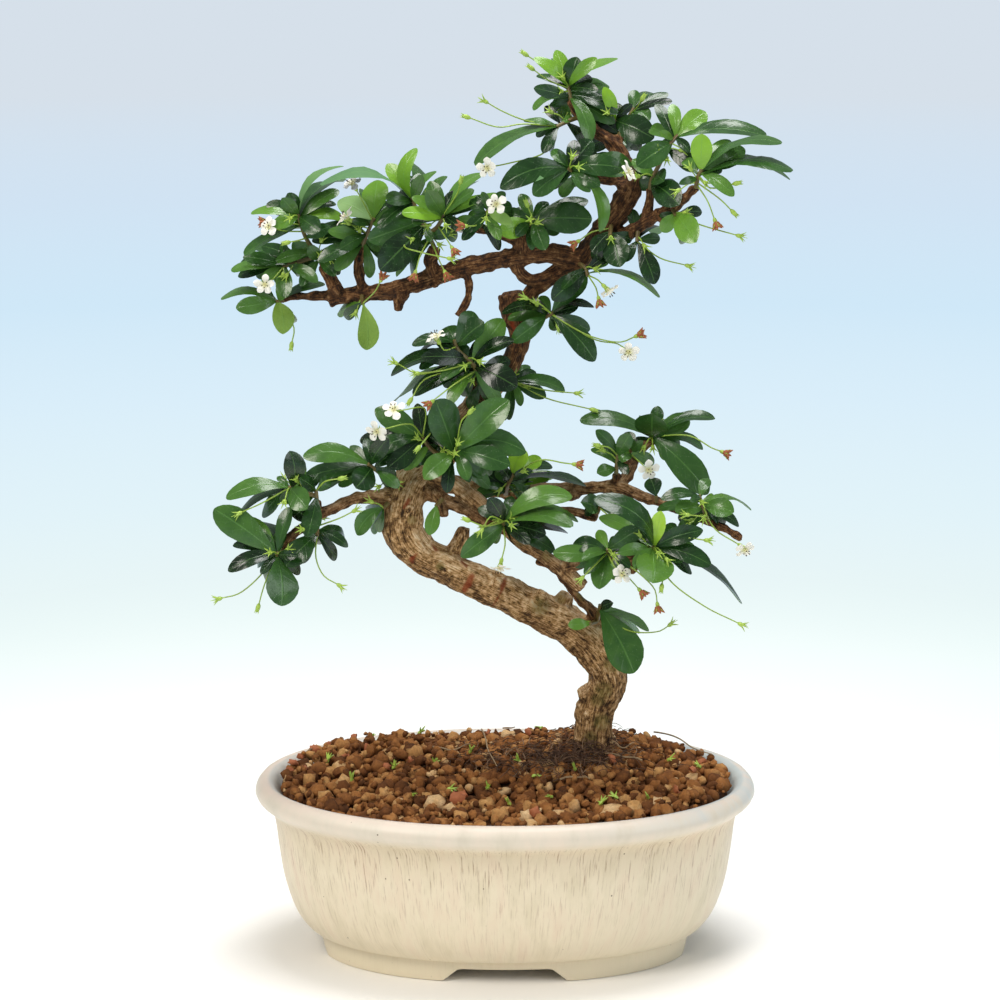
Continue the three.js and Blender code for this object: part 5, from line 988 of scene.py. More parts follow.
# Leafy sprays
# Each is a short shoot that ends in a cluster of leathery leaves, with thin stalks that carry buds,
# calyxes and withered flowers. It grows from its limb, and here it is one piece with its leaves.
# A row for each: name, stems, leaves and stalks. Stems and stalks run through picture points with a
# depth. A leaf is its foot and its tip in the picture, its width in pixels, how far behind its foot
# the tip lies, and in some its arch and its bow
SPRAYS = [
    ["apex", [[[573, 106, 6], [570, 97, 7], [568, 84, 9]]],
     [[566, 84, 534, 58, 12, -4, 0.16], [571, 80, 556, 50, 14, 6], [573, 80, 597, 58, 13, -6],
      [574, 80, 617, 58, 8, 9], [564, 88, 537, 75, 9, 8], [575, 85, 598, 91, 10, -10],
      [574, 84, 609, 86, 11, 12], [560, 98, 534, 87, 10, -8], [575, 98, 552, 105, 10, -10],
      [575, 98, 618, 113, 14, -8], [566, 104, 590, 142, 16, -13], [560, 112, 533, 110, 8, -6]],
     [["bud", [[566, 86, 9], [546, 68, 6], [528, 56, 4]]],
      ["bud", [[564, 90, 8], [548, 80, 4], [534, 70, 2]]]]],
    ["apex_left", [[[579, 117, 4], [566, 122, 0], [556, 127, -4]]],
     [[553, 130, 475, 165, 13, -12], [553, 132, 543, 153, 13, -8]],
     [["cup", [[556, 126, -4], [524, 120, -7], [500, 110, -9], [488, 103, -10]]],
      ["bud", [[556, 128, -4], [522, 124, -9], [498, 127, -11], [470, 118, -13]]],
      ["open", [[560, 128, -3], [545, 152, -10], [510, 163, -14], [490, 167, -17]]]]],
    ["crown_front", [[[590, 177, -12], [576, 173, -16], [568, 168, -20]]],
     [[568, 165, 575, 140, 14, 6], [572, 168, 623, 168, 22, -6, 0.2], [566, 165, 500, 187, 20, -6, 0.14],
      [567, 172, 533, 195, 18, -12], [567, 170, 530, 183, 8, 8], [572, 172, 590, 192, 15, -12]],
     [["open", [[575, 170, -17], [605, 172, -22], [624, 173, -24]]]]],
    ["crown_right", [[[650, 193, -10], [651, 183, -11], [660, 163, -10], [671, 143, -10],
        [678, 135, -10]]],
     [[650, 172, 665, 179, 16, -9], [650, 182, 679, 205, 28, -10], [650, 178, 632, 160, 14, 9],
      [677, 135, 706, 113, 18, 5], [675, 133, 672, 104, 13, 7], [680, 137, 767, 135, 12, -6, 0.16],
      [670, 132, 656, 104, 14, 9], [668, 142, 637, 165, 22, -10]],
     [["cup", [[668, 142, -10], [690, 152, -14], [705, 157, -16]]]]],
    ["crown_back", [[[617, 141, 4], [622, 128, 8], [634, 108, 10]], [[622, 128, 8], [614, 120, 8]]],
     [[612, 120, 652, 138, 24, -9], [640, 106, 668, 93, 10, 6], [642, 104, 672, 101, 8, -4]],
     [["bud", [[630, 114, 9], [638, 106, 6], [641, 101, 5]]]]],
    ["right_tip", [[[696, 188, -26], [698, 177, -27], [702, 169, -27]]],
     [[698, 171, 702, 134, 22, -4], [702, 170, 745, 150, 18, 7], [705, 165, 782, 142, 8, 12],
      [700, 176, 794, 169, 9, 2, 0.12], [704, 176, 792, 178, 12, 5], [704, 176, 734, 196, 14, -10]],
     [["bud", [[700, 178, -27], [710, 188, -31], [733, 184, -34]]],
      ["bud", [[699, 182, -27], [721, 200, -33], [731, 210, -34]]],
      ["dry", [[698, 184, -27], [708, 202, -33], [714, 218, -34]]]]],
    ["right_under", [[[673, 209, -20], [676, 216, -23]]],
     [[675, 213, 692, 232, 20, -8], [676, 216, 696, 242, 26, -12], [674, 214, 662, 232, 15, -5],
      [678, 214, 702, 212, 12, 8]],
     [["cup", [[677, 218, -24], [704, 226, -30], [736, 235, -34]]]]],
    ["crown_low", [[[611, 226, -6], [610, 236, -14]]],
     [[610, 232, 620, 267, 27, -8], [608, 232, 592, 252, 16, -6]],
     [["dry", [[609, 226, -8], [592, 232, -12], [580, 240, -13]]]]],
    ["crown_low_right", [[[638, 229, -9], [637, 242, -12]]],
     [[637, 246, 654, 284, 18, -6], [638, 240, 660, 238, 12, 9]],
     [["cup", [[638, 242, -12], [660, 258, -15], [685, 265, -16]]]]],
    ["pad_high", [[[324, 270, 18], [318, 256, 17], [306, 238, 14], [297, 212, 10]], [[318, 256, 17],
        [298, 262, 18], [282, 267, 18]]],
     [[290, 215, 251, 213, 10, 3, 0.14], [297, 210, 345, 166, 8, 6, 0.22], [303, 212, 336, 204, 9, 6],
      [297, 213, 320, 231, 20, -9], [300, 213, 345, 219, 13, -3], [296, 214, 272, 226, 14, -8],
      [316, 256, 346, 249, 14, -6], [316, 262, 336, 276, 12, -10], [300, 262, 262, 246, 14, 8],
      [281, 262, 243, 257, 13, -3], [285, 268, 245, 267, 9, 8], [281, 268, 231, 270, 11, -2],
      [283, 266, 247, 248, 8, 10], [282, 270, 285, 298, 17, -9], [286, 268, 318, 282, 13, -9]],
     [["side", [[300, 232, 12], [284, 231, 8], [276, 229, 6]]],
      ["bud", [[304, 236, 13], [300, 240, 6], [290, 242, 4]]],
      ["open", [[284, 268, 16], [272, 280, 8], [266, 284, 4]]],
      ["dry", [[298, 224, 11], [280, 222, 6], [270, 222, 5]]]]],
    ["pad_middle", [[[361, 249, 12], [367, 234, 10], [374, 218, 8]]],
     [[370, 215, 338, 201, 22, 3], [376, 220, 375, 179, 24, 8], [368, 233, 311, 232, 9, 3, 0.12],
      [366, 234, 340, 249, 14, -9], [372, 222, 398, 232, 12, -8], [374, 218, 392, 202, 13, 10]],
     [["side", [[372, 220, 8], [362, 200, 3], [357, 191, 2]]],
      ["side", [[368, 228, 9], [361, 226, 4], [354, 222, 3]]]]],
    ["pad_end", [[[284, 300, 22], [276, 302, 21]]],
     [[274, 300, 236, 308, 18, -5], [278, 303, 283, 334, 22, -9], [272, 298, 221, 298, 9, 3, 0.2]],
     [["bud", [[276, 304, 21], [294, 328, 14], [292, 342, 12]]]]],
    ["pad_hanging", [[[362, 296, 12], [363, 304, 8]]],
     [[363, 304, 367, 350, 22, -4], [363, 302, 345, 318, 12, 8]],
     [["dry", [[364, 303, 8], [376, 290, -1], [380, 282, -3]]]]],
    ["centre_top", [[[435, 249, 0], [428, 234, 0], [420, 216, 1], [411, 198, 2]], [[428, 234, 0],
        [438, 226, -4], [444, 214, -6]]],
     [[407, 193, 387, 165, 12, 5], [411, 197, 416, 148, 16, 6], [415, 193, 436, 171, 7, 4],
      [413, 195, 422, 175, 13, -9], [405, 197, 318, 185, 8, 3, 0.16], [416, 200, 378, 228, 12, -8],
      [440, 216, 408, 200, 12, -7, 0.16], [445, 216, 502, 197, 11, -4], [441, 212, 427, 190, 18, -8],
      [446, 208, 482, 173, 12, 8], [447, 208, 474, 190, 10, -6], [440, 215, 402, 213, 14, -12],
      [442, 221, 412, 223, 8, -16], [424, 224, 380, 270, 32, -10], [446, 214, 464, 232, 12, -10],
      [422, 214, 446, 176, 12, 14]],
     [["dry", [[438, 226, -4], [446, 238, -12], [451, 246, -14]]],
      ["cup", [[426, 230, 0], [404, 246, -8], [420, 252, -13], [447, 258, -16]]],
      ["dry", [[430, 236, 0], [420, 256, -10], [416, 270, -12]]],
      ["bud", [[445, 210, -6], [458, 192, -10], [460, 184, -11]]],
      ["dry", [[432, 240, 0], [440, 262, -10], [444, 270, -12]]]]],
    ["centre_mid", [[[478, 229, -11], [484, 218, -13], [489, 209, -14]]],
     [[490, 214, 512, 224, 12, -8], [486, 216, 500, 240, 12, -8]],
     [["open", [[490, 210, -14], [496, 207, -19], [497, 205, -22]]],
      ["dry", [[484, 222, -13], [474, 226, -20], [468, 226, -21]]]]],
    ["centre_knob", [[[521, 238, -6], [527, 228, -8], [534, 218, -9]]],
     [[529, 223, 499, 232, 20, -8], [536, 214, 504, 213, 14, 4], [537, 219, 545, 250, 15, -8],
      [531, 224, 560, 232, 14, 8], [528, 226, 532, 250, 12, -10]],
     [["bud", [[534, 218, -9], [530, 212, -14], [528, 207, -15]]]]],
    ["leader_right", [[[577, 262, -3], [585, 268, -9], [588, 276, -12]]],
     [[586, 274, 660, 297, 8, -4, 0.14], [586, 270, 614, 251, 14, 8], [584, 268, 562, 290, 10, -10]],
     [["side", [[588, 276, -12], [598, 280, -16], [602, 284, -17]]],
      ["dry", [[588, 278, -12], [596, 288, -15], [598, 296, -16]]]]],
    ["stump_side", [[[524, 324, 3], [540, 320, -4], [553, 313, -8]]],
     [[553, 308, 585, 273, 20, 5], [548, 314, 502, 313, 11, -4, 0.2], [549, 317, 512, 342, 19, -8, 0.2],
      [558, 312, 594, 307, 8, -4, 0.16], [555, 317, 584, 364, 20, -6, 0.22],
      [558, 312, 576, 296, 14, 10]],
     [["cup", [[553, 310, -8], [540, 304, -13], [528, 299, -15]]],
      ["dry", [[555, 316, -8], [590, 336, -16], [621, 342, -20], [634, 337, -21]]],
      ["open", [[556, 318, -8], [596, 340, -15], [618, 344, -19], [627, 350, -21]]]]],
    ["middle_left", [[[484, 386, 0], [478, 374, -9], [472, 363, -14], [458, 350, -16], [454, 340, -17]]],
     [[475, 362, 503, 319, 25, 6], [478, 357, 514, 340, 14, -4], [470, 370, 517, 387, 27, -8],
      [468, 363, 421, 357, 18, -8], [466, 364, 391, 375, 14, 6], [462, 370, 413, 395, 17, -10],
      [464, 368, 393, 402, 8, 12], [470, 371, 449, 405, 14, -12], [462, 350, 446, 327, 20, 6, 0.2],
      [452, 342, 412, 345, 12, -4, 0.14], [458, 346, 484, 322, 22, -4], [470, 362, 440, 380, 12, 12],
      [474, 370, 492, 402, 14, 6]],
     [["side", [[456, 346, -16], [444, 350, -24], [440, 344, -26]]],
      ["cup", [[466, 366, -14], [440, 371, -24], [420, 373, -27]]],
      ["dry", [[472, 372, -12], [452, 386, -26], [434, 400, -29]]],
      ["bud", [[466, 368, -14], [424, 380, -22], [412, 398, -26]]],
      ["cup", [[464, 364, -14], [420, 374, -21], [398, 364, -24]]]]],
    ["middle_right", [[[505, 378, 8], [513, 382, 10]]],
     [[514, 378, 565, 391, 14, 7, 0.12], [514, 384, 546, 397, 15, -3], [510, 386, 509, 420, 12, -2],
      [512, 378, 530, 366, 10, 9]],
     [["cup", [[515, 382, 10], [545, 390, 5], [574, 393, 3]]],
      ["bud", [[513, 386, 10], [546, 398, 6], [590, 409, 3]]]]],
    ["middle_low", [[[436, 463, -3], [444, 458, -14], [452, 456, -19], [457, 450, -21]], [[444, 458, -14],
        [430, 448, -15], [422, 436, -16]]],
     [[457, 450, 509, 400, 32, -6], [451, 449, 436, 400, 34, -9], [452, 454, 424, 479, 22, -8, 0.14],
      [461, 454, 510, 465, 24, -9], [460, 448, 524, 452, 22, 9, 0.2], [420, 432, 375, 409, 24, 3],
      [420, 434, 370, 455, 17, -5, 0.16], [420, 438, 388, 468, 24, -11], [422, 440, 360, 440, 20, 9],
      [428, 446, 404, 470, 13, -4], [458, 452, 468, 480, 15, -8], [456, 450, 470, 418, 16, 10],
      [424, 436, 440, 412, 14, 9], [458, 454, 484, 478, 13, 4]],
     [["open", [[420, 434, -16], [424, 408, -26], [404, 410, -31], [396, 411, -33]]],
      ["open", [[420, 438, -16], [410, 424, -26], [388, 428, -29], [380, 430, -31]]],
      ["bud", [[424, 440, -16], [430, 434, -28], [420, 446, -33]]],
      ["bud", [[458, 448, -21], [462, 420, -30], [468, 414, -31]]]]],
    ["left_upper", [[[317, 503, -28], [316, 490, -29]], [[316, 496, -28], [300, 491, -29],
        [288, 487, -30]]],
     [[282, 487, 226, 498, 17, -4, 0.12], [294, 481, 290, 451, 22, -5], [292, 484, 307, 509, 24, -10],
      [284, 490, 238, 513, 9, 8], [317, 496, 307, 537, 20, -8], [290, 486, 272, 500, 12, 9],
      [302, 492, 296, 470, 11, 9]],
     [["cup", [[284, 490, -30], [262, 503, -36], [242, 512, -38]]],
      ["bud", [[318, 488, -29], [326, 481, -34], [338, 479, -35]]]]],
    ["left_inner", [[[395, 485, -5], [380, 473, -17], [368, 464, -22]]],
     [[364, 461, 303, 456, 22, -4, 0.12], [364, 466, 303, 478, 18, 2], [366, 468, 318, 489, 14, 10],
      [372, 464, 356, 488, 26, -10], [374, 458, 388, 438, 18, -5], [376, 470, 398, 488, 12, -14]],
     []],
    ["left_low", [[[318, 519, -26], [317, 536, -30]]],
     [[316, 539, 286, 566, 24, -8], [321, 530, 348, 547, 11, -3], [317, 538, 296, 562, 18, 8],
      [317, 534, 336, 560, 12, 8], [316, 530, 290, 507, 18, 4]],
     [["cup", [[316, 540, -30], [316, 558, -33], [324, 576, -34], [337, 584, -35]]],
      ["cup", [[318, 526, -28], [340, 518, -33], [352, 512, -34]]]]],
    ["left_end", [[[281, 549, -33], [276, 556, -36]]],
     [[266, 550, 215, 511, 24, -3], [275, 556, 246, 517, 15, 5], [276, 562, 292, 607, 34, -9],
      [262, 552, 228, 571, 16, -6], [268, 553, 233, 545, 12, 5], [278, 552, 282, 530, 13, 8],
      [278, 560, 300, 574, 12, 8]],
     [["cup", [[272, 562, -36], [256, 580, -40], [238, 594, -42], [222, 598, -43]]],
      ["bud", [[272, 564, -36], [264, 586, -41], [259, 604, -42]]]]],
    ["bend_low", [[[388, 503, -14], [383, 508, -17]]],
     [[384, 507, 357, 536, 20, -4], [384, 508, 378, 532, 10, 8]],
     []],
    ["right_high", [[[653, 443, 6], [652, 436, 4]]],
     [[650, 430, 580, 420, 16, -3, 0.1], [652, 440, 652, 414, 34, -7], [654, 432, 658, 406, 14, 8],
      [660, 431, 715, 418, 12, 3, 0.1], [658, 434, 708, 494, 30, -9], [660, 436, 703, 448, 12, 8],
      [654, 438, 668, 460, 14, 9]],
     [["dry", [[658, 434, 4], [690, 436, -3], [712, 448, -6], [720, 451, -7]]]]],
    ["right_twig", [[[616, 475, -6], [617, 462, -7], [618, 452, -8]]],
     [[619, 452, 596, 430, 11, -3], [616, 464, 591, 449, 9, 4], [619, 456, 632, 434, 12, -7]],
     [["bud", [[617, 456, -8], [608, 447, -13], [601, 446, -14]]]]],
    ["right_inner", [[[628, 455, -3], [632, 449, -6]]],
     [[634, 454, 654, 464, 13, 10]],
     [["open", [[634, 456, -6], [642, 464, -12], [646, 468, -15]]]]],
    ["right_heart", [[[657, 502, -16], [656, 496, -17]]],
     [[656, 496, 650, 478, 18, -3]],
     []],
    ["right_outer", [[[708, 520, -27], [704, 510, -30], [699, 495, -31]]],
     [[694, 492, 661, 499, 12, -4, 0.18], [706, 506, 734, 512, 20, -7], [700, 508, 675, 511, 17, -6],
      [703, 504, 751, 509, 6, 7, 0.12], [708, 512, 739, 526, 10, 3], [702, 514, 678, 531, 14, 4],
      [702, 512, 657, 509, 12, 14]],
     [["side", [[704, 512, -30], [716, 530, -38], [738, 544, -41]]],
      ["cup", [[704, 508, -30], [706, 516, -37], [690, 515, -38]]]]],
    ["inner_stub", [[[597, 513, -8], [600, 507, -9]]],
     [[598, 509, 581, 502, 18, -7], [602, 508, 629, 513, 15, -5]],
     [["cup", [[600, 508, -9], [612, 517, -15], [627, 519, -16]]]]],
    ["low_right", [[[646, 552, -32], [655, 546, -35]]],
     [[658, 544, 661, 511, 16, -5], [653, 544, 594, 499, 20, -8, 0.22], [654, 548, 653, 583, 38, -12],
      [662, 544, 703, 530, 19, -4], [664, 550, 711, 565, 19, -8], [660, 554, 742, 603, 10, 5, 0.12],
      [650, 548, 618, 553, 13, -7], [656, 544, 696, 548, 13, 9], [652, 546, 634, 568, 14, 8]],
     [["bud", [[656, 552, -35], [664, 568, -40], [662, 584, -43]]],
      ["cup", [[658, 552, -35], [668, 578, -41], [704, 606, -43], [738, 623, -44]]],
      ["cup", [[660, 546, -35], [684, 538, -40], [704, 540, -41]]]]],
    ["low_middle", [[[607, 555, -27], [608, 549, -30]]],
     [[612, 548, 641, 528, 17, -4, 0.12], [610, 548, 644, 544, 12, 8], [606, 548, 573, 544, 17, 2, 0.18],
      [602, 554, 553, 553, 18, -5], [606, 554, 599, 589, 22, -7], [604, 553, 582, 560, 10, -13],
      [608, 552, 630, 568, 13, -6], [606, 548, 598, 530, 12, 10], [604, 552, 584, 574, 12, 9]],
     [["dry", [[610, 550, -30], [624, 572, -37], [638, 588, -39]]],
      ["open", [[608, 553, -30], [614, 566, -37], [620, 574, -39]]],
      ["dry", [[611, 552, -30], [640, 574, -36], [655, 590, -37], [657, 602, -38]]],
      ["cup", [[605, 552, -30], [594, 566, -38], [584, 576, -39]]]]],
    ["trunk_shoot", [[[597, 621, 5], [599, 612, -3], [600, 605, -6]], [[597, 621, 5], [590, 624, -4]]],
     [[600, 608, 634, 673, 38, -10], [602, 610, 649, 630, 9, 5]],
     [["cup", [[601, 612, -5], [630, 631, -10], [660, 631, -12], [668, 626, -12]]]]],
    ["centre_low", [[[503, 529, -17], [504, 521, -23]]],
     [[509, 515, 572, 496, 22, -4, 0.12], [510, 518, 578, 522, 14, 6], [510, 520, 573, 528, 18, -5],
      [510, 524, 546, 534, 17, -9], [503, 519, 491, 498, 15, -5], [500, 522, 461, 557, 21, -7],
      [502, 518, 478, 508, 13, 8], [506, 524, 530, 544, 13, 8]],
     [["cup", [[502, 519, -23], [490, 517, -30], [483, 528, -32]]],
      ["side", [[505, 526, -23], [505, 545, -29], [502, 558, -31]]],
      ["bud", [[500, 520, -23], [484, 526, -32], [470, 521, -34]]]]],
    ["young_shoot", [[[506, 494, 0], [508, 484, -8], [514, 474, -12]]],
     [[515, 472, 524, 449, 17, -4], [508, 488, 544, 475, 11, 4], [512, 476, 541, 458, 15, 9],
      [510, 484, 586, 486, 8, 10, 0.12], [506, 488, 471, 465, 18, 3], [506, 490, 476, 492, 10, -5],
      [508, 484, 490, 470, 12, 12]],
     [["dry", [[514, 476, -12], [540, 460, -17], [564, 463, -19], [572, 464, -19]]]]],
    ["limb_leaf", [[[442, 499, -11], [436, 506, -15]]],
     [[437, 506, 429, 535, 15, -4]],
     []],
]
# Small leaves of the same sprays, too fine for the solids, in rows like those above
SMALL_LEAVES = {
    "apex": [[600, 112, 604, 86, 8, 4], [572, 82, 577, 57, 20, -2], [566, 98, 548, 112, 11, 6],
        [574, 90, 590, 100, 12, 4], [580, 103, 615, 123, 16, -2], [572, 104, 562, 122, 14, 6]],
    "apex_left": [[546, 125, 524, 121, 6, -2], [558, 122, 545, 106, 10, 4], [560, 126, 574, 118, 8, 8],
        [560, 128, 536, 136, 10, 6], [566, 124, 584, 142, 12, 10]],
    "crown_front": [[566, 162, 558, 150, 7, -4], [588, 184, 600, 232, 13, -6],
        [572, 172, 632, 165, 26, 5, 0.12], [570, 168, 592, 140, 20, 9], [568, 170, 552, 150, 12, 8],
        [574, 172, 600, 156, 14, 10], [570, 172, 600, 186, 16, -8], [566, 170, 540, 172, 16, 6],
        [586, 178, 560, 196, 14, 8]],
    "crown_right": [[672, 138, 660, 131, 8, -3], [676, 138, 690, 152, 10, -9],
        [668, 146, 698, 170, 18, -4], [656, 170, 640, 190, 14, 6], [668, 146, 690, 164, 14, -6],
        [652, 180, 668, 196, 12, 6], [672, 138, 650, 128, 14, 10], [676, 134, 690, 120, 12, 10]],
    "crown_back": [[618, 132, 620, 152, 13, -7], [617, 120, 632, 104, 9, -4], [632, 108, 634, 90, 12, 6],
        [616, 120, 604, 87, 13, -4], [614, 132, 588, 114, 18, 4], [616, 134, 586, 148, 18, 8],
        [616, 128, 600, 146, 13, 6], [626, 118, 612, 104, 10, 4], [634, 112, 650, 120, 14, -6],
        [622, 128, 640, 150, 14, 6], [617, 138, 632, 150, 12, 8]],
    "right_tip": [[694, 177, 679, 184, 8, -6], [696, 174, 684, 160, 12, 10], [700, 172, 722, 168, 12, 6],
        [702, 170, 730, 140, 13, 10]],
    "crown_low": [[612, 232, 632, 240, 12, 4], [610, 236, 594, 262, 13, 5]],
    "crown_low_right": [[637, 242, 624, 262, 12, -5], [637, 232, 632, 209, 12, 6],
        [637, 230, 645, 211, 9, 8]],
    "pad_high": [[297, 210, 282, 198, 15, -5], [310, 256, 306, 242, 14, 6], [281, 262, 283, 242, 10, 4],
        [322, 250, 276, 261, 12, -6], [294, 212, 288, 193, 15, -2], [262, 240, 240, 264, 12, 4],
        [272, 270, 238, 276, 13, 4], [322, 264, 309, 246, 14, -7], [296, 226, 244, 255, 11, -6],
        [304, 238, 330, 226, 14, -7], [310, 240, 292, 250, 13, 5], [284, 268, 262, 282, 12, -5],
        [322, 268, 300, 286, 12, -7], [318, 258, 340, 274, 13, 8], [300, 222, 316, 214, 12, 7],
        [282, 266, 256, 276, 14, 6]],
    "pad_middle": [[370, 226, 352, 222, 8, -8], [376, 226, 406, 207, 11, -4], [368, 244, 370, 278, 12, 2],
        [346, 244, 312, 240, 14, 5], [346, 247, 318, 262, 14, -8], [358, 248, 335, 270, 15, -5],
        [362, 240, 328, 231, 13, -4], [376, 222, 352, 206, 14, 9], [364, 240, 384, 250, 13, 5],
        [374, 222, 360, 200, 13, 12], [366, 246, 390, 262, 12, 10]],
    "pad_end": [[276, 300, 258, 286, 12, 8], [276, 298, 287, 284, 13, -6], [284, 298, 325, 284, 9, 3],
        [278, 302, 256, 296, 12, 8]],
    "centre_top": [[408, 198, 387, 202, 10, -8], [416, 226, 368, 240, 24, -6],
        [428, 240, 396, 276, 10, 4], [432, 242, 412, 278, 9, 6], [448, 208, 430, 181, 17, 3],
        [408, 202, 386, 196, 13, 6], [424, 226, 431, 242, 10, -6], [430, 240, 396, 262, 13, -5],
        [426, 230, 410, 248, 12, 8], [446, 210, 462, 186, 13, 5], [444, 214, 424, 204, 13, 10],
        [438, 226, 456, 240, 12, 8], [412, 200, 398, 180, 10, 10], [430, 240, 450, 232, 12, -6],
        [416, 212, 396, 222, 14, 10]],
    "centre_mid": [[488, 212, 476, 196, 10, 3], [490, 209, 505, 192, 10, 5], [488, 208, 482, 192, 8, -6],
        [486, 216, 468, 216, 9, 6], [482, 224, 462, 240, 11, -6], [486, 214, 470, 200, 12, 4],
        [486, 212, 466, 232, 14, -6], [480, 226, 500, 250, 11, 5], [488, 210, 512, 206, 12, 7],
        [482, 222, 454, 222, 12, 6]],
    "centre_knob": [[534, 218, 548, 202, 13, 6], [534, 216, 522, 200, 12, 9],
        [546, 204, 592, 219, 32, -4], [548, 206, 588, 200, 16, 6], [544, 204, 520, 194, 13, 6],
        [530, 226, 512, 244, 13, 6], [534, 218, 556, 214, 14, 10], [530, 224, 516, 236, 12, -8],
        [528, 230, 548, 240, 12, 6]],
    "leader_right": [[586, 274, 552, 300, 22, -3]],
    "stump_side": [[550, 314, 540, 296, 12, 9], [552, 316, 566, 332, 12, 8], [550, 316, 528, 300, 12, 4],
        [556, 314, 590, 330, 16, 8]],
    "middle_right": [[512, 386, 521, 406, 9, -6], [510, 382, 536, 372, 13, 6]],
    "left_upper": [[284, 486, 277, 477, 7, 3], [316, 488, 300, 478, 14, -6], [304, 490, 318, 474, 12, 8],
        [310, 492, 296, 504, 13, 6], [316, 490, 330, 478, 12, 5]],
    "left_inner": [[368, 459, 350, 446, 11, 6], [370, 460, 366, 438, 12, 7], [366, 466, 340, 456, 14, 6],
        [376, 466, 392, 452, 16, 5], [374, 466, 396, 478, 14, 6]],
    "left_end": [[270, 560, 261, 574, 9, -8], [278, 554, 298, 556, 11, -6], [276, 540, 290, 507, 14, 4],
        [274, 556, 262, 534, 12, 8], [270, 554, 240, 530, 14, 8]],
    "right_high": [[650, 436, 632, 424, 12, 8], [654, 438, 634, 444, 13, 5], [656, 436, 680, 446, 14, 8],
        [654, 436, 640, 420, 14, 8], [656, 438, 690, 470, 16, 10]],
    "right_twig": [[615, 468, 597, 473, 13, -5], [618, 460, 628, 474, 9, -6], [617, 460, 600, 446, 12, 5],
        [618, 456, 640, 448, 12, 6], [616, 468, 632, 464, 10, 6]],
    "right_inner": [[632, 448, 626, 432, 17, 3], [631, 450, 618, 445, 10, 9],
        [633, 452, 643, 441, 10, -9], [630, 454, 622, 462, 12, -8]],
    "right_outer": [[700, 500, 690, 500, 9, -8], [694, 494, 708, 478, 12, 9], [700, 504, 716, 498, 12, 6],
        [704, 508, 724, 526, 12, 6], [704, 510, 688, 522, 12, 8]],
    "inner_stub": [[598, 507, 588, 494, 10, 5], [600, 508, 616, 498, 12, 8], [600, 508, 584, 512, 13, 5],
        [600, 508, 636, 506, 12, 8]],
    "trunk_shoot": [[598, 610, 613, 603, 10, -5], [590, 624, 568, 625, 12, -2],
        [600, 606, 620, 620, 10, 6]],
    "centre_low": [[504, 518, 512, 496, 12, 8], [512, 526, 555, 551, 17, 4], [508, 520, 540, 508, 16, 6],
        [506, 520, 520, 500, 13, 6]],
    "young_shoot": [[512, 478, 532, 470, 10, -6], [510, 480, 500, 466, 11, -7],
        [508, 486, 498, 468, 14, 4], [508, 490, 486, 486, 8, -6], [506, 492, 478, 500, 7, -6],
        [512, 478, 552, 466, 12, 10], [510, 480, 530, 486, 14, 6], [508, 486, 526, 500, 12, 6]],
    "right_under": [[674, 212, 660, 220, 12, 5]],
    "middle_low": [[470, 440, 526, 452, 24, -5, 0.08, 0.16], [462, 458, 490, 488, 16, 4],
        [456, 458, 447, 493, 14, -4], [458, 456, 470, 482, 11, -6], [420, 440, 392, 430, 18, 4],
        [424, 440, 404, 452, 16, 8], [436, 450, 418, 462, 14, 5], [452, 448, 470, 436, 14, 10],
        [440, 452, 424, 424, 14, 9], [460, 452, 500, 432, 16, 10], [456, 452, 492, 474, 16, 8],
        [428, 442, 448, 462, 13, 7]],
    "middle_left": [[462, 342, 474, 312, 24, 4], [496, 396, 506, 420, 13, 4], [450, 358, 419, 368, 12, 4],
        [474, 368, 500, 404, 16, 8], [470, 360, 488, 340, 16, 8], [460, 352, 436, 340, 13, 6],
        [476, 374, 496, 380, 16, 6], [470, 370, 462, 396, 14, 8], [464, 360, 438, 384, 14, 8],
        [480, 384, 470, 410, 13, 5], [478, 372, 510, 360, 16, 10]],
    "low_right": [[656, 546, 640, 528, 14, 8], [658, 546, 684, 560, 16, 6], [654, 548, 634, 556, 15, 6],
        [652, 546, 624, 540, 14, 8], [660, 546, 690, 540, 14, 10], [656, 546, 676, 524, 14, 8]],
    "low_middle": [[608, 552, 588, 544, 14, 5], [608, 552, 622, 540, 14, 6], [606, 554, 616, 580, 14, 6],
        [606, 554, 574, 566, 13, 6], [608, 550, 592, 570, 14, 8], [610, 550, 628, 556, 13, 8]],
}
STEM_RADIUS = 1.25
STALK_RADIUS = 0.38
# Seats for leaves along a stem, the share of it that they take up, how many pixels further a taken
# seat counts, and how far in millimetres a seat stays from the wood
STEM_SEATS = 12
LAST_SEAT = 0.94
SEAT_TAKEN = 1.0
SEAT_CLEARANCE = 0.95
# Least width of a leaf as a share of its length
LEAF_SLENDER = 0.33
LEAF_THICKNESS = 0.34
# Shifts in depth that a stalk's end is tried at, and how near in millimetres a point of the solid
# counts as its ring, or in pixels as its tip
DEPTH_TRIES = [0, 5, -5, 10, -10, 15, -15, 20, -20]
RING_MISS = 0.02
TIP_MISS = 0.06
# Mates behind the seen leaves: one for every so many, that deep and at least that wide
MATE_EVERY = 8
MATE_DEPTH = 17.0
MATE_WIDTH = 12.0
CUP_LENGTH = 2.6
PATH_SIDES = 6
# Spent calyxes on short stalks among the leaves: how many for each leaf, and their reach
SPRIG_SHARE = 0.45
SPRIG_REACH = (3.5, 8.5)
# Inner leaves: share of a leaf's reach, bounds of the length and width in pixels, and depth in mm
INNER_REACH = (0.6, 0.92)
INNER_SHORTEST = 12.0
INNER_LONGEST = 46.0
INNER_WIDTH = (10.0, 17.0)
INNER_DEPTH = (2.0, 13.0)
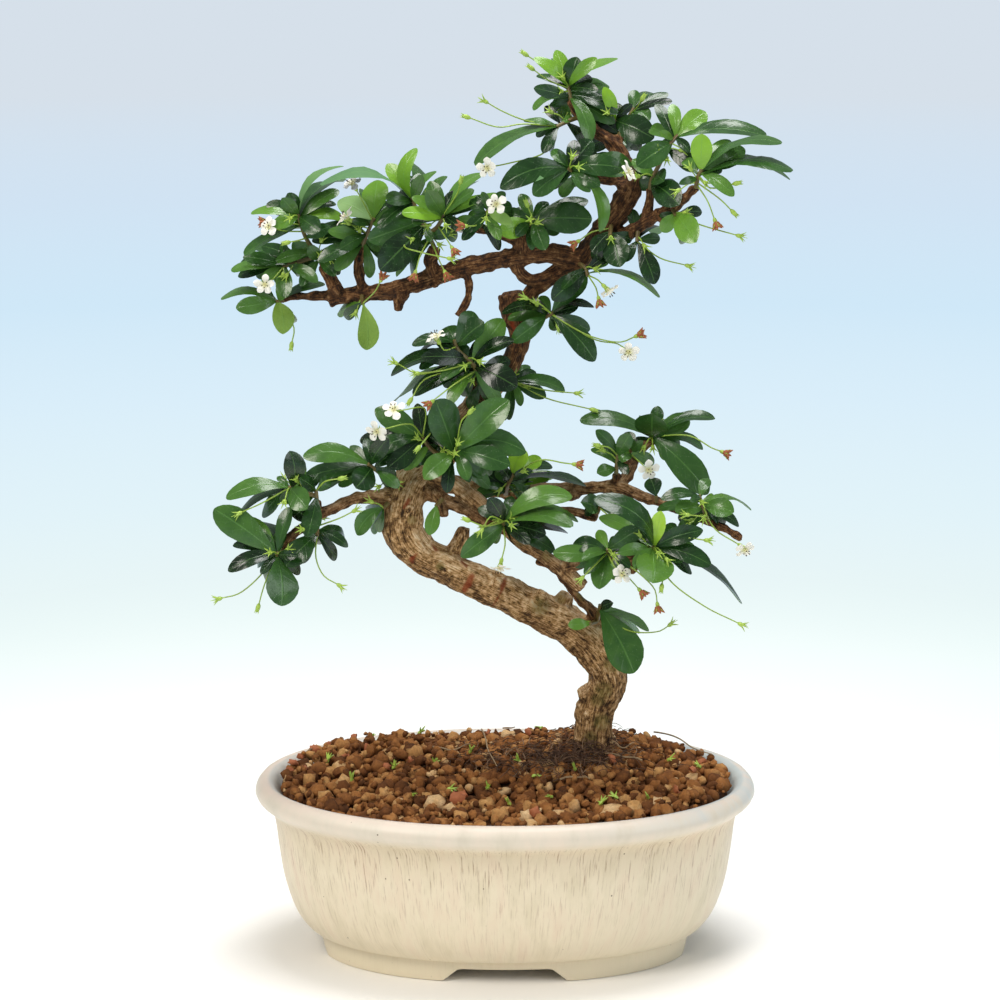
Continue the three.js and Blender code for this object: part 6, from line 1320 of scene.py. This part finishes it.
# Picture points of gaps between the leaves, which no inner leaf reaches into
CLEAR_RADIUS = 7.0
CLEAR_AIR = [(323, 556), (319, 554), (333, 546), (345, 480), (268, 498), (256, 495), (245, 573),
             (291, 576), (674, 160), (676, 182), (743, 169), (279, 219), (628, 413), (420, 417),
             (707, 527), (736, 517), (573, 341)]
# Least and greatest fold, curl and wave of a blade, its roll in radians, the power that
# sets how far past its middle it is widest, and its arch and bow as shares of its length
LEAF_FOLD = (0.08, 0.34)
LEAF_CURL = (0.0, 0.2)
LEAF_WAVE = (-0.16, 0.16)
LEAF_ROLL = (-0.25, 0.65)
LEAF_POWER = (1.3, 1.75)
LEAF_ARCH = (0.03, 0.15)
LEAF_BOW = (-0.01, 0.05)
# Tones of the stems, the stalks and what they end in, and how much paler the leaves of sprays in the light
# are painted, as painted light
STEM_TONE = 0.08
STALK_TONE = 0.46
HEAD_TONE = 0.6
DRY_TONE = 0.3
SUNNY_TONE = 0.06
STATIONS = np.array([0, 0.06, 0.16, 0.28, 0.41, 0.54, 0.66, 0.77, 0.87, 0.94, 0.985, 1])
# Across the blade: five points of the upper side from edge to edge, and one of the underside
RING_ACROSS = np.array([-1, -0.52, 0, 0.52, 1, 0])
RING_UNDER = np.array([0, 0, 0, 0, 0, 1])
# Whether each face of a blade is on its underside, in the order of ring_faces
FACE_UNDER = np.append(np.tile([0, 0, 0, 0, 1, 1], len(STATIONS) - 1), [0, 0])
# Lightness of single leaves, by the picture point of their tip: 1 is a young yellow-green one. Some tones
# are the leaf's own colour, as for young leaves, and some are painted light: the hanging leaves with tips
# at (283, 334) and (367, 350) are painted paler for light shining through them, and others are set to match
# how bright the sheen on them shows
LEAF_TONES = {(661, 511): 0.8, (524, 449): 0.8, (541, 458): 0.7, (544, 475): 0.6, (416, 148): 0.5,
              (387, 165): 0.55, (375, 179): 0.42, (702, 134): 0.66, (706, 113): 0.45, (672, 104): 0.4,
              (345, 219): 0.5, (283, 334): 0.6, (367, 350): 0.62, (512, 224): 0.5, (499, 232): 0.52,
              (509, 400): 0.2, (534, 58): 0.5, (556, 50): 0.5, (597, 58): 0.45, (617, 58): 0.4,
              (246, 517): 0.3, (307, 509): 0.2, (408, 200): 0.36, (402, 213): 0.55, (502, 197): 0.4,
              (482, 173): 0.3, (303, 456): 0.22, (578, 522): 0.24, (573, 528): 0.24, (585, 273): 0.1,
              (660, 297): 0.3, (692, 232): 0.45, (696, 242): 0.4, (424, 479): 0.3, (285, 298): 0.2,
              (568, 625): 0.36, (594, 499): 0.05, (620, 267): 0.04, (623, 168): 0.08, (604, 87): 0.66,
              (600, 232): 0.3, (357, 536): 0.2, (429, 535): 0.32, (652, 414): 0.1, (215, 511): 0.18,
              (745, 150): 0.2}
# How the names start of the sprays that stand free in the light, where all leaves are painted paler as
# painted light
SUNNY_SPRAYS = ("right", "pad", "low")
# Leaves that the scene gives another shape: picture point of the solid's tip, then the new tip,
# the width, the arch and in some the bow
RESHAPED = {
    (652, 138): (654, 138, 29, 0.1), (706, 113): (706, 112, 21, 0.08),
    (767, 135): (767, 136, 14, 0.1), (745, 150): (745, 149, 22, 0.14), (782, 142): (782, 142, 9, 0.14),
    (794, 169): (793, 170, 10, 0.11), (792, 178): (790, 179, 10, 0.08, 0.1),
    (637, 165): (637, 166, 25, 0.08), (665, 179): (664, 181, 20, 0.08),
    (500, 187): (500, 188, 25, 0.14, 0.1), (533, 195): (533, 195, 21, 0.08),
    (475, 165): (475, 165, 13, 0.08, 0.03), (545, 250): (545, 250, 18, 0.08),
    (499, 232): (499, 232, 22, 0.08), (654, 284): (655, 284, 20, 0.08),
    (660, 297): (660, 297, 7, 0.12, 0.05), (585, 273): (585, 272, 24, 0.08),
    (584, 364): (595, 361, 23, 0.1), (594, 499): (594, 498, 22, 0.25),
    (742, 603): (742, 603, 9, 0.04, 0.07), (318, 185): (320, 185, 7, 0.03, 0.19),
    (345, 166): (343, 166, 7, 0.08, 0.14), (408, 200): (412, 197, 13, 0.24),
    (534, 87): (534, 88, 14, 0.08), (596, 430): (596, 430, 13, 0.1), (632, 434): (630, 434, 16, 0.08),
    (524, 449): (524, 449, 20, 0.07), (544, 475): (556, 474, 13, 0.08), (491, 498): (489, 498, 18, 0.08),
    (246, 517): (246, 517, 18, 0.08), (215, 511): (214, 509, 31, 0.05), (580, 420): (580, 420, 16, 0.12),
    (572, 496): (572, 496, 22, 0.12, 0.1), (375, 179): (377, 180, 26, 0.07),
    (641, 528): (640, 528, 20, 0.08), (416, 148): (416, 148, 15, 0.08, -0.16),
    (573, 528): (573, 526, 15, 0.08, 0.06), (578, 522): (578, 521, 12, 0.08, 0.08),
    (303, 456): (303, 456, 20, 0.1, 0.08), (292, 607): (282, 606, 32, 0.06, 0.02),
    (357, 536): (357, 535, 18, 0.06, 0.12), (387, 165): (387, 164, 17, 0.08, 0.04),
}
# Leaves that turn their paler underside to the eye
UNDERSIDES = {(283, 334), (367, 350), (338, 201), (318, 185), (345, 166), (512, 224)}


def seeded(seed):
    """Repeatable numbers from 0 to 1, a linear congruential sequence."""
    state = seed
    while True:
        state = (state * 1664525 + 1013904223) % 4294967296
        yield state / 4294967296


def blade_half(t, power, blunt):
    """Half width of a leaf as a share: widest past its middle and blunt at its tip, the sine of
    half a turn at t to the given power, raised to the bluntness."""
    return np.clip(np.sin(np.pi * t ** power), 0, 1) ** blunt


def blades(root, tip, width, arch, bow, fold, curl, wave, roll, thickness, half_at, towards=None):
    """Points of thin closed blades. Each runs from its root to its tip, arched by a parabola, and
    bowed by another one upwards in the picture, or to the right if it stands upright. Its two
    halves are lifted by the fold and rolled down at the edge by the curl, with a wave along its
    edges. The width is what shows from the eye: a leaf rolled about its own line is wider, and
    so is one whose width is less than a leaf's can be. A petal turns its face another way."""
    length = np.linalg.norm(tip - root, axis=1)
    along = (tip - root) / length[:, None]
    sight = unit((root + tip) / 2 - EYE) if towards is None else -towards
    across = unit(np.cross(along, sight))
    facing = np.cross(along, across)
    full = width if towards is not None else np.maximum(width / np.cos(roll), LEAF_SLENDER * length)
    cosine = width / full
    sine = np.sqrt(1 - np.minimum(cosine, 1) ** 2) * np.where(across[:, 2] > 0, 1, -1) * np.sign(roll)
    side = across * cosine[:, None] - facing * sine[:, None]
    normal = facing * cosine[:, None] + across * sine[:, None]
    t = STATIONS[None, :, None]
    v = RING_ACROSS[None, None, :]
    under = RING_UNDER[None, None, :]
    half = full[:, None, None] / 2 * half_at(t)
    neck = np.clip(1 - t / 0.12, 0, 1)
    half = np.maximum(half, 0.03 * full[:, None, None]) + 0.3 * neck * (half < 0.5)
    length, arch, fold, curl, wave = (value[:, None, None] for value in (length, arch, fold, curl, wave))
    lift = arch * length * 4 * t * (1 - t) + half * (fold * np.abs(v) - curl * np.abs(v) ** 3)
    lift = lift + half * wave * np.abs(v) * np.sin(9 * t + 40 * wave + 1.3 * np.sign(v))
    lift = lift - half * 0.9 * curl * np.clip(t - 0.55, 0, 1) ** 2 * 4 - under * thickness * (1.6 - 0.6 * t)
    bend = across * np.where(across[:, 2] + 0.3 * across[:, 0] > 0, bow, -bow)[:, None]
    middle = root[:, None] + along[:, None] * (length * STATIONS[None, :, None])
    middle = middle + bend[:, None] * (length * (4 * STATIONS * (1 - STATIONS))[None, :, None])
    return (middle[:, :, None] + normal[:, None, None] * lift[..., None]
            + side[:, None, None] * (half * v)[..., None])


# Leathery evergreen leaf: a smooth waxy upper side, nearly black-green in the shade with a broad
# white sheen, a sunk paler midrib, faint side veins and pale pinprick specks, and a matt underside.
VEIN_PAIRS = 6.0
leaf_skin, tree = new_material("glossy_leathery_leaf")
place = add_node(tree, "TexCoord", output="Object")
tone, blade_along, blade_across, underside = [
    add_node(tree, "Attribute", output="Fac", attribute_name=name)
    for name in ("tone", "blade_along", "blade_across", "underside")]
mottle = add_node(tree, "TexNoise", {"Vector": place, "Scale": 180.0, "Detail": 3.0})
depth = add_node(tree, "Math", {0: mottle, 1: 0.16, 2: tone}, operation="MULTIPLY_ADD")
upper = add_node(tree, "ValToRGB", {"Fac": depth},
                 [(0.04, "#0b1c08"), (0.12, "#1c3b14"), (0.22, "#325622"), (0.36, "#4f772e"),
                  (0.56, "#6a962c"), (0.8, "#8bba2e"), (1.0, "#b8dc4c")])
lower = add_node(tree, "ValToRGB", {"Fac": depth},
                 [(0.05, "#4f7a4a"), (0.35, "#6b9150"), (0.7, "#7b9c3a"), (1.0, "#b2d45c")])
from_rib = add_node(tree, "Math", {0: blade_across}, operation="ABSOLUTE")
rib = add_node(tree, "MapRange", {"Value": from_rib, "From Min": 0.07, "From Max": 0.015, "To Max": 0.26})
slant = add_node(tree, "Math", {0: from_rib, 1: -0.22, 2: blade_along}, operation="MULTIPLY_ADD")
vein_turn = add_node(tree, "Math", {0: slant, 1: 2 * math.pi * VEIN_PAIRS}, operation="MULTIPLY")
vein_wave = add_node(tree, "Math", {0: vein_turn}, operation="SINE")
vein = add_node(tree, "MapRange", {"Value": vein_wave, "From Min": 0.86})
vein_tint = add_node(tree, "Math", {0: vein, 1: 0.03}, operation="MULTIPLY")
specks = add_node(tree, "TexVoronoi", {"Vector": place, "Scale": 700.0})
speck = add_node(tree, "MapRange", {"Value": specks, "From Min": 0.2, "From Max": 0.1, "To Max": 0.1})
skin = upper
for share, tint in ((underside, lower), (rib, "#6fa04c"), (vein_tint, "#7fae63"), (speck, "#a9c09a")):
    skin = add_node(tree, "Mix", {"Factor": share, "A": skin, "B": tint}, data_type="RGBA")
blister = add_node(tree, "TexNoise", {"Vector": place, "Scale": 450.0, "Detail": 1.0})
dip = mottle
for dent, amount in ((rib, -1.6), (vein, -0.12), (blister, 0.35)):
    dip = add_node(tree, "Math", {0: dent, 1: amount, 2: dip}, operation="MULTIPLY_ADD")
relief = add_node(tree, "Bump", {"Height": dip, "Strength": 0.28, "Distance": 0.0006})
gloss = add_node(tree, "MapRange", {"Value": underside, "To Min": 0.22, "To Max": 0.6})
shader = add_node(tree, "BsdfPrincipled", {"Base Color": skin, "IOR": 1.45, "Roughness": gloss,
                                           "Normal": relief, "Specular IOR Level": 0.55})
add_node(tree, "OutputMaterial", {"Surface": shader})

solid_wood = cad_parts["wood"].data
wood_tree = BVHTree.FromPolygons([v.co.copy() for v in solid_wood.vertices],
                                 [list(p.vertices) for p in solid_wood.polygons])


def is_outside_wood(place):
    """Whether a place lies clear outside the solid wood."""
    touch, normal, _, distance = wood_tree.find_nearest(Vector(place * MM))
    return distance > SEAT_CLEARANCE * MM and (Vector(place * MM) - touch).dot(normal) > 0


def seats_on(stems):
    """Picture points with a depth, spaced along the stems, that lie outside the wood."""
    seats = []
    for stem in stems:
        for share in np.minimum(LAST_SEAT, np.arange(STEM_SEATS + 1) / STEM_SEATS):
            at = share * (len(stem) - 1)
            point = [float(np.interp(at, range(len(stem)), axis)) for axis in zip(*stem)]
            if is_outside_wood(spot([point])[0]):
                seats.append({"point": point, "taken": 0})
    return seats


def nearest_seat(seats, px, py):
    """The seat nearest to a pixel, where each one already taken counts as a little further."""
    seat = min(seats, key=lambda seat: math.hypot(seat["point"][0] - px, seat["point"][1] - py)
               + SEAT_TAKEN * seat["taken"])
    seat["taken"] += 1
    return seat["point"]


def depth_in_solid(node_points, node_pixels, tip):
    """Depth of the solid leaf's tip: that of the node's point that shows at the tip's pixel."""
    miss = np.abs(node_pixels - tip).max(axis=1)
    found = miss.argmin()
    return node_points[found, 1] if miss[found] < TIP_MISS else None


def shifted_stalk(kind, rows, foot, node_points):
    """A stalk's places and the way its end faces, at the depth at which the solid has a ring of
    points round that end."""
    reach, radius = {"bud": (4.0, 0.5), "dry": (5.2, 2.3)}.get(kind, (CUP_LENGTH, 1.6))
    best = None
    for shift in DEPTH_TRIES:
        places = spot([foot] + [[x, y, depth + shift] for x, y, depth in rows[1:]])
        facing = unit(places[-1] - places[-2])
        if kind == "open":
            facing = unit(unit(EYE - places[-1]) + 0.35 * facing)
        miss = np.abs(np.linalg.norm(node_points - (places[-1] + facing * reach), axis=1) - radius)
        has_ring = (miss < RING_MISS).sum() >= 3
        if best is None or has_ring:
            best = (places, facing)
        if has_ring:
            break
    return best


def sides_of(facing):
    """Two directions at right angles to the one that is faced and to each other."""
    across = unit(np.cross([0.3, 0.2, 1.0], facing))
    return across, np.cross(facing, across)


def spikes(base, facing, tilt, length, radius, spin):
    """Paths of five narrow pointed teeth that spread from a base round the way it faces."""
    across, up = sides_of(facing)
    paths = []
    for k in range(5):
        turn = 2 * math.pi * k / 5 + spin
        out = math.cos(turn) * across + math.sin(turn) * up
        run = np.array([[0.0], [0.35], [0.7], [1.0]]) * length
        bow = np.array([[0.0], [0.25], [0.62], [1.0]]) * length * tilt
        places = base + facing * run + out * (bow + 0.5 * radius)
        paths.append((places, radius * np.array([1, 0.9, 0.55, 0.12])))
    return paths


def stalk_head(kind, end, facing, spin):
    """Paths of what a stalk ends in, sorted by material: green parts and withered parts."""
    if kind == "bud":
        swollen = (on_line(end, facing, [-0.3, 0.5, 1.5, 2.6, 3.3, 3.6]), [0.4, 0.95, 1.15, 0.95, 0.6, 0.2])
        return [swollen] + spikes(end + facing * 0.8, facing, 0.22, 3.4, 0.45, spin), []
    green = [(on_line(end, facing, [-0.2, 0.5, 1.3, 2.2]), [0.35, 0.85, 1.0, 0.75])]
    green += spikes(end + facing * 1.2, facing, 0.4 if kind == "side" else 0.75, 2.9, 0.42, spin)
    if kind == "dry":
        trumpet = (on_line(end, facing, [0.8, 1.8, 2.8, 3.8, 4.2]), [0.8, 1.0, 1.6, 1.3, 0.3])
        return green, [trumpet] + spikes(end + facing * 2.4, facing, 0.8, 2.6, 1.0, spin + 0.5)
    if kind == "cup":
        green.append((on_line(end, facing, [1.5, 3.2, 5.0]), [0.22, 0.17, 0.1]))
    return green, []


def bladed_piece(name, node, materials, shape, blade_tones, path_groups, sides):
    """One piece of blades and tubes that stands for a node: the blades are of the first material,
    and each group of paths is of the next one. Each blade and path has a tone."""
    per_blade = len(STATIONS) * len(RING_ACROSS)
    points = [shape.reshape(-1, 3)]
    faces = sum((ring_faces(len(STATIONS), len(RING_ACROSS), k * per_blade) for k in range(len(shape))), [])
    face_materials = [0] * len(faces)
    tones = [np.repeat(blade_tones, per_blade)]
    for material, (paths, path_tones) in enumerate(path_groups, 1):
        if paths:
            more_points, more_faces = tubes(paths, sides)
            first = sum(len(part) for part in points)
            faces += [[corner + first for corner in face] for face in more_faces]
            face_materials += [material] * len(more_faces)
            points.append(more_points)
            tones += [np.full(len(places) * sides, tone) for (places, _), tone in zip(paths, path_tones)]
    piece = new_piece(name, np.vstack(points), faces, materials, [node], face_materials,
                      sharp_degrees=60)
    add_numbers(piece, "tone", np.concatenate(tones))
    along = np.zeros(len(piece.data.vertices))
    along[:len(points[0])] = np.broadcast_to(STATIONS[:, None], shape.shape[:3]).ravel()
    add_numbers(piece, "blade_along", along)
    return piece


leaf_rows = {name: [list(row) for row in leaves] for name, _, leaves, _ in SPRAYS}
mate_rows = {name: [] for name in leaf_rows}
inner_rows = {name: [] for name in leaf_rows}
draw = seeded(11)
for name, leaves in leaf_rows.items():
    for bx, by, tx, ty, width, behind, *_ in leaves[1::MATE_EVERY]:
        turn = (next(draw) - 0.5) * 0.6
        reach = 0.72 + 0.16 * next(draw)
        dx, dy = (tx - bx) * reach, (ty - by) * reach
        mate_rows[name].append([bx, by, bx + dx * math.cos(turn) - dy * math.sin(turn),
                                by + dx * math.sin(turn) + dy * math.cos(turn),
                                max(MATE_WIDTH, width * 0.9), max(behind, 0) + MATE_DEPTH + 5 * next(draw)])

# Inner leaves: one more on each outer leaf's foot, where there is room, headed between two others
random = np.random.default_rng(31)
for name, leaves in leaf_rows.items():
    outer = np.array([row[:4] for row in leaves], float)
    for bx, by in outer[:, :2] if len(outer) > 4 else []:
        share = random.uniform(0.15, 0.85)
        one, other = outer[random.integers(len(outer), size=2)]
        dx, dy = share * (one[2:] - one[:2]) + (1 - share) * (other[2:] - other[:2])
        reach = random.uniform(*INNER_REACH) / max(1.0, math.hypot(dx, dy) / INNER_LONGEST)
        tip_x, tip_y = bx + dx * reach, by + dy * reach
        is_in_gap = any(math.hypot(tip_x - x, tip_y - y) < CLEAR_RADIUS for x, y in CLEAR_AIR)
        if math.hypot(dx, dy) * reach > INNER_SHORTEST and not is_in_gap:
            inner_rows[name].append([bx, by, tip_x, tip_y, random.uniform(*INNER_WIDTH),
                                     random.uniform(*INNER_DEPTH)])

droop = np.random.default_rng(77)
for name, stems, _, stalks in SPRAYS:
    node = "spray_" + name
    node_points = points_of(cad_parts[node].data)
    node_pixels = picture_of(node_points)
    seats = seats_on(stems)
    green_paths = [tapered(spot(stem), 2.0, STEM_RADIUS * 0.9, STEM_RADIUS * 0.7) for stem in stems]
    green_tones = [STEM_TONE] * len(green_paths)
    dry_paths = []
    for kind, rows in stalks:
        places, facing = shifted_stalk(kind, rows, nearest_seat(seats, *rows[0][:2]), node_points)
        green, dry = stalk_head(kind, places[-1], facing, random.uniform(0, 1.2))
        green_paths += [tapered(places, 2.2, STALK_RADIUS, 0.28), *green]
        green_tones += [STALK_TONE] + [HEAD_TONE] * len(green)
        dry_paths += dry
    # Sprigs: short bare stalks with spent calyxes, which hang from the stems
    for _ in range(round(SPRIG_SHARE * len(leaf_rows[name]))):
        start = spot([seats[droop.integers(len(seats))]["point"]])[0]
        heading = unit(droop.normal(size=3) + [0, -0.9, 0.4])
        reach = droop.uniform(*SPRIG_REACH)
        places = on_line(start, heading, [0, 0.5, 1] * np.array(reach))
        places[1, 2] += 0.12 * reach
        teeth = stalk_head("cup", places[-1], heading, droop.uniform(0, 1.2))[0][:6]
        green_paths += [tapered(places, 1.5, STALK_RADIUS, 0.25), *teeth]
        green_tones += [0.5] + [0.62] * len(teeth)
    roots, tips, widths, arches, bows, tones, shows_under = [], [], [], [], [], [], []
    seen = leaf_rows[name] + mate_rows[name] + SMALL_LEAVES.get(name, [])
    for number, row in enumerate(seen + inner_rows[name]):
        bx, by, tx, ty, width, behind, *bends = row
        # Most leaves that show are dark and few are bright, at random, and the inner ones are all painted
        # dark, as shade inside the crown
        tone = random.beta(1.4, 3.2) * 0.48 - 0.04 if number < len(seen) else random.uniform(-0.03, 0.2)
        if name.startswith(SUNNY_SPRAYS):
            tone += SUNNY_TONE
        foot = nearest_seat(seats, bx, by)
        depth = depth_in_solid(node_points, node_pixels, np.array([tx, ty]))
        depth = foot[2] + behind if depth is None else depth
        shape = (tx, ty, width, *(bends or [random.uniform(*LEAF_ARCH)]))
        *tip, width, arch, bow = (*RESHAPED.get((tx, ty), shape), droop.uniform(*LEAF_BOW))[:5]
        roots.append(spot([foot])[0])
        tips.append(spot([[*tip, depth]])[0])
        widths.append(width)
        arches.append(arch)
        bows.append(bow)
        tones.append(LEAF_TONES.get((tx, ty), tone))
        shows_under.append((tx, ty) in UNDERSIDES)
    roots, tips, tones = np.array(roots), np.array(tips), np.array(tones)
    widths = np.array(widths) * np.linalg.norm((roots + tips) / 2 - EYE, axis=1) / FOCAL
    count = len(roots)
    lengths = np.linalg.norm(tips - roots, axis=1)
    # A narrow leaf rolls less, and always one way
    rolls = np.where(widths < 0.5 * lengths, 0.3, 1) * random.uniform(*LEAF_ROLL, count)
    rolls = np.where(widths < 0.5 * lengths, np.abs(rolls) + 0.01, rolls)
    powers = random.uniform(*LEAF_POWER, count)[:, None, None]
    blunt = np.interp(widths / lengths, [0.15, 0.36], [0.36, 0.56])[:, None, None]
    fold, curl, wave = [random.uniform(*limits, count) for limits in (LEAF_FOLD, LEAF_CURL, LEAF_WAVE)]
    shape = blades(roots, tips, widths, np.array(arches), np.array(bows), fold, curl,
                   wave * np.minimum(1, 8 / widths), rolls, LEAF_THICKNESS,
                   lambda t: blade_half(t, powers, blunt))
    spray = bladed_piece("leaves_" + name, node, [leaf_skin, green_stalk, dry_petal], shape, tones,
                         [(green_paths, green_tones), (dry_paths, [DRY_TONE] * len(dry_paths))], PATH_SIDES)
    across = np.ones(len(spray.data.vertices))
    across[:shape.size // 3] = np.broadcast_to(RING_ACROSS, shape.shape[:3]).ravel()
    add_numbers(spray, "blade_across", across)
    is_under = np.zeros(len(spray.data.polygons))
    blade_faces = np.where(np.array(shows_under)[:, None], 1 - FACE_UNDER, FACE_UNDER).ravel()
    is_under[:len(blade_faces)] = blade_faces
    add_numbers(spray, "underside", is_under, "FACE")

# Flowers
# Sixteen open flowers sit on the ends of stalks. Each is one thin white corolla, split into five
# round lobes that fold back, with a green-yellow throat and five dark-tipped stamens.
PETAL_LENGTH = 4.9
PETAL_WIDTH = 3.8
PETAL_ARCH = 0.12
PETAL_FOLD = (-0.1, 0.25)
PETAL_CURL = (0.0, 0.3)
PETAL_WAVE = (-0.3, 0.3)
PETAL_THICKNESS = 0.16
FLOWER_COUNT = 16

# Petal: thin soft tissue, off-white and a little see-through, cream towards the throat
white_petal, tree = new_material("soft_white_petal")
place = add_node(tree, "TexCoord", output="Object")
petal_along = add_node(tree, "Attribute", output="Fac", attribute_name="blade_along")
fleck = add_node(tree, "TexNoise", {"Vector": place, "Scale": 600.0})
petal_colour = add_node(tree, "ValToRGB", {"Fac": petal_along}, [(0.0, "#c9cc7c"), (0.2, "#e3e0bf"),
                                                                 (0.45, "#eee9dc"), (1.0, "#f3efe4")])
relief = add_node(tree, "Bump", {"Height": fleck, "Strength": 0.2, "Distance": 0.0002})
shader = add_node(tree, "BsdfPrincipled", {"Base Color": petal_colour, "Roughness": 0.55,
                                           "Normal": relief, "Subsurface Weight": 0.15,
                                           "Subsurface Radius": (0.001, 0.001, 0.0008)})
add_node(tree, "OutputMaterial", {"Surface": shader})
# Stamen: a fine cream thread with a brown pollen sac at its end
stamen = plain_material("brown_stamen", [(0.1, "#2c1c10"), (0.5, "#7a5a30"), (0.9, "#e4dca8")], 900.0, 0.7)


def petal_half(t):
    """Half width of a petal as a share: narrow at the throat, widest past its middle and blunt at
    its end, the sine of half a turn at t to the power 1.35, raised to 0.7."""
    return 0.25 * (1 - t) + np.clip(np.sin(np.pi * t ** 1.35), 0, 1) ** 0.7 * (0.5 + 0.5 * t)


def flower_axis(points):
    """Seat and facing of a solid flower: it is flattest along its axis, and its seat is the point
    that lies furthest from the rest along it."""
    middle = points.mean(axis=0)
    axis = np.linalg.svd(points - middle)[2][2]
    lift = (points - middle) @ axis
    seat = np.abs(lift - np.median(lift)).argmax()
    return points[seat], axis * (-1 if lift[seat] > np.median(lift) else 1)


for number in range(1, FLOWER_COUNT + 1):
    node = f"flower_{number}"
    solid = np.unique(points_of(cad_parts[node].data).round(4), axis=0)
    seat, facing = flower_axis(solid)
    facing = unit(facing + 0.34 * random.normal(size=3))
    across, up = sides_of(facing)
    turn = 2 * math.pi * (np.arange(5) + 0.5) / 5 + random.uniform(-0.2, 0.2, 5)
    out = np.cos(turn)[:, None] * across + np.sin(turn)[:, None] * up
    fall = random.uniform(0.2, 2.6, 5)[:, None]
    roots = seat + facing * 0.9 + out * 0.35
    tips = seat + facing * fall + out * (PETAL_LENGTH * random.uniform(0.82, 1.06, 5))[:, None]
    widths = PETAL_WIDTH * random.uniform(0.85, 1.1, 5)
    fold, curl, wave = [random.uniform(*limits, 5) for limits in (PETAL_FOLD, PETAL_CURL, PETAL_WAVE)]
    shape = blades(roots, tips, widths, np.full(5, PETAL_ARCH), np.zeros(5), fold, curl, wave,
                   np.zeros(5), PETAL_THICKNESS, petal_half, np.broadcast_to(facing, (5, 3)))
    # The throat, and five stamens: a thread with a pollen sac at its end
    threads = [(on_line(seat, facing, [-0.3, 0.3, 1.2]), [0.5, 0.9, 0.7])]
    for k in range(5):
        lean = unit(facing + 0.5 * np.cos(turn[k] + 0.6) * across + 0.5 * np.sin(turn[k] + 0.6) * up)
        threads.append((on_line(seat + facing, lean, [0.0, 1.3, 2.6]), [0.1, 0.09, 0.08]))
        threads.append((on_line(seat + facing, lean, [2.4, 2.8, 3.3]), [0.12, 0.3, 0.1]))
    bladed_piece(f"corolla_{number}", node, [white_petal, stamen], shape, np.zeros(5),
                 [(threads, [0.75] + [0.7, 0.0] * 5)], 5)

# Floor and light
# A seamless pale sweep under soft studio light: white paper round the pot, and further out paper
# that glows with painted light, where it turns a faint blue. One softbox stands high in front on the left,
# one overhead.
SWEEP_RADIUS = 30000.0
# Metres over which the paper's colour runs through its stops
SWEEP_SCALE = 8.0
FLOOR_SIDES = 96
paper, tree = new_material("pale_paper")
place = add_node(tree, "TexCoord", output="Object")
reach = add_node(tree, "VectorMath", {0: place}, output="Value", operation="LENGTH")
share = add_node(tree, "Math", {0: reach, 1: SWEEP_SCALE}, operation="DIVIDE")
paper_colour = add_node(tree, "ValToRGB", {"Fac": share}, [(0.02, "#fdfbf7"), (0.05, "#f6faf7"),
                                                           (0.08, "#ebf7f6"), (0.125, "#e2f3f9"),
                                                           (0.19, "#daeefa"), (0.28, "#d0e8f8"),
                                                           (0.45, "#d1e3f3"), (0.85, "#d6e0ea")])
# Painted light: from 0.2 m out the paper glows more and more, while its lit colour fades to black
glow = add_node(tree, "MapRange", {"Value": reach, "From Min": 0.2, "From Max": 0.75, "To Min": 0.0})
lit = add_node(tree, "Mix", {"Factor": glow, "A": paper_colour, "B": "#000000"}, data_type="RGBA")
shader = add_node(tree, "BsdfPrincipled", {"Base Color": lit, "Roughness": 0.9,
                                           "Emission Color": paper_colour, "Emission Strength": glow,
                                           "Specular IOR Level": 0.0})
add_node(tree, "OutputMaterial", {"Surface": shader})
turn = 2 * math.pi * np.arange(FLOOR_SIDES) / FLOOR_SIDES
floor_mesh = new_mesh("floor", np.column_stack([np.cos(turn), np.sin(turn), 0 * turn]) * SWEEP_RADIUS,
                      [list(range(FLOOR_SIDES))])
floor_mesh.materials.append(paper)
floor = bpy.data.objects.new("floor", floor_mesh)
bpy.context.scene.collection.objects.link(floor)


def softbox(name, place, size, watts, colour):
    """A square area light at a place in metres that faces the middle of the tree."""
    light = bpy.data.lights.new(name, "AREA")
    light.shape = "SQUARE"
    light.size = size
    light.energy = watts
    light.color = linear(colour)[:3]
    box = bpy.data.objects.new(name, light)
    box.location = place
    box.rotation_euler = (Vector((0, 0, 0.2)) - Vector(place)).to_track_quat("-Z", "Y").to_euler()
    bpy.context.scene.collection.objects.link(box)


softbox("key", (-1.1, -1.3, 1.7), 0.8, 26.0, "#fff9f0")
softbox("fill", (1.7, -1.1, 1.0), 1.0, 9.5, "#f4f8ff")
softbox("overhead", (0.15, 0.1, 1.9), 0.9, 29.0, "#ffffff")

world = bpy.data.worlds.new("studio")
world.use_nodes = True
tree = world.node_tree
tree.nodes.clear()
sky = add_node(tree, "Background", {"Color": "#e3edf5", "Strength": 0.34})
add_node(tree, "OutputWorld", {"Surface": sky})
bpy.context.scene.world = world
bpy.context.scene.view_settings.view_transform = "Standard"
